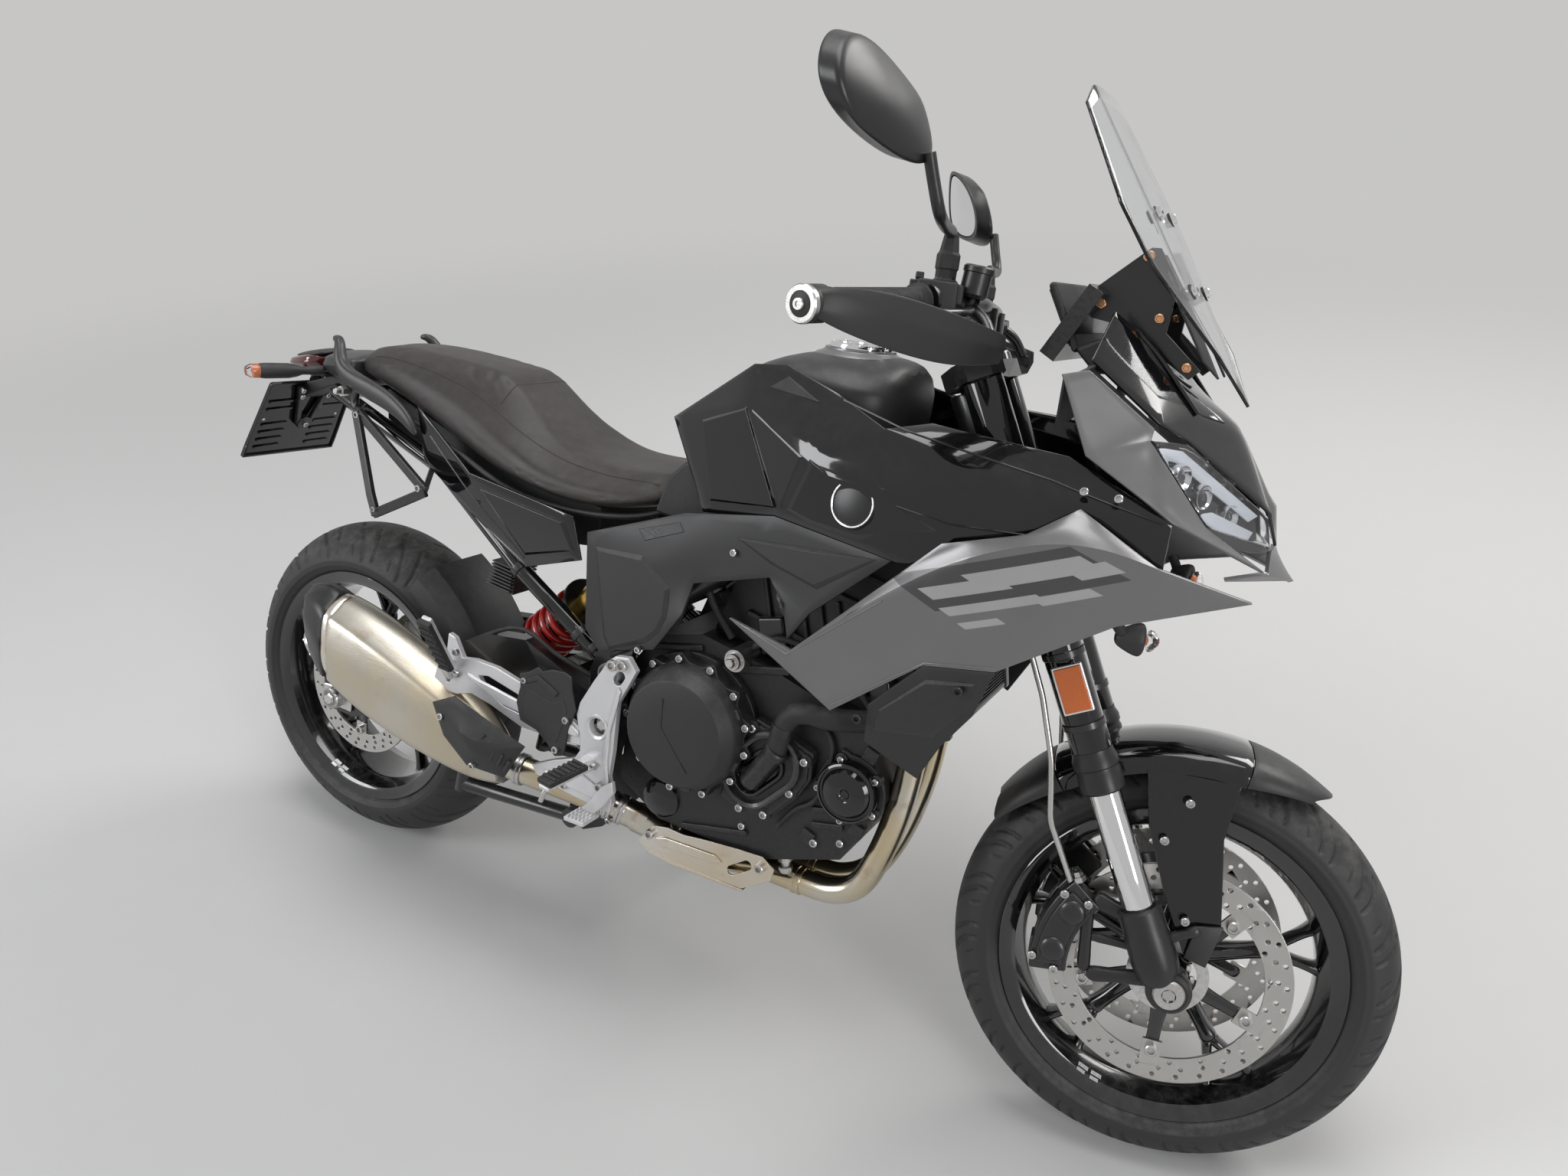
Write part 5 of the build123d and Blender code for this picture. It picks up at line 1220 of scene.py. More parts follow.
# %% Bar, grips and controls
dress("handlebar", FRAME_BLACK, 0.8)
GRIP_IN, GRIP_OUT = Vector((1068, -222, 1138)), Vector((998, -391, 1114))
along = (GRIP_OUT - GRIP_IN).normalized()
length = (GRIP_OUT - GRIP_IN).length
grip_profile = [(11.2, 0), (21, 0), (22.5, 2), (22.5, 6), (18, 9)]
for k in range(18):
    grip_profile += [(16.0, 12 + k * 8.6), (17.2, 14.5 + k * 8.6), (17.2, 17.6 + k * 8.6),
                     (16.0, 20 + k * 8.6)]
grip_profile += [(17.6, length - 8), (18, length - 2), (11.2, length - 1)]


def grip_and_bar_end(side, tag):
    flip = Vector((1, -side, 1))
    start, way = GRIP_IN * flip, along * flip
    grip = lathe("grip_" + tag, start, way, grip_profile, "steering", RUBBER, 40)
    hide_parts("grips")
    weight = [(0, 40.5), (6, 40.5), (7, 38), (12, 38), (12, 40), (19.5, 40), (21, 38), (21, 32), (19.6, 30),
              (19.6, 26)]
    lathe("bar_end_ring_" + tag, GRIP_OUT * flip, way, weight, "steering", STEEL, 48)
    sleeve = [(19.8, 33), (20.6, 31), (20.6, 6), (18.5, 1.5), (12, 1)]
    lathe("bar_end_weight_" + tag, GRIP_OUT * flip, way, sleeve, "steering", MATTE_GREY, 48)


def switch_gear(side, tag):
    """Switch box, its buttons and the perch screws, with the brake's fluid pot on the right."""
    box_turn = Matrix.Rotation(math.radians(13 * -side), 3, "Z") @ Matrix.Rotation(math.radians(8 * side),
            3, "X")
    bm = bmesh.new()
    boxed(bm, (1083, side * 200, 1141), (50, 44, 46), box_turn)
    boxed(bm, (1066, side * 196, 1150), (22, 30, 30), box_turn)
    boxed(bm, (1104, side * 192, 1150), (20, 34, 26), box_turn)
    from_bmesh("switch_box_" + tag, bm, "steering", MOULDED, 30, 4.0, 3)
    bm = bmesh.new()
    for dx, dz, wide in ((-14, 10, 11), (-14, -6, 9), (2, 20, 12)):
        boxed(bm, (1052 + dx * 0.3 + 8, side * (203 - dx * 0.4), 1150 + dz), (10, wide, 8), box_turn)
    from_bmesh("switches_" + tag, bm, "steering", MATTE_GREY, 30, 1.5)
    pot = [(0, 22), (17, 22), (19, 20), (19, 14), (17.5, 13), (17.5, -12), (14, -16), (0, -16)]
    if side < 0:
        lathe("brake_fluid_pot", (1126, -182, 1168), (0.1, 0, 1), pot, "steering", SMOOTH_PLASTIC, 40)
        pipe("pot_hose", [(1126, -182, 1156), (1124, -184, 1146), (1116, -182, 1142)], 4, "steering", RUBBER)
    bolts("perch_screws_" + tag, [((1112, side * y, z), (0.3, 0, 1)) for y, z in ((172, 1157), (188, 1155))],
          "steering")


for side, tag in SIDES:
    grip_and_bar_end(side, tag)
    switch_gear(side, tag)

# %% [markdown]
# The hand guards are two-tone mouldings with an air blade along the top. The cage takes the frame's corners
# and lets its outline round off.

# %% Hand guards
GUARD = {"a": (968, -432, 1116), "b": (1030, -412, 1140), "c": (1122, -300, 1128), "d": (1176, -210, 1112),
         "e": (1172, -205, 1078), "f": (1122, -298, 1062), "g": (1010, -428, 1088), "m": (1124, -304, 1098),
         "n": (1026, -424, 1116), "o": (1178, -210, 1096)}
guard = shell("hand_guards", GUARD, "abn ang bcmn nmfg cdom moef", "steering", MATTE_GREY, "nm0.7 mo0.7",
              soft="abcfge",
              thick=4.0, outside=(1, -0.4, 0), level=3)
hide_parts("handguards")
for side, tag in SIDES:
    plate("guard_stay_" + tag, [([(1104, 1120), (1170, 1104), (1170, 1086), (1104, 1104)],
                                 *sorted((side * 206.0, side * 212.0)))], "steering", FRAME_BLACK, 1.5)
    pipe("guard_arm_" + tag, [(1100, side * 168, 1150), (1140, side * 190, 1130), (1158, side * 208, 1106)],
         8, "steering",
         FRAME_BLACK)


# %% [markdown]
# A mirror is a crowned shell with a flat silvered glass set in its rear. The shell's rim keeps a soft
# crease, and the stem rises from a threaded boot.


# %% Mirrors
SILVERED = finish("Silvered glass", (0.86, 0.87, 0.88), 0.015, metal=1.0, wear_and_edge_highlight=0.0, dust=0.04, varied=0.02)
HEAD = {"a": (1006, -352, 1392), "b": (1052, -292, 1350), "c": (1078, -285, 1292), "d": (1066, -322, 1266),
        "e": (1014, -420, 1290), "f": (995, -455, 1326), "g": (992, -420, 1382), "h": (1050, -368, 1322)}
BACK = Vector((-26, 8, 6))


def mirror(side, tag):
    """One mirror: a creased cage for the head, the glass in its rear, the stem and the boot."""
    bm = bmesh.new()
    crease_e = bm.edges.layers.float.new("crease_edge")
    flip = Vector((1, -side, 1))
    front = {k: bm.verts.new(Vector(p) * flip) for k, p in HEAD.items()}
    centre = sum((Vector(HEAD[k]) for k in "abcdefg"), Vector()) / 7
    rear = {k: bm.verts.new((Vector(HEAD[k]) + BACK) * flip) for k in "abcdefg"}
    inset = {k: bm.verts.new((centre + (Vector(HEAD[k]) - centre) * 0.90 + BACK) * flip) for k in "abcdefg"}
    order = "abcdefg"
    for near, far in zip(order, order[1:] + order[0]):
        bm.faces.new((front[near], front[far], front["h"]))
        bm.faces.new((front[far], front[near], rear[near], rear[far]))
        bm.faces.new((rear[far], rear[near], inset[near], inset[far]))
        bm.edges.get((front[near], front[far]))[crease_e] = 0.55
        bm.edges.get((rear[near], rear[far]))[crease_e] = 0.6
        bm.edges.get((inset[near], inset[far]))[crease_e] = 1.0
    for k in "be":
        bm.edges.get((front[k], front["h"]))[crease_e] = 0.4
    head = from_bmesh("mirror_head_" + tag, bm, "steering", SMOOTH_PLASTIC, 180)
    smoothed(head, 3)
    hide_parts("mirrors")
    bm = bmesh.new()
    pane = [(centre + (Vector(HEAD[k]) - centre) * 0.86 + BACK * 0.97) * flip for k in order]
    middle = (centre + BACK * 0.99) * flip
    ring = [bm.verts.new(p) for p in pane]
    hub = bm.verts.new(middle)
    for i in range(7):
        bm.faces.new((ring[i], ring[(i + 1) % 7], hub))
    glass = from_bmesh("mirror_glass_" + tag, bm, "steering", SILVERED, 180)
    smoothed(glass, 3)
    pipe("mirror_stem_" + tag, [(1090, side * 192, 1196), (1090, side * 193, 1222), (1088, side * 236, 1226),
                                (1089, side * 290, 1232), (1080, side * 304, 1262),
                                (1072, side * 312, 1290)], 7.5,
         "steering", SMOOTH_PLASTIC)
    boot = [(10, -26), (15, -26), (15.5, -14), (13, -12), (13, -2), (14.5, 0), (14.5, 16), (12, 20), (9, 40),
            (7.6, 44)]
    lathe("mirror_boot_" + tag, (1090, side * 192, 1182), (0, 0, 1), boot, "steering", RUBBER, 6, 20)


for side, tag in SIDES:
    mirror(side, tag)

# %% [markdown]
# ## Screen, lamps and instruments
# The screen is a folded clear sheet held by four chromed screws on two adjuster arms. The lamps sit behind
# their own clear covers: a dark bowl, a bright light guide and small projector lenses give them depth.

# %% Screen
SCREEN = {"a": (1236, 0, 1432), "b": (1244, -110, 1402), "c": (1312, -150, 1290), "d": (1356, -140, 1226),
          "e": (1440, -66, 1130), "f": (1478, 0, 1072), "g": (1330, 0, 1290), "h": (1396, 0, 1196),
          "p": (1238, -70, 1426), "q": (1336, -96, 1286), "r": (1392, -88, 1200)}
screen = shell("clear_screen", SCREEN, "apqg pbcq gqrh qcdr hrf rdef", "chassis", SCREEN_CLEAR,
               "pq0.8 qr0.8 re0.8",
               soft="ab", thick=4.0, outside=(1, 0, 0.6), bevel=0.5)
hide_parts("windscreen")
spots = []
for x, y, z in both_sides([(1334, -50, 1287), (1392, -52, 1201)]):
    spots.append(((x, y, z), (0.84, 0.1 * (1 if y > 0 else -1), 0.5), 7.0))
bolts("screen_screws", spots, "chassis", CHROME)
for k, (x, y, z) in enumerate(both_sides([(1334, -50, 1287), (1392, -52, 1201)])):
    washer = [(4, -12), (8, -12), (9.5, -4), (10, 0.2), (4, 0.2)]
    lathe(f"screen_washer_{k}", (x, y, z), (0.84, 0.1 * (1 if y > 0 else -1), 0.5), washer, "chassis",
          RUBBER, 32)
INNER = {"a": (1352, -34, 1240), "b": (1362, -74, 1218), "c": (1424, -70, 1122), "d": (1440, -30, 1102),
         "e": (1376, -20, 1204)}
shell("screen_inner_panels", INNER, "abcde", "chassis", MATTE_GREY, thick=3.0, outside=(1, 0, 0.5), level=2)
dress("display_carrier", FRAME_BLACK, 1.0)
copper = finish("Copper anodised screws", (0.72, 0.36, 0.20), 0.25, metal=1.0, grain=900, depth=0.1)
ADJUSTER = ((1290, 1176), (1336, 1236), (1362, 1166), (1404, 1112))
arm_spots = [((x, side * 64.2, z), (0, side, 0), 6.0) for x, z in ADJUSTER for side in (-1, 1)]
bolts("adjuster_screws", arm_spots, "chassis", copper)
inner_spots = [((x, side * 57.8, z), (0, -side, 0), 5.0) for x, z in ADJUSTER[:3] for side in (-1, 1)]
bolts("adjuster_screws_inner", inner_spots, "chassis", copper)

# %% Instrument panel
tilt = Matrix.Rotation(math.radians(-29), 4, "Y")
panel_at = Matrix.Translation((1251, 0, 1156)) @ tilt
bm = bmesh.new()
boxed(bm, (0, 0, 0), (10, 176, 92))
for v in bm.verts:
    v.co = panel_at @ v.co
from_bmesh("display_housing", bm, "chassis", MOULDED, 30, 5.0, 3)
bm = bmesh.new()
boxed(bm, (-6, 0, 2), (3, 160, 76))
for v in bm.verts:
    v.co = panel_at @ v.co
glass_black = finish("Dark display glass", (0.012, 0.013, 0.016), 0.06, coat=1.0, wear_and_edge_highlight=0.0, varied=0.05)
from_bmesh("display_glass", bm, "chassis", glass_black, 30, 2.0, 3)

# %% Headlights
LAMP = {"a": (1396, -168, 1032), "b": (1430, -110, 1027), "c": (1529, -38, 946), "d": (1538, -28, 908),
        "e": (1470, -118, 934), "f": (1476, -88, 972)}
lens = shell("headlight_lenses", LAMP, "abf bcf cdf def eaf", "chassis", CLEAR, "", thick=2.4,
             outside=(1, -0.6, 0.2),
             level=3, bevel=0.6)
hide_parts("headlights")
deeper = {k: (p[0] - 17, p[1] + 5, p[2] + (2 if p[2] < 960 else -4)) for k, p in LAMP.items()}
shell("headlight_bowls", deeper, "abf bcf cdf def eaf", "chassis", GLOSS_BLACK, "af bf cf", thick=3.0,
      outside=(1, -0.6, 0.2), level=2)
guide = {"a": (1392, -160, 1024), "b": (1424, -112, 1018), "c": (1517, -42, 946), "d": (1508, -52, 938),
         "e": (1420, -120, 1004), "f": (1398, -154, 1012)}
LIGHT_GUIDE = finish("White light guide", (0.86, 0.90, 0.96), 0.18, coat=0.6, wear_and_edge_highlight=0.0, dust=0.0, varied=0.05)
shell("headlight_guides", guide, "abef bcde", "chassis", LIGHT_GUIDE, thick=4.0, outside=(1, -0.6, 0.2),
      level=1)
lower_guide = {"a": (1452, -122, 946), "b": (1470, -100, 950), "c": (1516, -50, 926), "d": (1512, -50, 916),
               "e": (1456, -118, 938)}
shell("headlight_lower_guides", lower_guide, "abcde", "chassis", LIGHT_GUIDE, thick=4.0,
      outside=(1, -0.6, 0.2), level=1)
for side, tag in SIDES:
    look = Vector((0.86, side * 0.42, 0.06))
    for k, spot in enumerate(((1428, 122, 988), (1452, 96, 966), (1484, 68, 942))):
        bowl = [(0, -6), (7, -5), (12, 0), (14.5, 6), (15.5, 6), (15.5, -8)]
        at = Vector((spot[0], side * spot[1], spot[2]))
        lathe(f"projector_bowl_{tag}_{k}", at, look, bowl, "chassis", CHROME, 32)
        lathe(f"projector_lens_{tag}_{k}", at, look, [(0, 5), (5, 4), (8.5, 0), (9, -3)], "chassis",
              CLEAR, 24)

# %% [markdown]
# ## Engine
# A parallel twin in black. The crankcase keeps the frame's casting, and its covers are built here: a clutch
# cover with a scalloped flange and a coned lid, the water pump in an oval recess, a round side cover,
# sensors and hoses. Castings look right through their bolts, bosses and ribs, so those are real pieces.


# %% Clutch cover
dress("engine_block", ENGINE_BLACK, 2.5)
CLUTCH = (803, 501)
bolt_turns = (127, 100, 70, 42, 15, -8, -36, -68, -100, -136, 184, 157)


def scallop(turn):
    near = max(math.exp(-(((turn - b + 180) % 360 - 180) / 5.6) ** 2) for b in bolt_turns)
    return 101.0 + 14.5 * near


rim_line = [(CLUTCH[0] + scallop(t) * math.cos(math.radians(t)),
             CLUTCH[1] + scallop(t) * math.sin(math.radians(t)))
            for t in range(0, 360, 3)]
flange = plate("clutch_flange", [(rim_line, -172, -150), (circle(*CLUTCH, 112, 48), -152, -140)], "chassis",
               ENGINE_BLACK, 2.0)
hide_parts("clutch_cover")
lid = [(101, 0), (99.5, 10), (96, 18), (94.5, 22), (93, 24), (83.5, 40), (82, 42), (79, 43), (40, 44.2),
       (0, 44.6)]
lathe("clutch_lid", (CLUTCH[0], -168, CLUTCH[1]), (0, -1, 0), lid, "chassis", COVER_BLACK, 96, 20)
bolts("clutch_cover_bolts", [((x, -173, z), (0, -1, 0), 6.2) for x, z in turned(CLUTCH, 107, bolt_turns)],
      "chassis")
for k, (start, end) in enumerate((((783, 552), (783, 506)), ((783, 506), (832, 446)))):
    plate(f"clutch_lid_line_{k}", [(stadium(start, end, 1.3, 4), -213.4, -211.5)], "chassis",
          COVER_BLACK, 0.3)
ramps = []
for t in (27, -22, -84, 205):
    a, b = math.radians(t - 5), math.radians(t + 5)
    loop = [(CLUTCH[0] + r * math.cos(s), CLUTCH[1] + r * math.sin(s))
            for r, s in ((90, a), (104, a), (104, b), (90, b))]
    ramps.append((loop, -181, -168))
plate("clutch_lid_ribs", ramps, "chassis", COVER_BLACK, 3.0)

# %% Water pump and side covers
cover_line = [(862, 398), (902, 384), (952, 388), (992, 434), (1012, 470), (1012, 512), (966, 528),
              (914, 540), (900, 520),
              (880, 460)]
pump = plate("pump_housing",
             [(cover_line, -158, -139), ([(x * 0.94 + 56, z * 0.94 + 27) for x, z in cover_line], -162,
                                         -150)],
             "chassis", ENGINE_BLACK, 3.0)
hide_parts("engine_covers")
bm = bmesh.new()
loops = [[Vector((x, y, z)) for x, z in stadium((916, 448), (950, 484), r)]
         for r, y in ((50, -158), (48, -170), (44, -173), (39, -171), (37, -160), (30, -156))]
strips(bm, loops, caps=False)
from_bmesh("pump_oval", bm, "chassis", FRAME_BLACK, 34)
bm = bmesh.new()
loops = [[Vector((x, y, z)) for x, z in stadium((914, 444), (944, 476), r)]
         for r, y in ((31, -156), (26, -166), (22, -167), (18, -162), (2, -162))]
strips(bm, loops, caps=False)
from_bmesh("pump_centre", bm, "chassis", GLOSS_BLACK, 34)
spots = [((x, -163, z), (0, -1, 0), 6.4) for x, z in ((913, 527), (963, 514), (1002, 500), (984, 444),
                                                      (945, 396), (903, 394),
                                                      (868, 440))]
bolts("pump_bolts", spots, "chassis")
bosses = [(circle(x, z, 10.5, 20), -163, -139) for (x, _, z), _, _ in spots]
plate("pump_bosses", bosses, "chassis", ENGINE_BLACK, 1.5)
pipe("pump_neck", [(918, -168, 444), (962, -172, 512)], 17, "chassis", SMOOTH_PLASTIC, False, 8)
lathe("pump_neck_collar", (958, -172, 506), (0.52, -0.03, 0.85), [(14, -6), (19, -6), (20, -3), (20, 5),
        (18, 8), (14, 8)],
      "chassis", SMOOTH_PLASTIC, 32)
ROUND = (1070, -140, 470)
face = [(47, 0), (47, 18), (45, 22), (42, 23.5), (41, 21), (38, 20.5), (33, 26), (22, 29), (11, 29.6),
        (8, 28), (6, 25.5),
        (0, 25)]
lathe("side_cover_round", ROUND, (0, -1, 0), face, "chassis", GLOSS_BLACK, 72, 28)
ear_spots = turned((ROUND[0], ROUND[2]), 49, (35, 110, 190, 262, 330))
ears = [(circle(x, z, 9, 16), -152, -139) for x, z in ear_spots]
plate("side_cover_ears", ears + [(circle(1070, 470, 54, 48), -146, -139)], "chassis", ENGINE_BLACK, 2.0)
spots = [((x, -152, z), (0, -1, 0), 5) for x, z in ear_spots]
spots += [((899, -141, 352), (0, -1, 0), 6), ((1022, -141, 366), (0, -1, 0), 6.5),
          ((1064, -141, 380), (0, -1, 0), 6)]
bolts("case_bolts", spots, "chassis")
left = [(90, 0), (90, 30), (86, 38), (70, 46), (66, 46), (62, 42), (48, 44), (22, 46), (0, 46.4)]
GENERATOR = (905, 452)
lathe("generator_cover", (GENERATOR[0], 140, GENERATOR[1]), (0, 1, 0), left, "chassis", COVER_BLACK, 72, 28)
spots = [((x, 168, z), (0, 1, 0), 6) for x, z in turned(GENERATOR, 92, range(10, 360, 40))]
bolts("generator_bolts", spots, "chassis")
plate("generator_bosses", [(circle(x, z, 10, 16), 140, 168) for (x, _, z), _, _ in spots], "chassis",
      ENGINE_BLACK, 1.5)
sprocket_line = [(692, 340), (686, 420), (692, 536), (760, 548), (812, 520), (812, 350), (760, 334)]
plate("sprocket_cover", [(sprocket_line, 118, 146), ([(710, 360), (706, 520), (790, 516), (792, 366)], 140,
                                                     152)], "chassis",
      MOULDED, 4.0)
bolts("sprocket_cover_bolts", [((x, 147, z), (0, 1, 0), 6)
                               for x, z in ((700, 350), (700, 528), (800, 510), (800, 358))],
      "chassis")

# %% [markdown]
# The crankcase and cylinders carry ribs, bosses and small housings. They are one bevelled mesh of
# overlapping bars, which is how a casting's ribs run into its walls.

# %% Casting ribs
bm = bmesh.new()
tilt = Matrix.Rotation(math.radians(-14), 3, "Y")
for side in (-1, 1):
    for k in range(7):
        boxed(bm, (888 + k * 31, side * 97, 690 - k * 6), (7, 10, 128), tilt)
    for height in (650, 742, 786):
        boxed(bm, (985 - (height - 640) * 0.06, side * 98, height), (270, 12, 9),
              Matrix.Rotation(math.radians(12), 3, "Y"))
    for x, z, wide, tall in ((1040, 400, 52, 10), (1040, 425, 56, 8), (1046, 560, 80, 12),
                             (880, 605, 150, 12),
                             (850, 330, 120, 9), (760, 610, 90, 10)):
        boxed(bm, (x, side * 141, z), (wide, 9, tall), Matrix.Rotation(math.radians(-12), 3, "Y"))
    for x, z in ((1010, 372), (1086, 408), (1094, 530), (1020, 562), (860, 612)):
        boxed(bm, (x, side * 138, z), (22, 16, 22), Matrix.Rotation(math.radians(20), 3, "Y"))
from_bmesh("casting_ribs", bm, "chassis", ENGINE_BLACK, 30, 2.2, 2)
bm = bmesh.new()
for x, z, wide, tall, deep in ((1010, 640, 60, 42, 14), (905, 655, 44, 60, 20), (1090, 600, 34, 70, 24),
                               (740, 350, 40, 30, 10)):
    boxed(bm, (x, -97 - deep / 2 if x != 740 else -142, z), (wide, deep, tall), tilt)
from_bmesh("side_housings", bm, "chassis", FRAME_BLACK, 30, 5.0, 3)
lathe("oil_filter", (748, -120, 352), (0.1, -1, -0.1), [(34, 0), (34, 20), (31, 27), (24, 31), (0, 32)],
      "chassis", GLOSS_BLACK, 48)
for side, tag in SIDES:
    mount = [(0, 20), (6, 20), (7.5, 17), (7.5, 12), (12, 12), (13, 9), (13, 4), (17, 4), (18, 0), (18, -46),
             (0, -46)]
    lathe("frame_bolt_" + tag, (872, side * 160, 622), (0, side, 0), mount, "chassis", STEEL, 24)
    pipe("wiring_" + tag, [(886, side * 132, 640), (930, side * 124, 660), (1000, side * 112, 640),
                           (1062, side * 116, 600),
                           (1096, side * 128, 560), (1090, side * 138, 516), (1050, side * 143, 524)], 5,
         "chassis", RUBBER)
    pipe("cable_" + tag, [(1000, side * 140, 560), (1030, side * 146, 540), (1036, side * 148, 500),
                          (1020, side * 148, 440),
                          (986, side * 146, 410), (958, side * 142, 372)], 3.6, "chassis", RUBBER)
    pipe("drain_" + tag, [(760, side * 120, 800), (800, side * 128, 700), (842, side * 122, 640)], 6,
         "chassis", RUBBER)
pipe("clutch_cable", [(700, -150, 600), (668, -168, 585), (640, -150, 560), (632, -138, 520)], 4.5,
     "chassis", RUBBER)
hose = pipe("coolant_pipe", [(958, -172, 504), (965, -173, 540), (978, -174, 568), (1004, -174, 580),
                             (1040, -166, 578),
                             (1092, -142, 582), (1150, -126, 598)], 16.0, "chassis", RUBBER, turns=9,
            sides=20)
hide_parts("coolant_hose")
for k, (at, way) in enumerate((((966, -173, 546), (0.3, 0, 1)), ((1092, -142, 582), (1, 0.35, 0.1)))):
    lathe(f"hose_clamp_{k}", at, way, [(15, -6), (17.4, -6), (17.6, 0), (17.4, 6), (15, 6)], "chassis",
          SMOOTH_PLASTIC, 40)

# %% [markdown]
# ## Exhaust
# The headers are polished tube that heat has tinted straw and bronze. The tint varies along the metal, so
# one finish mixes silver and straw by a slow noise, over fine brushed lines. Pipes are swept rings, and the
# silencer is a skinned body with two softened ridges.


# %% Tinted steel
def tinted(name, silver, straw, bronze, rough, stretch, depth=0.2):
    material = finish(name, silver, rough, metal=1.0, brushed=stretch, depth=depth, wear_and_edge_highlight=0.05, dust=0.03)
    tree = material.node_tree
    shade = next(n for n in tree.nodes if n.type == "GROUP" and n.node_tree == SHADE)
    place = add(tree, "ShaderNodeTexCoord").outputs["Object"]
    slow = ramp(tree, noise(tree, place, 7.0, 3.0, 0.5), 0.36, 0.62)
    spots = ramp(tree, noise(tree, place, 19.0, 4.0, 0.55), 0.55, 0.80)
    colour = mixed(tree, slow, (*silver, 1), (*straw, 1))
    tree.links.new(mixed(tree, spots, colour, (*bronze, 1)), shade.inputs["Colour"])
    return material


HEADER = tinted("Heat tinted tube", (0.60, 0.57, 0.50), (0.56, 0.47, 0.31), (0.36, 0.25, 0.15), 0.20,
                (30, 500, 500), 0.08)
SILENCER = tinted("Brushed silencer skin", (0.55, 0.52, 0.46), (0.52, 0.46, 0.35), (0.40, 0.33, 0.25), 0.33,
                  (14, 380, 380), 0.3)
SHIELD_STEEL = tinted("Brushed heat shield", (0.68, 0.65, 0.59), (0.64, 0.56, 0.44), (0.50, 0.38, 0.28),
                      0.26, (14, 420, 420), 0.3)

# %% Headers and collector
RIGHT_HEADER = [(1098, -60, 676), (1118, -66, 650), (1136, -76, 604), (1139, -86, 540), (1132, -94, 450),
                (1112, -96, 360),
                (1084, -95, 296), (1040, -94, 268), (980, -92, 264), (890, -92, 265)]
LEFT_HEADER = [(1098, 42, 676), (1118, 36, 650), (1134, 20, 604), (1138, 8, 540), (1131, 0, 450),
               (1110, -10, 360),
               (1080, -30, 296), (1036, -42, 268), (980, -46, 264), (890, -46, 265)]
right = pipe("header_right", RIGHT_HEADER, 20, "chassis", HEADER, sides=32, turns=8)
pipe("header_left", LEFT_HEADER, 20, "chassis", HEADER, sides=32, turns=8)
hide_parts("exhaust_pipes")
for k, (at, way) in enumerate((((984, -92, 264), (1, 0, 0)), ((984, -46, 264), (1, 0, 0)))):
    ring = [(20, -8), (22.2, -7), (22.2, -3), (20.8, -2), (20.8, 2), (22.2, 3), (22.2, 7), (20, 8)]
    lathe(f"header_weld_{k}", at, way, ring, "chassis", HEADER, 40)
for k, y in enumerate((-60, 42)):
    lathe(f"exhaust_port_{k}", (1098, y, 676), (0.62, 0, -0.78), [(20, -12), (31, -12), (31, -4), (25, 0),
            (22, 14), (20, 14)],
          "chassis", STEEL, 40)
bm = bmesh.new()
rings = []
for x, y_mid, z_mid, half_y, half_z in ((930, -70, 265, 42, 19), (900, -72, 265, 48, 24),
                                        (860, -76, 266, 54, 27),
                                        (780, -88, 269, 54, 28), (740, -100, 276, 44, 27),
                                        (712, -116, 284, 28, 25),
                                        (694, -124, 290, 25, 25)):
    rings.append([Vector((x, y_mid + half_y * math.cos(a), z_mid + half_z * math.sin(a)))
                  for a in [2 * math.pi * k / 28 for k in range(28)]])
strips(bm, rings)
from_bmesh("collector", bm, "chassis", HEADER, 40)
link = [(712, -120, 286), (672, -132, 298), (620, -148, 312), (560, -170, 328), (506, -184, 338),
        (460, -189, 342)]
pipe("link_pipe", link, 23, "chassis", HEADER, sides=32, turns=8)
for k, (at, way, size) in enumerate((((668, -133, 299), (0.9, 0.34, -0.3), 24),
                                     ((650, -139, 304), (0.9, 0.34, -0.3), 24),
                                     ((500, -185, 339), (0.97, 0.2, -0.1), 25))):
    band = [(size - 1, -7), (size + 1.6, -6), (size + 1.6, -1), (size + 0.4, 0), (size + 1.6, 1),
            (size + 1.6, 6), (size - 1, 7)]
    lathe(f"exhaust_clamp_{k}", at, way, band, "chassis", STEEL, 40)
bolts("clamp_bolts", [((662, -158, 288), (0, -1, -0.4), 6), ((640, -160, 300), (0, -1, -0.4), 6)], "chassis")
belly = [(716, 268), (742, 302), (770, 307), (800, 305), (843, 310), (900, 315), (944, 317), (965, 302),
         (961, 282), (912, 250),
         (780, 250), (736, 256)]
pierced("belly_shield", belly, [stadium((892, 275), (918, 293), 8)], -150, 3.0, "chassis", SHIELD_STEEL, 1.0)
plate("belly_shield_bead", [([(748, 284), (770, 290), (862, 292), (876, 282), (858, 276), (760, 272)], -153,
                             -149)], "chassis",
      SHIELD_STEEL, 2.2)
plate("belly_shield_lip",
      [([(716, 264), (736, 250), (780, 244), (912, 244), (916, 249), (780, 251), (736, 257), (718, 270)],
                            -150, -126)], "chassis", SHIELD_STEEL, 1.5)
bolts("belly_shield_bolts", [((739, -151, 287), (0, -1, 0), 8), ((942, -151, 298), (0, -1, 0), 8)], "chassis")
for k, ((top_x, top_z), (low_x, low_z)) in enumerate((((762, 346), (768, 298)), ((962, 360), (970, 292)))):
    start = Vector((low_x, -118, low_z))
    way = Vector((top_x - low_x, -8, top_z - low_z))
    probe = [(0, -4), (10, -4), (11, 0), (11, 6), (7, 8), (7, 15), (11.5, 16), (11.5, 26), (8, 28), (8, 36),
             (6.5, 38), (6.5, 50),
             (5, 53), (0, 54)]
    lathe(f"oxygen_sensor_{k}", start, way, probe, "chassis", STEEL, 20, 24)
    pipe(f"sensor_wire_{k}", [tuple(start + way.normalized() * 50), (top_x + 4, -126, top_z + 22),
                              (top_x + 26, -134, top_z + 44),
                              (top_x + 20, -138, top_z + 84)], 4, "chassis", RUBBER)

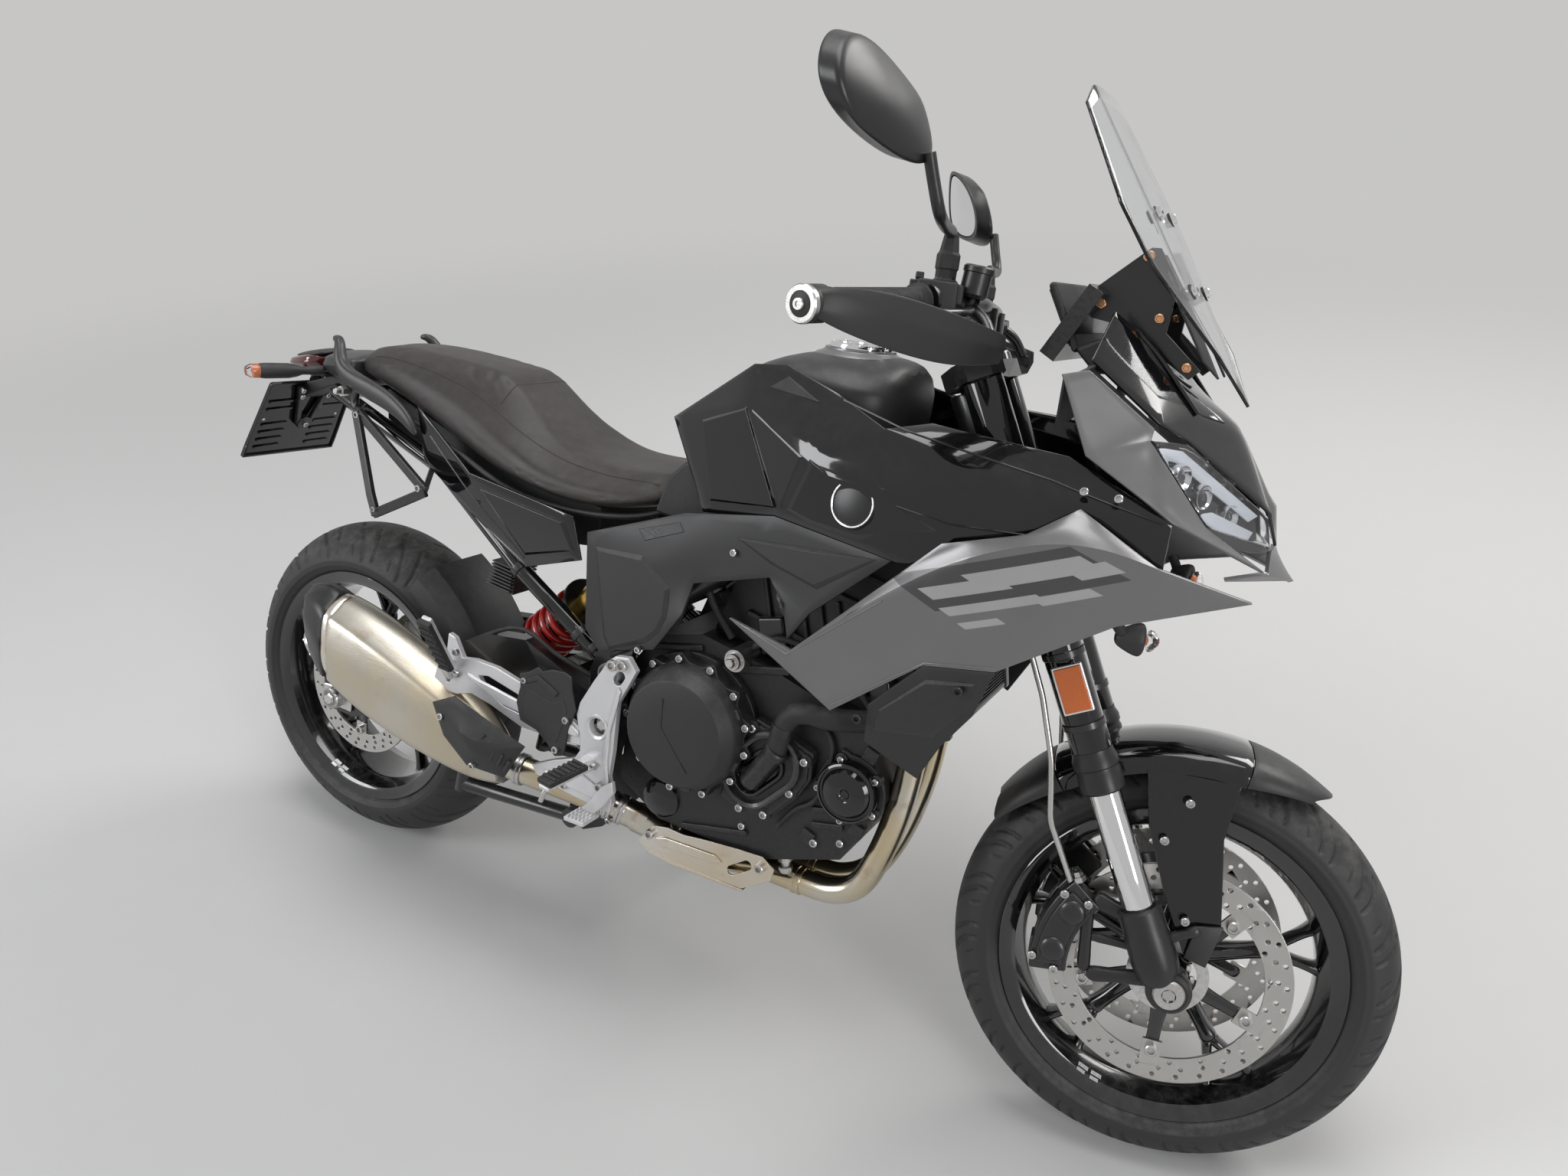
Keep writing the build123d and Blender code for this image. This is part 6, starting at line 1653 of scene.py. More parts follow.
# %% [markdown]
# The silencer's skin has a ridge along its upper third and a softer one below. Each is a creased line of
# the cage, so the surface stays smooth between them.


# %% Silencer
def silencer_ring(x, y_in, y_out, low, high):
    tall, wide = high - low, y_in - y_out
    return [(x, y_in, low + tall * 0.25), (x, y_in, high - tall * 0.25), (x, y_in - wide * 0.28, high),
            (x, y_out + wide * 0.42, high - tall * 0.01), (x, y_out + wide * 0.10, high - tall * 0.17),
            (x, y_out, high - tall * 0.48), (x, y_out + wide * 0.06, low + tall * 0.16),
            (x, y_out + wide * 0.36, low),
            (x, y_in - wide * 0.30, low)]


def silencer_body(name, rows, material, level, creased, thick_caps=True):
    bm = bmesh.new()
    made = strips(bm, [[Vector(p) for p in silencer_ring(*row)] for row in rows], caps=thick_caps)
    layer = bm.edges.layers.float.new("crease_edge")
    for near, far in zip(made, made[1:]):
        for index, strength in creased:
            bm.edges.get((near[index], far[index]))[layer] = strength
    for row in (made[0], made[-1]):
        for near, far in zip(row, row[1:] + row[:1]):
            bm.edges.get((near, far))[layer] = 0.9
    obj = from_bmesh(name, bm, "chassis", material, 60)
    smooth = obj.modifiers.new("Smooth skin", "SUBSURF")
    smooth.levels = smooth.render_levels = level
    return obj


skin_rows = [(470, -163, -218, 306, 380), (440, -150, -226, 298, 408), (400, -140, -231, 294, 432),
             (330, -136, -238, 302, 470),
             (260, -135, -243, 316, 502), (200, -135, -246, 334, 524), (150, -135, -247, 352, 540),
             (98, -138, -245, 378, 550)]
skin = silencer_body("silencer_skin", skin_rows, SILENCER, 3, ((4, 0.85), (6, 0.5), (2, 0.4)))
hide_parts("muffler")
band_rows = [(104, -137, -246, 376, 552), (92, -137, -246.5, 380, 554), (88, -139, -244, 384, 554)]
silencer_body("silencer_band", band_rows, SHIELD_STEEL, 2, ((4, 0.85),))
cap_rows = [(90, -138, -246, 384, 556), (74, -142, -243, 392, 563), (58, -146, -238, 404, 566),
            (30, -158, -228, 440, 562),
            (22, -164, -222, 456, 558)]
cap = silencer_body("silencer_cap", cap_rows, SMOOTH_PLASTIC, 2, ((4, 1.0), (5, 0.8), (6, 1.0), (3, 0.8),
        (7, 0.8)))
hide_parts("muffler_trim")
outlet = [(0, -16), (18, -16), (22, 0), (26, 4), (30, 5), (33, 3), (34, -2), (34, -24)]
lathe("tail_pipe", (30, -196, 446), (-0.82, -0.3, -0.5), outlet, "chassis", STEEL, 48)
turns = [math.radians(20 + 60 * k) for k in range(6)]
aim = Vector((-0.82, -0.3, -0.5)).normalized()
across = aim.orthogonal().normalized()
over = aim.cross(across)
spots = [(Vector((30, -196, 446)) + aim * 4 + (across * math.cos(a) + over * math.sin(a)) * 28, aim, 3.5)
         for a in turns]
bolts("tail_pipe_bolts", spots, "chassis")
SHIELD = {"a": (362, -250, 442), "b": (410, -252, 466), "c": (548, -238, 412), "d": (506, -236, 344),
          "e": (436, -248, 350),
          "f": (388, -251, 390), "h": (450, -264, 408), "i": (424, -262, 420), "j": (500, -252, 398),
          "k": (462, -260, 372)}
shell("silencer_shield", SHIELD, "abi bchi cdjh dekj efik fai hjk hki".replace("cdjh", "cdj hcj"), "chassis",
      MOULDED,
      "hj hi ik kj jc jd", thick=4.0, both=False, level=2, angle=20)
bolts("shield_bolts", [((386, -254, 424), (0, -1, 0.2), 6), ((452, -250, 356), (0, -1, -0.2), 6)], "chassis")
bm = bmesh.new()
for k in range(5):
    boxed(bm, (470 + k * 12, -254 + k * 2.6, 404 - k * 8), (5, 5, 34 - k * 3),
          Matrix.Rotation(math.radians(28), 3, "Y"))
from_bmesh("silencer_shield_ribs", bm, "chassis", MOULDED, 30, 1.5)

# %% [markdown]
# ## Seat
# The seat is firm foam under one stretched vinyl cover, stepped between rider and passenger. A simple cage
# gives its shape. The cage is remeshed finely, then cloth pressure from inside swells it a few millimetres,
# so that it crowns between its edges as foam does. The base is held, because it lies on the tray.

# %% Vinyl
VINYL = finish("Seat vinyl", (0.032, 0.028, 0.026), 0.47, grain=1000, depth=0.34, wear_and_edge_highlight=0.06, dust=0.05,
               varied=0.10,
               rubbed_and_highlit=(0.060, 0.055, 0.052), specular=0.42)

SEAT_ROWS = [
    (6, [(0, 960), (44, 959), (70, 950), (76, 940), (66, 925), (0, 925)]),
    (34, [(0, 978), (60, 975), (86, 960), (94, 942), (80, 918), (0, 918)]),
    (100, [(0, 982), (70, 979), (102, 955), (110, 934), (92, 904), (0, 904)]),
    (220, [(0, 976), (72, 973), (118, 928), (128, 900), (104, 862), (0, 862)]),
    (312, [(0, 967), (70, 964), (124, 900), (136, 868), (110, 822), (0, 822)]),
    (346, [(0, 961), (62, 958), (126, 884), (139, 852), (112, 810), (0, 810)]),
    (392, [(0, 926), (66, 922), (130, 864), (144, 832), (112, 800), (0, 800)]),
    (448, [(0, 881), (86, 877), (138, 844), (151, 816), (112, 792), (0, 792)]),
    (510, [(0, 857), (96, 853), (142, 830), (154, 806), (112, 786), (0, 786)]),
    (580, [(0, 852), (98, 848), (142, 826), (154, 804), (112, 784), (0, 784)]),
    (650, [(0, 856), (92, 851), (134, 832), (146, 812), (106, 798), (0, 798)]),
    (702, [(0, 862), (84, 856), (116, 842), (126, 826), (94, 812), (0, 812)]),
    (726, [(0, 862), (76, 857), (100, 848), (108, 834), (84, 822), (0, 822)])]
cage = lofted("seat_cage", SEAT_ROWS, "chassis", VINYL, 3, (1, 2))


# %% Swelling
def evaluated(obj):
    bpy.context.view_layer.update()
    return bpy.data.meshes.new_from_object(obj.evaluated_get(bpy.context.evaluated_depsgraph_get()))


def swollen(name, cage, voxel, cap, held):
    """A copy of a closed form, remeshed and swelled with cloth by no more than a cap, in metres."""
    pad = bpy.data.objects.new(name, evaluated(cage))
    bpy.context.scene.collection.objects.link(pad)
    remesh = pad.modifiers.new("Even mesh", "REMESH")
    remesh.mode, remesh.voxel_size = "VOXEL", voxel
    pad.data = evaluated(pad)
    pad.modifiers.clear()
    count = len(pad.data.vertices)
    before = np.zeros(count * 3, np.float32)
    pad.data.vertices.foreach_get("co", before)
    group = pad.vertex_groups.new(name="held")
    group.add([v.index for v in pad.data.vertices if held(v)], 1.0, "REPLACE")
    cloth = pad.modifiers.new("Swell", "CLOTH")
    cloth.settings.use_pressure, cloth.settings.uniform_pressure_force = True, 4.0
    cloth.settings.tension_stiffness = cloth.settings.compression_stiffness = 18
    cloth.settings.effector_weights.gravity = 0.0
    cloth.settings.vertex_group_mass = "held"
    cloth.point_cache.frame_start, cloth.point_cache.frame_end = 1, 20
    for step in range(1, 21):
        bpy.context.scene.frame_set(step)
    swelled = evaluated(pad)
    pad.modifiers.clear()
    after = np.zeros(count * 3, np.float32)
    swelled.vertices.foreach_get("co", after)
    move = (after - before).reshape(-1, 3)
    far = np.maximum(np.linalg.norm(move, axis=1, keepdims=True), 1e-9)
    move *= np.minimum(1.0, cap / far)
    pad.data.vertices.foreach_set("co", (before + move.ravel()).astype(np.float32))
    bpy.context.scene.frame_set(1)
    print(name, "swelled by up to", round(float(min(far.max(), cap)) * 1000, 1), "mm")
    for face in pad.data.polygons:
        face.use_smooth = True
    return pad


UPRIGHT = STANDING.inverted()
seat = swollen("seat_cover", cage, 0.006, 0.004,
               lambda v: (UPRIGHT.to_3x3() @ v.normal).normalized().z < -0.5)
seat.data.materials.clear()
seat.data.materials.append(VINYL)
smoothed(seat, 1)
bpy.data.objects.remove(cage)
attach(seat, "chassis")
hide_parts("seat")
print("seat:", len(seat.data.vertices), "points")

# %% [markdown]
# The cover is sewn along the step and down each side. A seam is two fine ridges with a valley, so a thin
# welt laid on the surface reads as one. Its line is found by dropping points onto the finished cover.


# %% Seams
def laid_on(obj, points, drop, lift):
    """Points dropped onto a piece along a way, and lifted a little off it, in upright millimetres."""
    bpy.context.view_layer.update()
    surface = obj.evaluated_get(bpy.context.evaluated_depsgraph_get())
    way = (STANDING.to_3x3() @ Vector(drop)).normalized()
    line = []
    for point in points:
        hit, place, normal, _ = surface.ray_cast(STANDING @ Vector(point), way)
        if hit:
            line.append(UPRIGHT @ (place + normal * lift * MM))
    return line


def seam(name, points, drop):
    line = laid_on(seat, points, drop, -0.2)
    if len(line) > 2:
        pipe(name, line, 1.1, "chassis", VINYL, sides=6, turns=3)


for side, tag in SIDES:
    seam("seat_seam_" + tag, [(x, side * (86 + 0.07 * (x - 60) - 0.00006 * (x - 60) ** 2), 1100)
                              for x in range(60, 700, 24)],
         (0, 0, -1))
seam("seat_seam_step", [(362 - 0.0011 * y * y, y, 1100) for y in range(-92, 93, 8)], (0, 0, -1))
edge = [(40, 92, 914), (160, 112, 872), (300, 122, 826), (400, 124, 790), (520, 124, 778), (640, 118, 788),
        (716, 96, 812)]
for side, tag in SIDES:
    pipe("seat_pan_edge_" + tag, [(x, side * y, z) for x, y, z in edge], 5, "chassis", MOULDED)

filler = [(690, 806), (736, 800), (800, 820), (826, 868), (800, 900), (738, 892), (708, 862)]
plate("seat_front_filler", [(filler, -128, 128)], "chassis", MOULDED, 6.0)

# %% [markdown]
# ## Tail
# Satin grey tops, gloss flanks and anthracite grab handles cover the rear frame. The hooked handles are
# bars of changing section. The louvred plate holder is a flat moulding with raised slats, a fold round its
# rim and a bolted bracket. Its plate area is blank.

# %% Tail cover and lamp
ANTHRACITE = finish("Anthracite moulding", (0.040, 0.039, 0.040), 0.38, metal=0.25, grain=1300, depth=0.15,
                    wear_and_edge_highlight=0.2)
hump = lofted("tail_cover", [
    (-118, [(0, 950), (40, 948), (64, 940), (70, 926), (62, 906), (0, 902)]),
    (-60, [(0, 956), (44, 954), (74, 943), (82, 928), (66, 903), (0, 898)]),
    (-6, [(0, 958), (50, 956), (86, 946), (94, 930), (72, 900), (0, 895)]),
    (6, [(0, 955), (50, 953), (84, 944), (92, 930), (72, 901), (0, 897)])], "chassis", ANTHRACITE, 2, (2, 3))
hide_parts("tail_unit")
DARK_RED = finish("Smoked red lens", (0.075, 0.004, 0.004), 0.10, coat=1.0, wear_and_edge_highlight=0.0, dust=0.05, varied=0.2)
lens = lofted("tail_lamp", [
    (-231, [(0, 926), (24, 925), (42, 920), (45, 914), (40, 906), (0, 903)]),
    (-190, [(0, 936), (30, 934), (50, 927), (54, 918), (48, 904), (0, 901)]),
    (-121, [(0, 951), (38, 949), (62, 941), (66, 928), (60, 908), (0, 900)])], "chassis", DARK_RED, 2, (2, 3))
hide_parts("tail_light")
lofted("tail_lamp_hood", [
    (-226, [(0, 931), (20, 930), (32, 926), (30, 923), (0, 926)]),
    (-180, [(0, 943), (28, 941), (44, 934), (42, 930), (0, 934)]),
    (-112, [(0, 956), (36, 954), (58, 945), (56, 938), (0, 944)])], "chassis", MOULDED, 2, ())
bm = bmesh.new()
for k in range(5):
    boxed(bm, (-128 - k * 20, 0, 899.5 + k * 0.5), (3, 90 - 8 * k, 4))
from_bmesh("tail_underside_ribs", bm, "chassis", MOULDED, 30, 0.8)


# %% Plate holder
def frame_on(centre, across, up):
    """A frame whose x runs across, z up and y out of a tilted face."""
    across, up = Vector(across).normalized(), Vector(up).normalized()
    return Matrix.Translation(centre) @ Matrix((across, up.cross(across), up)).transposed().to_4x4()


PLATE_AT = frame_on((-244, 0, 803.5), (0, 1, 0), (84, 0, 153))
board = [(-105, -86), (105, -86), (105, -60), (98, 84), (94, 87), (-94, 87), (-98, 84), (-105, -60)]
holes = [circle(84, 0, 3.5, 16), circle(-84, 0, 3.5, 16)]
holder = pierced("plate_holder", board, holes, -1.5, 3.5, "chassis", GLOSS_BLACK, 0.6, PLATE_AT)
lip = []
for (xa, za), (xb, zb) in zip(board, board[1:] + board[:1]):
    inner = [(xb * 0.965, zb * 0.958), (xa * 0.965, za * 0.958)]
    lip.append(([(xa, za), (xb, zb), *inner], -6, 0))
plate("plate_holder_rim", lip, "chassis", GLOSS_BLACK, 0.8, PLATE_AT)
slats = []
for column in (-58, 58):
    for k in range(7):
        z = -66 + 18 * k
        if abs(z) > 8:
            slats.append((stadium((column - 26, z), (column + 26, z + 2), 3.0, 4), -5, 5))
plate("plate_holder_louvres", slats, "chassis", GLOSS_BLACK, 1.2, PLATE_AT)
arms = []
for side in (-1, 1):
    arms.append(([(side * 8, -10), (side * 17, -6), (side * 40, 80), (side * 26, 82)], -14, -5))
plate("plate_bracket", arms + [(circle(0, -6, 15, 20), -16, -4), ([(-24, 60), (24, 60), (22, 74), (-22, 74)],
        -12, -5)],
      "chassis", FRAME_BLACK, 1.5, PLATE_AT)
spots = [(PLATE_AT @ Vector(p), PLATE_AT.to_3x3() @ Vector((0, -1, 0)), 5.5)
         for p in ((0, -16, -6), (30, -14, 62), (-30, -14, 62), (33, -14, 76), (-33, -14, 76))]
bolts("plate_bracket_bolts", spots, "chassis")
arm = [(-205, 876), (-122, 902), (-60, 900), (-64, 886), (-130, 880), (-212, 846)]
plate("plate_holder_arm", [(arm, -22, 22)], "chassis", MOULDED, 3.0)
lathe("plate_lamp", (-196, 0, 886), (-0.75, 0, -0.6), [(12, -14), (14, 0), (13, 6), (10, 8), (0, 8)],
      "chassis", MOULDED, 4, 20)
regulator = []
for k in range(8):
    regulator.append(([(352 - 2 * k, 655 - 6 * k), (398 - k, 640 - 6 * k + 8), (399 - k, 637 - 6 * k + 8),
                       (352 - 2 * k, 652 - 6 * k)],
                      -104, -40))
plate("charge_regulator", [([(350, 652), (396, 642), (392, 598), (350, 606)], -96, -50)] + regulator,
      "chassis", FRAME_BLACK, 1.0)

# %% Grab handles and luggage brackets
def grab_handle(side, tag):
    stations = [((206, 132, 846), 10, 7), ((180, 131, 876), 22, 8), ((120, 126, 900), 30, 9),
                ((60, 122, 913), 30, 11),
                ((26, 122, 926), 26, 12), ((8, 120, 946), 19, 12), ((2, 114, 968), 16, 11),
                ((-8, 106, 984), 14, 9),
                ((-26, 102, 982), 9, 7)]
    bm = bmesh.new()
    rings = []
    for k, ((x, y, z), wide, deep) in enumerate(stations):
        before, after = Vector(stations[max(k - 1, 0)][0]), Vector(stations[min(k + 1, len(stations) - 1)][0])
        way = (after - before).normalized()
        flat = Vector((0, 1, 0))
        up = way.cross(flat).normalized()
        centre = Vector((x, y, z))
        shape = [(-0.5, 0.5), (0.5, 0.5), (0.62, 0.0), (0.5, -0.5), (-0.5, -0.5), (-0.62, 0.0)]
        rings.append([Vector((p.x, side * p.y, p.z)) for p in (centre + up * wide * a + flat * deep * 2 * b
            for a, b in shape)])
    strips(bm, rings)
    handle = from_bmesh("grab_handle_" + tag, bm, "chassis", ANTHRACITE, 60)
    smoothed(handle, 3)
    if side < 0:
        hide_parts("luggage_rails")
    foot = [(0, 16), (5, 16), (6, 13), (6, 4), (9, 4), (9, -22), (0, -22)]
    lathe("handle_bolt_" + tag, (34, side * 138, 899), (0, side, 0), foot, "chassis", STEEL, 6, 20)
    pipe("handle_bar_" + tag, [(6, side * 84, 868), (34, side * 112, 884), (56, side * 124, 906)], 8,
         "chassis", FRAME_BLACK)


def luggage_bracket(side, tag):
    beam = [((36, 96, 868), (62, 128, 866)), ((62, 128, 866), (262, 170, 768)),
            ((62, 132, 864), (132, 166, 738)),
            ((132, 166, 738), (150, 172, 708)), ((150, 172, 708), (262, 172, 764)),
            ((262, 170, 768), (216, 106, 793))]
    bm = bmesh.new()
    for start, end in beam:
        start, end = Vector(start) * Vector((1, side, 1)), Vector(end) * Vector((1, side, 1))
        way = (end - start).normalized()
        flat = Vector((0, 1, 0))
        up = way.cross(flat).normalized()
        flat = up.cross(way)
        corners = [(8, 4.5), (8, -4.5), (-8, -4.5), (-8, 4.5)]
        strips(bm, [[p + up * a + flat * b for a, b in corners] for p in (start - way * 4, end + way * 4)])
    from_bmesh("luggage_bracket_" + tag, bm, "chassis", FRAME_BLACK, 30, 1.6)
    bolts("luggage_bolts_" + tag, [((66, side * 134, 862), (0, side, 0), 6),
                                   ((252, side * 173, 770), (0, side, 0), 6),
                                   ((152, side * 177, 716), (0, side, 0), 5)], "chassis")


def rear_indicator(side, tag):
    start, end = Vector((-100, side * 64, 914)), Vector((-150, side * 190, 912))
    way = (end - start).normalized()
    long = (end - start).length
    stem = [(0, 0), (9, 0), (9, 18), (7.5, 26), (7.5, 38), (11, 48), (13.5, 62), (14, long - 34),
            (13, long - 24), (0, long - 24)]
    body = lathe("rear_indicator_" + tag, start, way, stem, "chassis", MOULDED, 32, 40)
    tip = [(12.6, long - 26), (13, long - 20), (12, long - 8), (8, long - 1), (0, long + 1)]
    lathe("rear_indicator_lens_" + tag, start, way, tip, "chassis", CLEAR, 32, 40)
    lathe("rear_indicator_bulb_" + tag, start, way, [(10, long - 25), (8, long - 14), (0, long - 10)],
          "chassis", AMBER, 24, 40)
    if side < 0:
        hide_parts("indicators")


def front_indicator(side, tag):
    front = Matrix.Translation((1428, side * 186, 800)) @ Matrix.Rotation(math.radians(22 * -side), 4, "Z")
    bm = bmesh.new()
    ring_rows = [(-30, 7, 8), (-18, 13, 15), (-4, 17, 22), (8, 17, 23)]
    strips(bm, [[front @ Vector((x, w * a, h * b))
                 for a, b in ((-1, 0), (-0.4, 1), (0.4, 1), (1, 0), (0.4, -1), (-0.4, -1))]
                for x, w, h in ring_rows])
    shade = from_bmesh("front_indicator_" + tag, bm, "chassis", MOULDED, 40)
    smoothed(shade, 2)
    bm = bmesh.new()
    strips(bm, [[front @ Vector((x, w * a, h * b)) for a, b in ((-1, 0), (0, 1), (1, 0), (0, -1))]
                for x, w, h in ((8, 16.5, 22), (14, 16, 21), (21, 10, 13), (24, 3, 4))])
    cover = from_bmesh("front_indicator_lens_" + tag, bm, "chassis", CLEAR, 30)
    cover.modifiers.new("Smooth form", "SUBSURF").levels = 1
    lathe("front_indicator_bulb_" + tag, front @ Vector((8, 0, 0)), front.to_3x3() @ Vector((1, 0, 0)),
          [(6, -2), (6, 1), (3, 5), (0, 6)], "chassis", AMBER, 20, 40)
    pipe("front_indicator_stalk_" + tag, [(1398, side * 205, 824), (1406, side * 200, 812),
                                          (1412, side * 192, 803)], 7, "chassis",
         RUBBER)


for side, tag in SIDES:
    for make in (grab_handle, luggage_bracket, rear_indicator, front_indicator):
        make(side, tag)

# %% [markdown]
# ## Footrests
# The rest plates are polished castings with pockets and a raised spine, and they are bright against the
# black engine. Flat plates with real holes carry bosses and spines on top. The pegs have rubber pads with
# ribs.


# %% Footrest plates
RIDER = [(678, 584), (690, 594), (714, 597), (729, 578), (714, 546), (699, 518), (695, 436), (690, 392),
         (698, 350),
         (694, 331), (640, 336), (604, 340), (545, 353), (537, 367), (580, 388), (622, 404), (632, 420),
         (630, 446),
         (622, 480), (628, 502), (652, 544)]
PASSENGER = [(352, 548), (366, 543), (384, 512), (410, 516), (456, 514), (522, 498), (600, 470), (636, 456),
             (634, 428),
             (566, 424), (512, 425), (444, 446), (404, 454), (372, 444), (338, 444), (320, 460), (328, 484),
             (346, 496)]
window = [(418, 490), (440, 494), (500, 480), (540, 464), (522, 446), (474, 452), (432, 470)]
BOLT_HEADS = [(688, 580, 9), (706, 584, 9), (676, 372, 8), (694, 374, 8), (606, 352, 6), (372, 520, 6)]
PLATE_FACE = 206.0


def rest_plates(side, tag):
    """Rider and passenger plates with their spines, sockets, bolt heads and spacers."""
    face = side * PLATE_FACE
    inward = 12.0 if side < 0 else -12.0
    plate_piece = pierced("rider_plate_" + tag, RIDER, [stadium((696, 556), (701, 564), 8),
                                                        circle(664, 470, 15, 28)], face,
                          inward, "chassis", SILVER_CAST, 2.2)
    pierced("passenger_plate_" + tag, PASSENGER, [window, circle(352, 466, 5, 14)], face - side * 1.0,
            inward * 0.9, "chassis",
            SILVER_CAST, 2.2)
    if side < 0:
        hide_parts("footrest_plates")
    out = sorted((face - side * 2, face + side * 4))
    spine = [(700, 548), (706, 540), (690, 470), (688, 420), (694, 374), (688, 374), (680, 420), (682, 470)]
    ridge = [(600, 470), (630, 452), (628, 442), (560, 446), (470, 456), (400, 482), (396, 492), (420, 486),
             (520, 470)]
    wedge = [(604, 352), (688, 346), (690, 362), (640, 384), (560, 366)]
    plate("plate_spines_" + tag, [(spine, *out), (ridge, *out), (wedge, *out)], "chassis", SILVER_CAST, 3.2)
    socket = [(15, -6), (15, 1), (19, 3), (20, 2), (20, -6)]
    lathe("plate_socket_" + tag, (664, face, 470), (0, side, 0), socket, "chassis", SILVER_CAST, 40)
    lathe("pivot_end_" + tag, (664, face - side * 14, 470), (0, side, 0),
          [(0, 6), (8, 6), (12, 3), (14, 0), (14, -4), (0, -4)],
          "chassis", STEEL, 6, 20)
    bolts("plate_bolts_" + tag, [((x, face + side * 1, z), (0, side, 0), r) for x, z, r in BOLT_HEADS],
          "chassis")
    for x, z in ((640, 437), (676, 560)):
        boss = [(0, 0), (17, 0), (18, 4), (18, 42), (18, 31), (0, 31)]
        lathe(f"plate_spacer_{tag}_{int(x)}", (x, side * 163, z), (0, side, 0), boss, "chassis",
              SILVER_CAST, 32)


def heel_guard(side, tag):
    face = side * PLATE_FACE
    guard_line = [(510, 520), (528, 527), (546, 540), (556, 535), (574, 543), (600, 545), (613, 540),
                  (616, 515), (624, 487),
                  (612, 452), (604, 404), (586, 398), (570, 416), (548, 432), (514, 440), (505, 470),
                  (512, 498)]
    depth = sorted((face + side * 1.0, face + side * 5.0))
    plate("heel_guard_" + tag, [(guard_line, *depth)], "chassis", MOULDED, 1.6)
    depth = sorted((face + side * 4.0, face + side * 8.0))
    raised = [([(520, 512), (550, 528), (590, 508), (584, 500), (548, 518), (522, 506)], *depth),
              ([(530, 500), (580, 488), (600, 500), (608, 480), (590, 424), (572, 426), (550, 440),
                (522, 448), (518, 470)],
               *sorted((face + side * 4.0, face + side * 6.0)))]
    plate("heel_guard_relief_" + tag, raised, "chassis", MOULDED, 1.6)
    bolts("heel_guard_bolts_" + tag, [((608, face + side * 6, 468), (0, side, 0), 6),
                                      ((590, face + side * 6, 412), (0, side, 0), 6),
                                      ((522, face + side * 6, 512), (0, side, 0), 5)], "chassis")


def pegs(side, tag):
    for kind, start, end, wide in (("rider", (652, 207, 406), (634, 296, 396), 32),
                                   ("passenger", (360, 207, 482), (382, 288, 598), 26)):
        start, end = Vector(start) * Vector((1, side, 1)), Vector(end) * Vector((1, side, 1))
        way = (end - start).normalized()
        top = Vector((0, 0, 1)) if kind == "rider" else Vector((0, side * 1.0, -0.5))
        over = way.cross(top).normalized()
        top = over.cross(way).normalized()
        turn = Matrix((way, over, top)).transposed()
        long = (end - start).length
        middle = (start + end) / 2
        bm = bmesh.new()
        boxed(bm, middle - top * 5, (long, wide * 0.72, 8), turn)
        boxed(bm, start + way * 6, (26, wide * 0.62, 22), turn)
        bar = from_bmesh(f"peg_{kind}_{tag}", bm, "chassis", SILVER_CAST, 30, 3.0, 3)
        if side < 0 and kind == "rider":
            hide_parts("footpegs")
        bm = bmesh.new()
        lift = top * 3
        boxed(bm, middle + way * 6 + lift, (long - 16, wide, 9), turn)
        for k in range(7):
            boxed(bm, start + way * (20 + k * (long - 28) / 6.6) + lift * 2.6, (5.5, wide * 0.92, 6), turn)
        from_bmesh(f"peg_rubber_{kind}_{tag}", bm, "chassis", RUBBER, 30, 2.2, 3)
        pin = [(0, -18), (5, -18), (6, -15), (6, 15), (5, 18), (0, 18)]
        lathe(f"peg_pin_{kind}_{tag}", start + way * 2, over, pin, "chassis", STEEL, 20, 24)
    pipe("peg_feeler_" + tag, [(636, side * 286, 392), (632, side * 290, 380), (628, side * 292, 366)], 4,
         "chassis", STEEL)


for side, tag in SIDES:
    for make in (rest_plates, heel_guard, pegs):
        make(side, tag)
arm = [(704, 392), (708, 374), (690, 346), (668, 322), (650, 318), (648, 330), (664, 346), (684, 378)]
plate("brake_pedal_arm", [(arm, -217, -207)], "chassis", SILVER_CAST, 2.0)
bm = bmesh.new()
boxed(bm, (658, -227, 322), (38, 42, 7))
for k in range(5):
    for j in range(4):
        boxed(bm, (644 + 7 * k, -243 + 10.5 * j, 326.5), (3.5, 6, 4))
from_bmesh("brake_pedal_pad", bm, "chassis", SILVER_CAST, 30, 0.9)
plate("gear_lever_arm", [([(684, 398), (684, 376), (800, 330), (803, 346)], 207, 214)], "chassis",
      SILVER_CAST, 2.0)
knurl = [(0, 0), (8, 0)] + [(10 if k % 2 else 8.6, 3 + k * 3) for k in range(10)] + [(8, 34), (0, 34)]
lathe("gear_lever_rubber", (793, 212, 338), (0, 1, 0), knurl, "chassis", RUBBER, 24, 24)
pipe("gear_rod", [(700, 216, 400), (740, 190, 470), (748, 152, 512)], 5, "chassis", STEEL, False)
lathe("stand_roller", (560, -120, 300), (0, -1, 0), [(0, 26), (6, 26), (7, 22), (17, 22), (18, 18), (18, 0),
                                                     (0, 0)], "chassis",
      STEEL, 40)

# %% [markdown]
# ## Frame, shock absorber and driveline
# The shock has a gold anodised body, a polished head and a red spring. Anodised metal keeps a metal's sheen
# under a clear dye, so its finish is fully metallic with a deep colour.

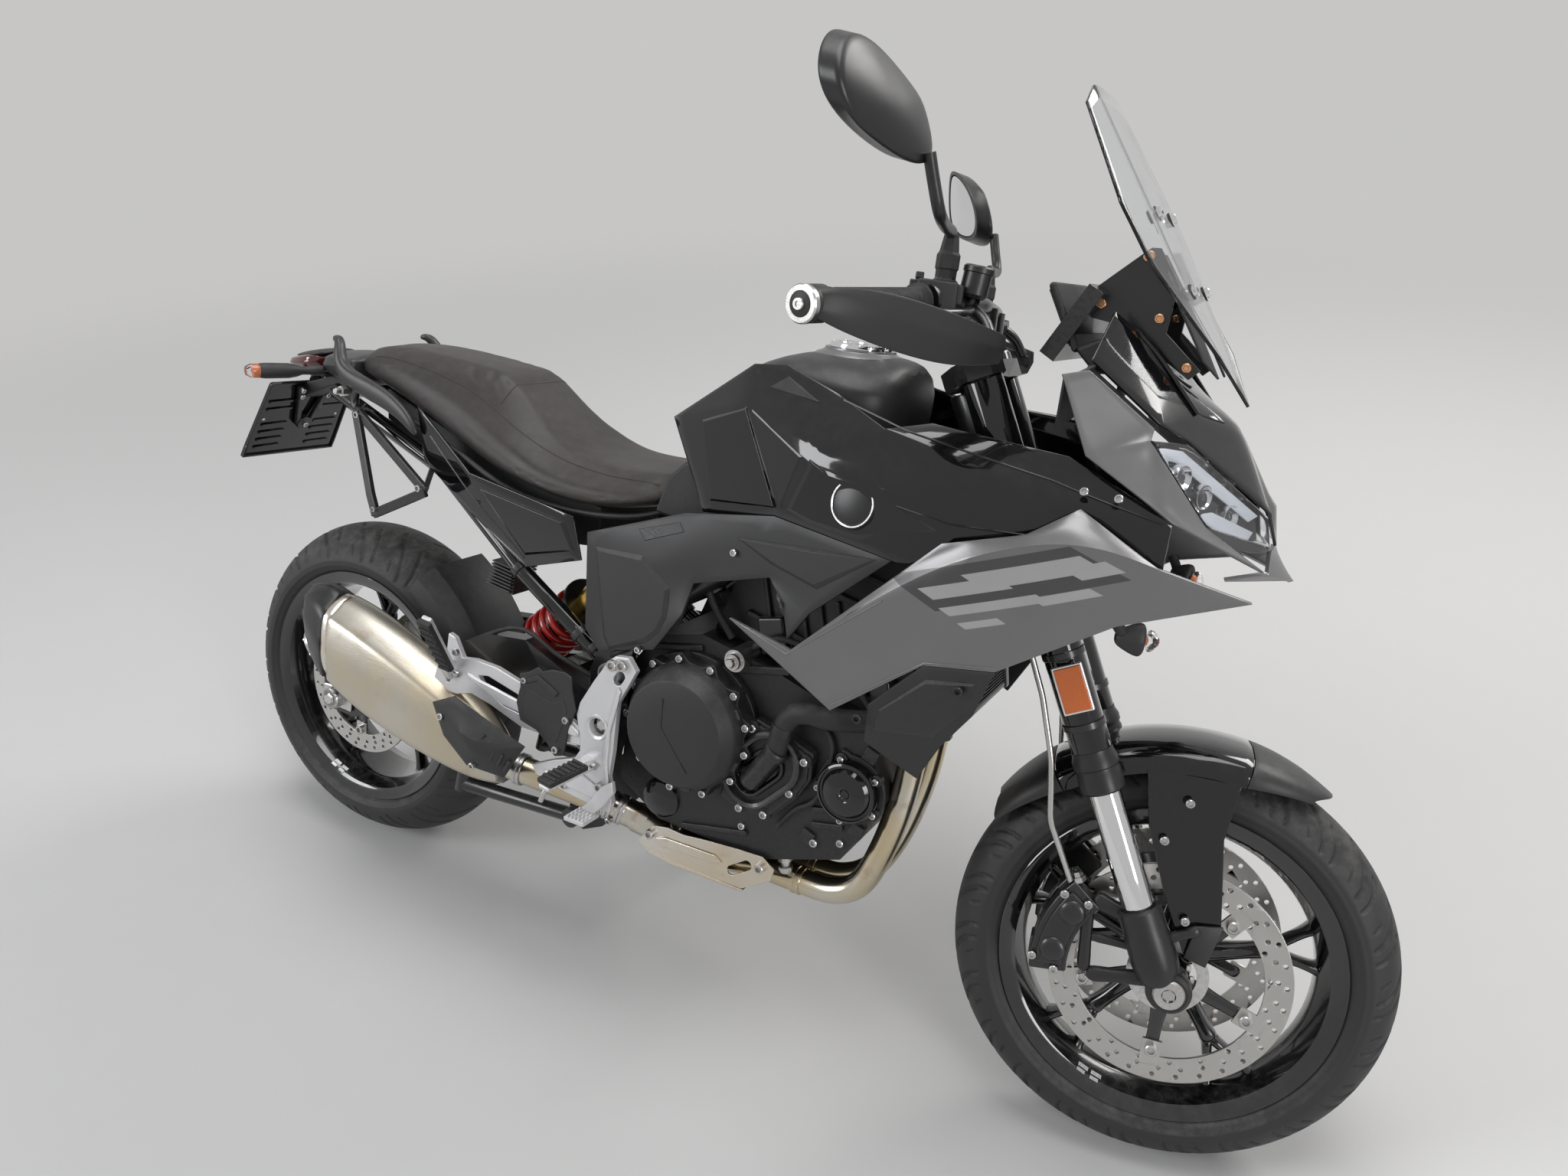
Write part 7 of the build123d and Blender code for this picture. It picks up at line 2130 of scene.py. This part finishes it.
# %% Shock absorber
GOLD = finish("Gold anodising", (0.72, 0.46, 0.10), 0.24, metal=1.0, brushed=(500, 500, 30), depth=0.15,
              wear_and_edge_highlight=0.08)
RED = finish("Red spring lacquer", (0.55, 0.012, 0.010), 0.22, coat=0.8, grain=1200, depth=0.06, wear_and_edge_highlight=0.1)
FLUID = clear_plastic("Fluid pot", (0.90, 0.82, 0.30), 0.06)
SHOCK_LOW, SHOCK_HIGH = Vector((400, -20, 500)), Vector((600, -70, 672))
axis = (SHOCK_HIGH - SHOCK_LOW).normalized()
barrel = [(20, 150), (26.5, 152), (27, 156), (27, 208), (26, 211)]
body = lathe("shock_barrel", SHOCK_LOW, axis, barrel, "chassis", GOLD, 64, 24)
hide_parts("shock_absorber")
head = [(26, 210), (27.5, 212), (27.5, 226), (24, 232), (22, 246), (20, 256), (14, 262), (0, 264)]
lathe("shock_head", SHOCK_LOW, axis, head, "chassis", STEEL, 64, 24)
for k, (at, thick) in enumerate(((152, 9), (2, 8))):
    seat_ring = [(14, at), (46, at), (47, at + 2), (47, at + thick - 2), (45, at + thick), (14, at + thick)]
    lathe(f"spring_seat_{k}", SHOCK_LOW, axis, seat_ring, "chassis", FRAME_BLACK, 64, 24)
lathe("shock_rod", SHOCK_LOW, axis, [(0, -12), (16, -12), (18, -4), (18, 4), (13, 8), (13, 152), (0, 152)],
      "chassis", FRAME_BLACK, 40)
dress("shock_spring", RED)
pot = [(0, -13), (12, -13), (14, -10), (14, 12), (13, 13), (0, 13)]
lathe("fluid_pot", (650, -128, 622), (0.12, -0.2, 1), pot, "chassis", FLUID, 40, 30)
lathe("fluid_pot_fluid", (650, -128, 622), (0.12, -0.2, 1), [(0, -12), (12.6, -11), (12.6, 3), (0, 3)],
      "chassis",
      finish("Brake fluid", (0.62, 0.50, 0.03), 0.1, coat=0.5, wear_and_edge_highlight=0.0, varied=0.1), 40, 30)
knurled = [(0, 27), (14, 27), (16, 25)] + [(16.4 if k % 2 else 15.6, 24 - k * 1.1)
                                           for k in range(9)] + [(15, 13), (0, 13)]
lathe("fluid_pot_cap", (650, -128, 622), (0.12, -0.2, 1), knurled, "chassis", SMOOTH_PLASTIC, 40, 24)
for side in (-1, 1):
    for k, (x, y, z) in enumerate(((600, 132, 565), (566, 130, 580), (430, 121, 659))):
        ring = [(14, -7), (17, -6), (17.5, 0), (17, 6), (14, 7)]
        lathe(f"subframe_collar_{k}_{'r' if side < 0 else 'l'}", (x, side * y, z),
              (-0.82, side * -0.05, 0.55), ring, "chassis",
              FRAME_BLACK, 36)
for node, material, bevel in (("main_frame", FRAME_BLACK, 1.5), ("rear_subframe", GLOSS_BLACK, 0),
                              ("swingarm", FRAME_BLACK, 5.0),
                              ("swingarm_bolt", STEEL, 0.8), ("rear_axle", STEEL, 0.8),
                              ("seat_tray", MOULDED, 2.0),
                              ("rear_hugger", MOULDED, 1.2), ("side_stand", FRAME_BLACK, 1.2),
                              ("centre_stand", FRAME_BLACK, 1.2)):
    dress(node, material, bevel)

# %% Swingarm fittings and rear brake
for side, face in ((-1, -128.0), (1, 146.0)):
    tag = "right" if side < 0 else "left"
    block = [([(-34, 296), (38, 292), (44, 338), (-34, 334)], *sorted((face, face + side * 6)))]
    plate("chain_adjuster_" + tag, block, "chassis", STEEL, 3.0)
    nut = [(0, 20), (10, 20), (12, 16), (20, 16), (21, 14), (21, 2), (24, 2), (24, 0), (0, 0)]
    lathe("rear_axle_nut_" + tag, (0, face + side * 6, 315), (0, side, 0), nut, "chassis", STEEL, 6, 20)
    pipe("brake_line_rear_" + tag if side < 0 else "wheel_sensor_line", [
        (620, side * 118, 500), (520, side * 124, 528), (430, side * 126, 556), (300, side * 120, 490),
            (160, side * 118, 420),
        (84, side * 100, 392)], 4, "chassis", RUBBER)
hub_plate = plate("rear_caliper_body", [
    (caliper_shape(108, 160, 19, 51), -97, -81), (caliper_shape(108, 160, 19, 51), -63, -54),
    (caliper_shape(143, 161, 22, 48), -84, -60)], "chassis", FRAME_BLACK, 3.0,
                  Matrix.Translation((0, 0, 315)))
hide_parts("rear_caliper")
a = math.radians(35)
lathe("rear_caliper_piston", (134 * math.cos(a), -97, 315 + 134 * math.sin(a)), (0, -1, 0),
      [(20, 0), (19, 5), (14, 7), (0, 7)],
      "chassis", FRAME_BLACK, 40)
bolts("rear_caliper_bolts", [((r * math.cos(math.radians(t)), -98, 315 + r * math.sin(math.radians(t))),
                              (0, -1, 0), 6)
                             for r, t in ((118, 24), (118, 46), (152, 24), (152, 46))], "chassis")

# %% [markdown]
# The chain is real links: two figure-of-eight plates and a roller repeated along the line round both
# sprockets. One link is drawn once and set down at equal steps, which is how a chain is built.

# %% Chain
REAR_HUB, FRONT_HUB = Vector((0, 104, 315)), Vector((735, 104, 432))
BIG, SMALL = 107.0, 44.0
run = FRONT_HUB - REAR_HUB
slope = math.atan2(run.z, run.x)
tilt = math.asin((BIG - SMALL) / run.length)
straight_run = run.length * math.cos(tilt)
arc_rear, arc_front = BIG * (math.pi + 2 * tilt), SMALL * (math.pi - 2 * tilt)
total = 2 * straight_run + arc_rear + arc_front


def along_chain(s):
    """Place and heading at a distance along the chain, starting on the upper run at the rear."""
    s %= total
    normal_top = slope + math.pi / 2 - tilt
    normal_low = slope - math.pi / 2 + tilt
    spot = lambda hub, r, a: Vector((hub.x + r * math.cos(a), 104, hub.z + r * math.sin(a)))
    if s < straight_run:
        a = normal_top
        start, end = spot(REAR_HUB, BIG, a), spot(FRONT_HUB, SMALL, a)
        return start.lerp(end, s / straight_run), a - math.pi / 2
    s -= straight_run
    if s < arc_front:
        a = normal_top - s / SMALL
        return spot(FRONT_HUB, SMALL, a), a - math.pi / 2
    s -= arc_front
    if s < straight_run:
        a = normal_low
        start, end = spot(FRONT_HUB, SMALL, a), spot(REAR_HUB, BIG, a)
        return start.lerp(end, s / straight_run), a - math.pi / 2
    a = normal_low - (s - straight_run) / BIG
    return spot(REAR_HUB, BIG, a), a - math.pi / 2


CHAIN_STEEL = finish("Chain steel", (0.22, 0.20, 0.17), 0.38, metal=1.0, grain=700, depth=0.3, wear_and_edge_highlight=0.3,
                     dust=0.2)
bm = bmesh.new()
count = round(total / 15.875)
for k in range(count):
    here, _ = along_chain(k * total / count)
    there, _ = along_chain((k + 1) * total / count)
    way = (there - here).normalized()
    up = way.cross(Vector((0, 1, 0)))
    wide = 5.6 if k % 2 else 7.2
    for y in (-wide, wide):
        ring = []
        for base, heading in ((here, math.pi), (there, 0)):
            for turn in (-1.2, -0.6, 0, 0.6, 1.2):
                a = heading + turn
                ring.append(base + (way * math.cos(a) + up * math.sin(a)) * 6.6)
        strips(bm, [[p + Vector((0, y - 0.8, 0)) for p in ring], [p + Vector((0, y + 0.8, 0)) for p in ring]])
    rings = turned_rings(here, (0, 1, 0), (1, 0, 0), [(4.6, -5), (4.6, 5)], 8)
    strips(bm, rings + [rings[0]], closed=False)
chain = from_bmesh("chain_links", bm, "chassis", CHAIN_STEEL, 40)
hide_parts("drive_chain")
teeth = []
for k in range(45):
    a = 2 * math.pi * k / 45
    for turn, r in ((-0.035, 101), (-0.016, 108.5), (0.016, 108.5), (0.035, 101)):
        teeth.append((r * math.cos(a + turn), r * math.sin(a + turn)))
pierced("sprocket_teeth", teeth, [circle(0, 0, 84, 60)], -2.5, 5.0, "rear_wheel", STEEL, 0.6,
        Matrix.Translation((0, 104, 315)))
guard_top = [(60, 440), (150, 470), (420, 500), (560, 506), (560, 496), (420, 488), (150, 452), (70, 424)]
plate("chain_guard", [(guard_top, 92, 124)], "chassis", MOULDED, 3.0)
print("chain links:", count)

# %% [markdown]
# The radiator is a black frame round a core of thin fins. Straight slats are enough: from any distance the
# core reads as a fine, dark, even ribbing.

# %% Radiator
RADIATOR_AT = frame_on((1170, 0, 663.5), (0, 1, 0), (-32, 0, 167))
bm = bmesh.new()
for k in range(34):
    strips(bm, [[RADIATOR_AT @ Vector((x, y, -74 + k * 4.5 + dz))
                 for y, dz in ((-15, -0.6), (15, -0.6), (15, 0.6), (-15, 0.6))]
                for x in (-124, 124)])
for k in range(25):
    boxed(bm, RADIATOR_AT @ Vector((-120 + k * 10, 0, 0)), (24, 1.6, 150),
          Matrix.Rotation(math.radians(-10.8), 3, "Y"))
core = from_bmesh("radiator_core", bm, "chassis", finish("Radiator fins", (0.06, 0.06, 0.06), 0.4, metal=0.7,
                                                         grain=800, depth=0.2),
                  30)
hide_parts("radiator")
tanks = [([(-140, -86), (-122, -86), (-122, 86), (-140, 86)], -18, 18),
         ([(122, -86), (140, -86), (140, 86), (122, 86)], -18, 18),
         ([(-124, 74), (124, 74), (124, 84), (-124, 84)], -16, 16),
         ([(-124, -84), (124, -84), (124, -74), (-124, -74)], -16, 16)]
plate("radiator_tanks", tanks, "chassis", FRAME_BLACK, 4.0, RADIATOR_AT)

# %% [markdown]
# ## Facets and creases
# The flanks are not smooth: flat facets with sharp borders break the gloss into separate reflections. Each
# facet is a thin relief whose outline is dropped onto the finished panel, so that it follows the panel
# wherever it goes. Creases are fine ridges laid on in the same way.


# %% Laying things on a panel
def dropped(panel, x, z, side):
    """Where the side view's point (x, z) meets a panel, in upright millimetres, or None."""
    surface = panel.evaluated_get(bpy.context.evaluated_depsgraph_get())
    way = (STANDING.to_3x3() @ Vector((0, -side, 0))).normalized()
    hit, place, _, _ = surface.ray_cast(STANDING @ Vector((x, side * 420, z)), way)
    return UPRIGHT @ place if hit else None


def relief(name, panel, outline, lift, rim, material, bevel=0.5):
    """A raised facet on both sides of the machine, with a sloped border all round."""
    bpy.context.view_layer.update()
    for side, tag in SIDES:
        spots = [p for p in (dropped(panel, x, z, side) for x, z in outline) if p]
        if len(spots) < 3:
            print(name, "misses its panel")
            return
        middle = sum(spots, Vector()) / len(spots)
        out = Vector((0, side, 0))
        rows = [[p - out * 3 for p in spots], [p + out * 0.4 for p in spots],
                [p + (middle - p).normalized() * rim + out * lift for p in spots]]
        bm = bmesh.new()
        strips(bm, rows)
        from_bmesh(f"{name}_{tag}", bm, "chassis", material, 12, bevel)


def crease(name, panel, points, radius, material):
    """A fine ridge along a line, laid on a panel on both sides of the machine."""
    bpy.context.view_layer.update()
    for side, tag in SIDES:
        steps = [(xa + (xb - xa) * k / 6, za + (zb - za) * k / 6)
                 for (xa, za), (xb, zb) in zip(points, points[1:])
                 for k in range(6)] + [points[-1]]
        line = [p for p in (dropped(panel, x, z, side) for x, z in steps) if p]
        if len(line) > 2:
            pipe(f"{name}_{tag}", line, radius, "chassis", material, False, 8)


tank, lower, fairing, shroud, tail = [bpy.data.objects[name] for name in (
    "tank_side_skins", "lower_side_skins", "side_fairing_skins", "radiator_shroud_skins", "tail_skins")]
relief("knee_facet", tank, [(764, 958), (852, 992), (928, 866), (802, 848)], 4.0, 5.0, GLOSS_BLACK)
relief("knee_facet_front", tank, [(860, 990), (966, 944), (936, 868)], 3.4, 5.0, GLOSS_BLACK)
relief("badge_field", tank, [(978, 944), (1004, 934), (1094, 926), (1114, 908), (1174, 888), (1066, 852),
                             (984, 858), (946, 868)],
       2.6, 9.0, GLOSS_BLACK)
relief("tank_inset", tank, [(880, 1022), (906, 1040), (966, 1014)], 2.0, 3.0, MOULDED)
crease("tank_crease_top", tank, [(1000, 1022), (1101, 999), (1300, 972), (1430, 942)], 1.5, GLOSS_BLACK)
crease("tank_crease_middle", tank, [(1114, 908), (1186, 900), (1300, 906)], 1.2, GLOSS_BLACK)
relief("side_panel_field", lower, [(610, 742), (706, 750), (760, 712), (762, 668), (750, 640), (726, 618),
                                   (654, 588), (640, 604)],
       3.6, 8.0, MATTE_GREY)
crease("side_panel_line", lower, [(730, 650), (748, 668), (748, 706), (704, 736)], 1.0, MATTE_GREY)
DOTTED = finish("Dotted grip", (0.022, 0.022, 0.023), 0.45, grain=320, depth=1.0, wear_and_edge_highlight=0.1)
relief("grip_patch", lower, [(690, 786), (766, 812), (776, 800), (706, 772)], 1.6, 2.0, DOTTED)
relief("side_panel_wedge", lower, [(868, 812), (1000, 826), (1096, 834), (1010, 772), (930, 788)], 2.6, 8.0,
       MATTE_GREY)
crease("fairing_underline", fairing, [(900, 697), (982, 676), (1120, 790)], 1.2, SATIN_GREY)
crease("fairing_lower_fold", fairing, [(1056, 622), (1186, 722), (1276, 738)], 1.0, SATIN_GREY)
HONEYCOMB = finish("Honeycomb moulding", (0.020, 0.020, 0.021), 0.46, grain=230, depth=1.0, wear_and_edge_highlight=0.1)
relief("shroud_field", shroud, [(1126, 636), (1190, 700), (1256, 712), (1240, 664), (1206, 620),
                                (1122, 604)], 2.4, 6.0, HONEYCOMB)
relief("tail_flank_facet", tail, [(352, 786), (540, 766), (566, 724), (452, 690)], 3.0, 7.0, GLOSS_BLACK)
crease("tail_flank_line", tail, [(230, 850), (330, 770), (450, 684)], 1.3, GLOSS_BLACK)

# %% [markdown]
# Behind the nose's painted panels a black inner moulding closes the gaps to the cowl and the instruments.

# %% Nose inner mouldings
STRIP = {"a": (1310, -184, 1096), "b": (1392, -156, 1038), "c": (1394, -136, 1046), "d": (1310, -164, 1108)}
shell("nose_joint_strip", STRIP, "abcd", "chassis", MOULDED, thick=4.0, outside=(0.5, -1, 0.5), level=1)
INNER_SIDE = {"a": (1290, -200, 1090), "b": (1314, -166, 1108), "c": (1318, -110, 1164),
              "d": (1300, -84, 1120),
              "e": (1288, -120, 1040), "f": (1284, -178, 1030)}
shell("nose_inner_side", INNER_SIDE, "abef bcde", "chassis", MOULDED, "be", thick=4.0, outside=(-1, -0.2, 0),
      level=1)
bridge = [(1270, 1120), (1300, 1136), (1340, 1120), (1352, 1098), (1300, 1092)]
plate("nose_inner_bridge", [(bridge, -90, 90)], "chassis", MOULDED, 6.0)
scoop = {"a": (1336, -92, 1152), "b": (1352, -112, 1112), "c": (1404, -104, 1058), "d": (1420, -76, 1062),
         "e": (1366, -78, 1126)}
shell("cowl_scoop", scoop, "abcde", "chassis", MOULDED, thick=3.0, outside=(1, -0.5, 0.5), level=2)
scoop_line = [(1340, -80, 1150), (1376, -78, 1118), (1428, -72, 1060)]
for side, tag in SIDES:
    pipe("cowl_scoop_edge_" + tag, [(x, side * y, z) for x, y, z in scoop_line], 3.0, "chassis", GLOSS_BLACK)
    start, way = Vector((998, side * 391, 1114)), along * Vector((1, -side, 1))
    lathe("bar_end_centre_" + tag, start, way, [(0, 41.6), (12.5, 41.2), (14, 40.4), (14, 36)], "steering",
          MOULDED, 40)
    lathe("bar_end_bolt_" + tag, start, way, [(0, 43.5), (3, 43.5), (3.2, 44.8), (6, 44.8), (6.8, 43.6),
                                              (7, 41)], "steering",
          STEEL, 32)

# %% [markdown]
# ## Stage
# A plain pale floor and wide soft lamps. The floor takes the shadow near the machine and runs into the
# backdrop's tone further out, so there is no horizon. Only rays that show the backdrop get that tone: the
# camera's, and those mirrored in metal or seen through glass.

# %% Floor and backdrop
BACKDROP = (0.57, 0.565, 0.56, 1)
floor_mesh = bpy.data.meshes.new("floor")
floor_mesh.from_pydata([(-40, -40, 0), (40, -40, 0), (40, 40, 0), (-40, 40, 0)], [], [(0, 1, 2, 3)])
floor = bpy.data.objects.new("floor", floor_mesh)
bpy.context.scene.collection.objects.link(floor)
paint = finish("Pale floor", (0.60, 0.595, 0.59), 0.55, wear_and_edge_highlight=0.0, dust=0.0, varied=0.03, grain=300,
               depth=0.05, specular=0.25)
floor.data.materials.append(paint)


def shows_backdrop(tree):
    path = add(tree, "ShaderNodeLightPath")
    seen = maths(tree, "MAXIMUM", path.outputs["Is Camera Ray"], path.outputs["Is Transmission Ray"])
    return maths(tree, "MAXIMUM", seen, path.outputs["Is Glossy Ray"])


tree = paint.node_tree
place = add(tree, "ShaderNodeTexCoord").outputs["Object"]
distance = add(tree, "ShaderNodeVectorMath", operation="LENGTH")
tree.links.new(place, distance.inputs[0])
far = ramp(tree, maths(tree, "MULTIPLY", distance.outputs["Value"], 0.1), 0.17, 0.62)
glow = add(tree, "ShaderNodeEmission")
glow.inputs["Color"].default_value = BACKDROP
blend = add(tree, "ShaderNodeMixShader")
tree.links.new(maths(tree, "MULTIPLY", far, shows_backdrop(tree)), blend.inputs[0])
tree.links.new(tree.nodes["Principled BSDF"].outputs[0], blend.inputs[1])
tree.links.new(glow.outputs[0], blend.inputs[2])
tree.links.new(blend.outputs[0], tree.nodes["Material Output"].inputs["Surface"])
world = bpy.data.worlds.new("Studio")
bpy.context.scene.world = world
world.use_nodes = True
tree = world.node_tree
soft = tree.nodes["Background"]
soft.inputs["Color"].default_value = (0.60, 0.61, 0.63, 1)
soft.inputs["Strength"].default_value = 0.45
shown = add(tree, "ShaderNodeBackground")
shown.inputs["Color"].default_value = BACKDROP
choose = add(tree, "ShaderNodeMixShader")
tree.links.new(shows_backdrop(tree), choose.inputs[0])
tree.links.new(soft.outputs[0], choose.inputs[1])
tree.links.new(shown.outputs[0], choose.inputs[2])
tree.links.new(choose.outputs[0], tree.nodes["World Output"].inputs["Surface"])


# %% Lamps
def softbox(name, at, aim, size, power, colour=(1, 1, 1)):
    data = bpy.data.lights.new(name, "AREA")
    data.shape, data.size, data.size_y, data.energy, data.color = "RECTANGLE", size[0], size[1], power, colour
    obj = bpy.data.objects.new(name, data)
    bpy.context.scene.collection.objects.link(obj)
    obj.location = at
    obj.rotation_euler = (Vector(aim) - Vector(at)).to_track_quat("-Z", "Y").to_euler()
    return obj


softbox("Top", (0.2, 0.4, 6.5), (0, 0, 0), (5.0, 3.0), 200)
softbox("Key", (3.2, 4.6, 4.6), (0, 0, 0.5), (3.4, 2.2), 190, (1.0, 0.985, 0.96))
softbox("Window", (-4.6, -4.4, 3.6), (0, 0, 0.6), (2.2, 3.2), 170, (0.96, 0.98, 1.0))
softbox("Front", (5.6, -3.0, 2.4), (0.3, 0, 0.6), (1.4, 3.0), 110)
bpy.context.scene.view_settings.view_transform = "Standard"
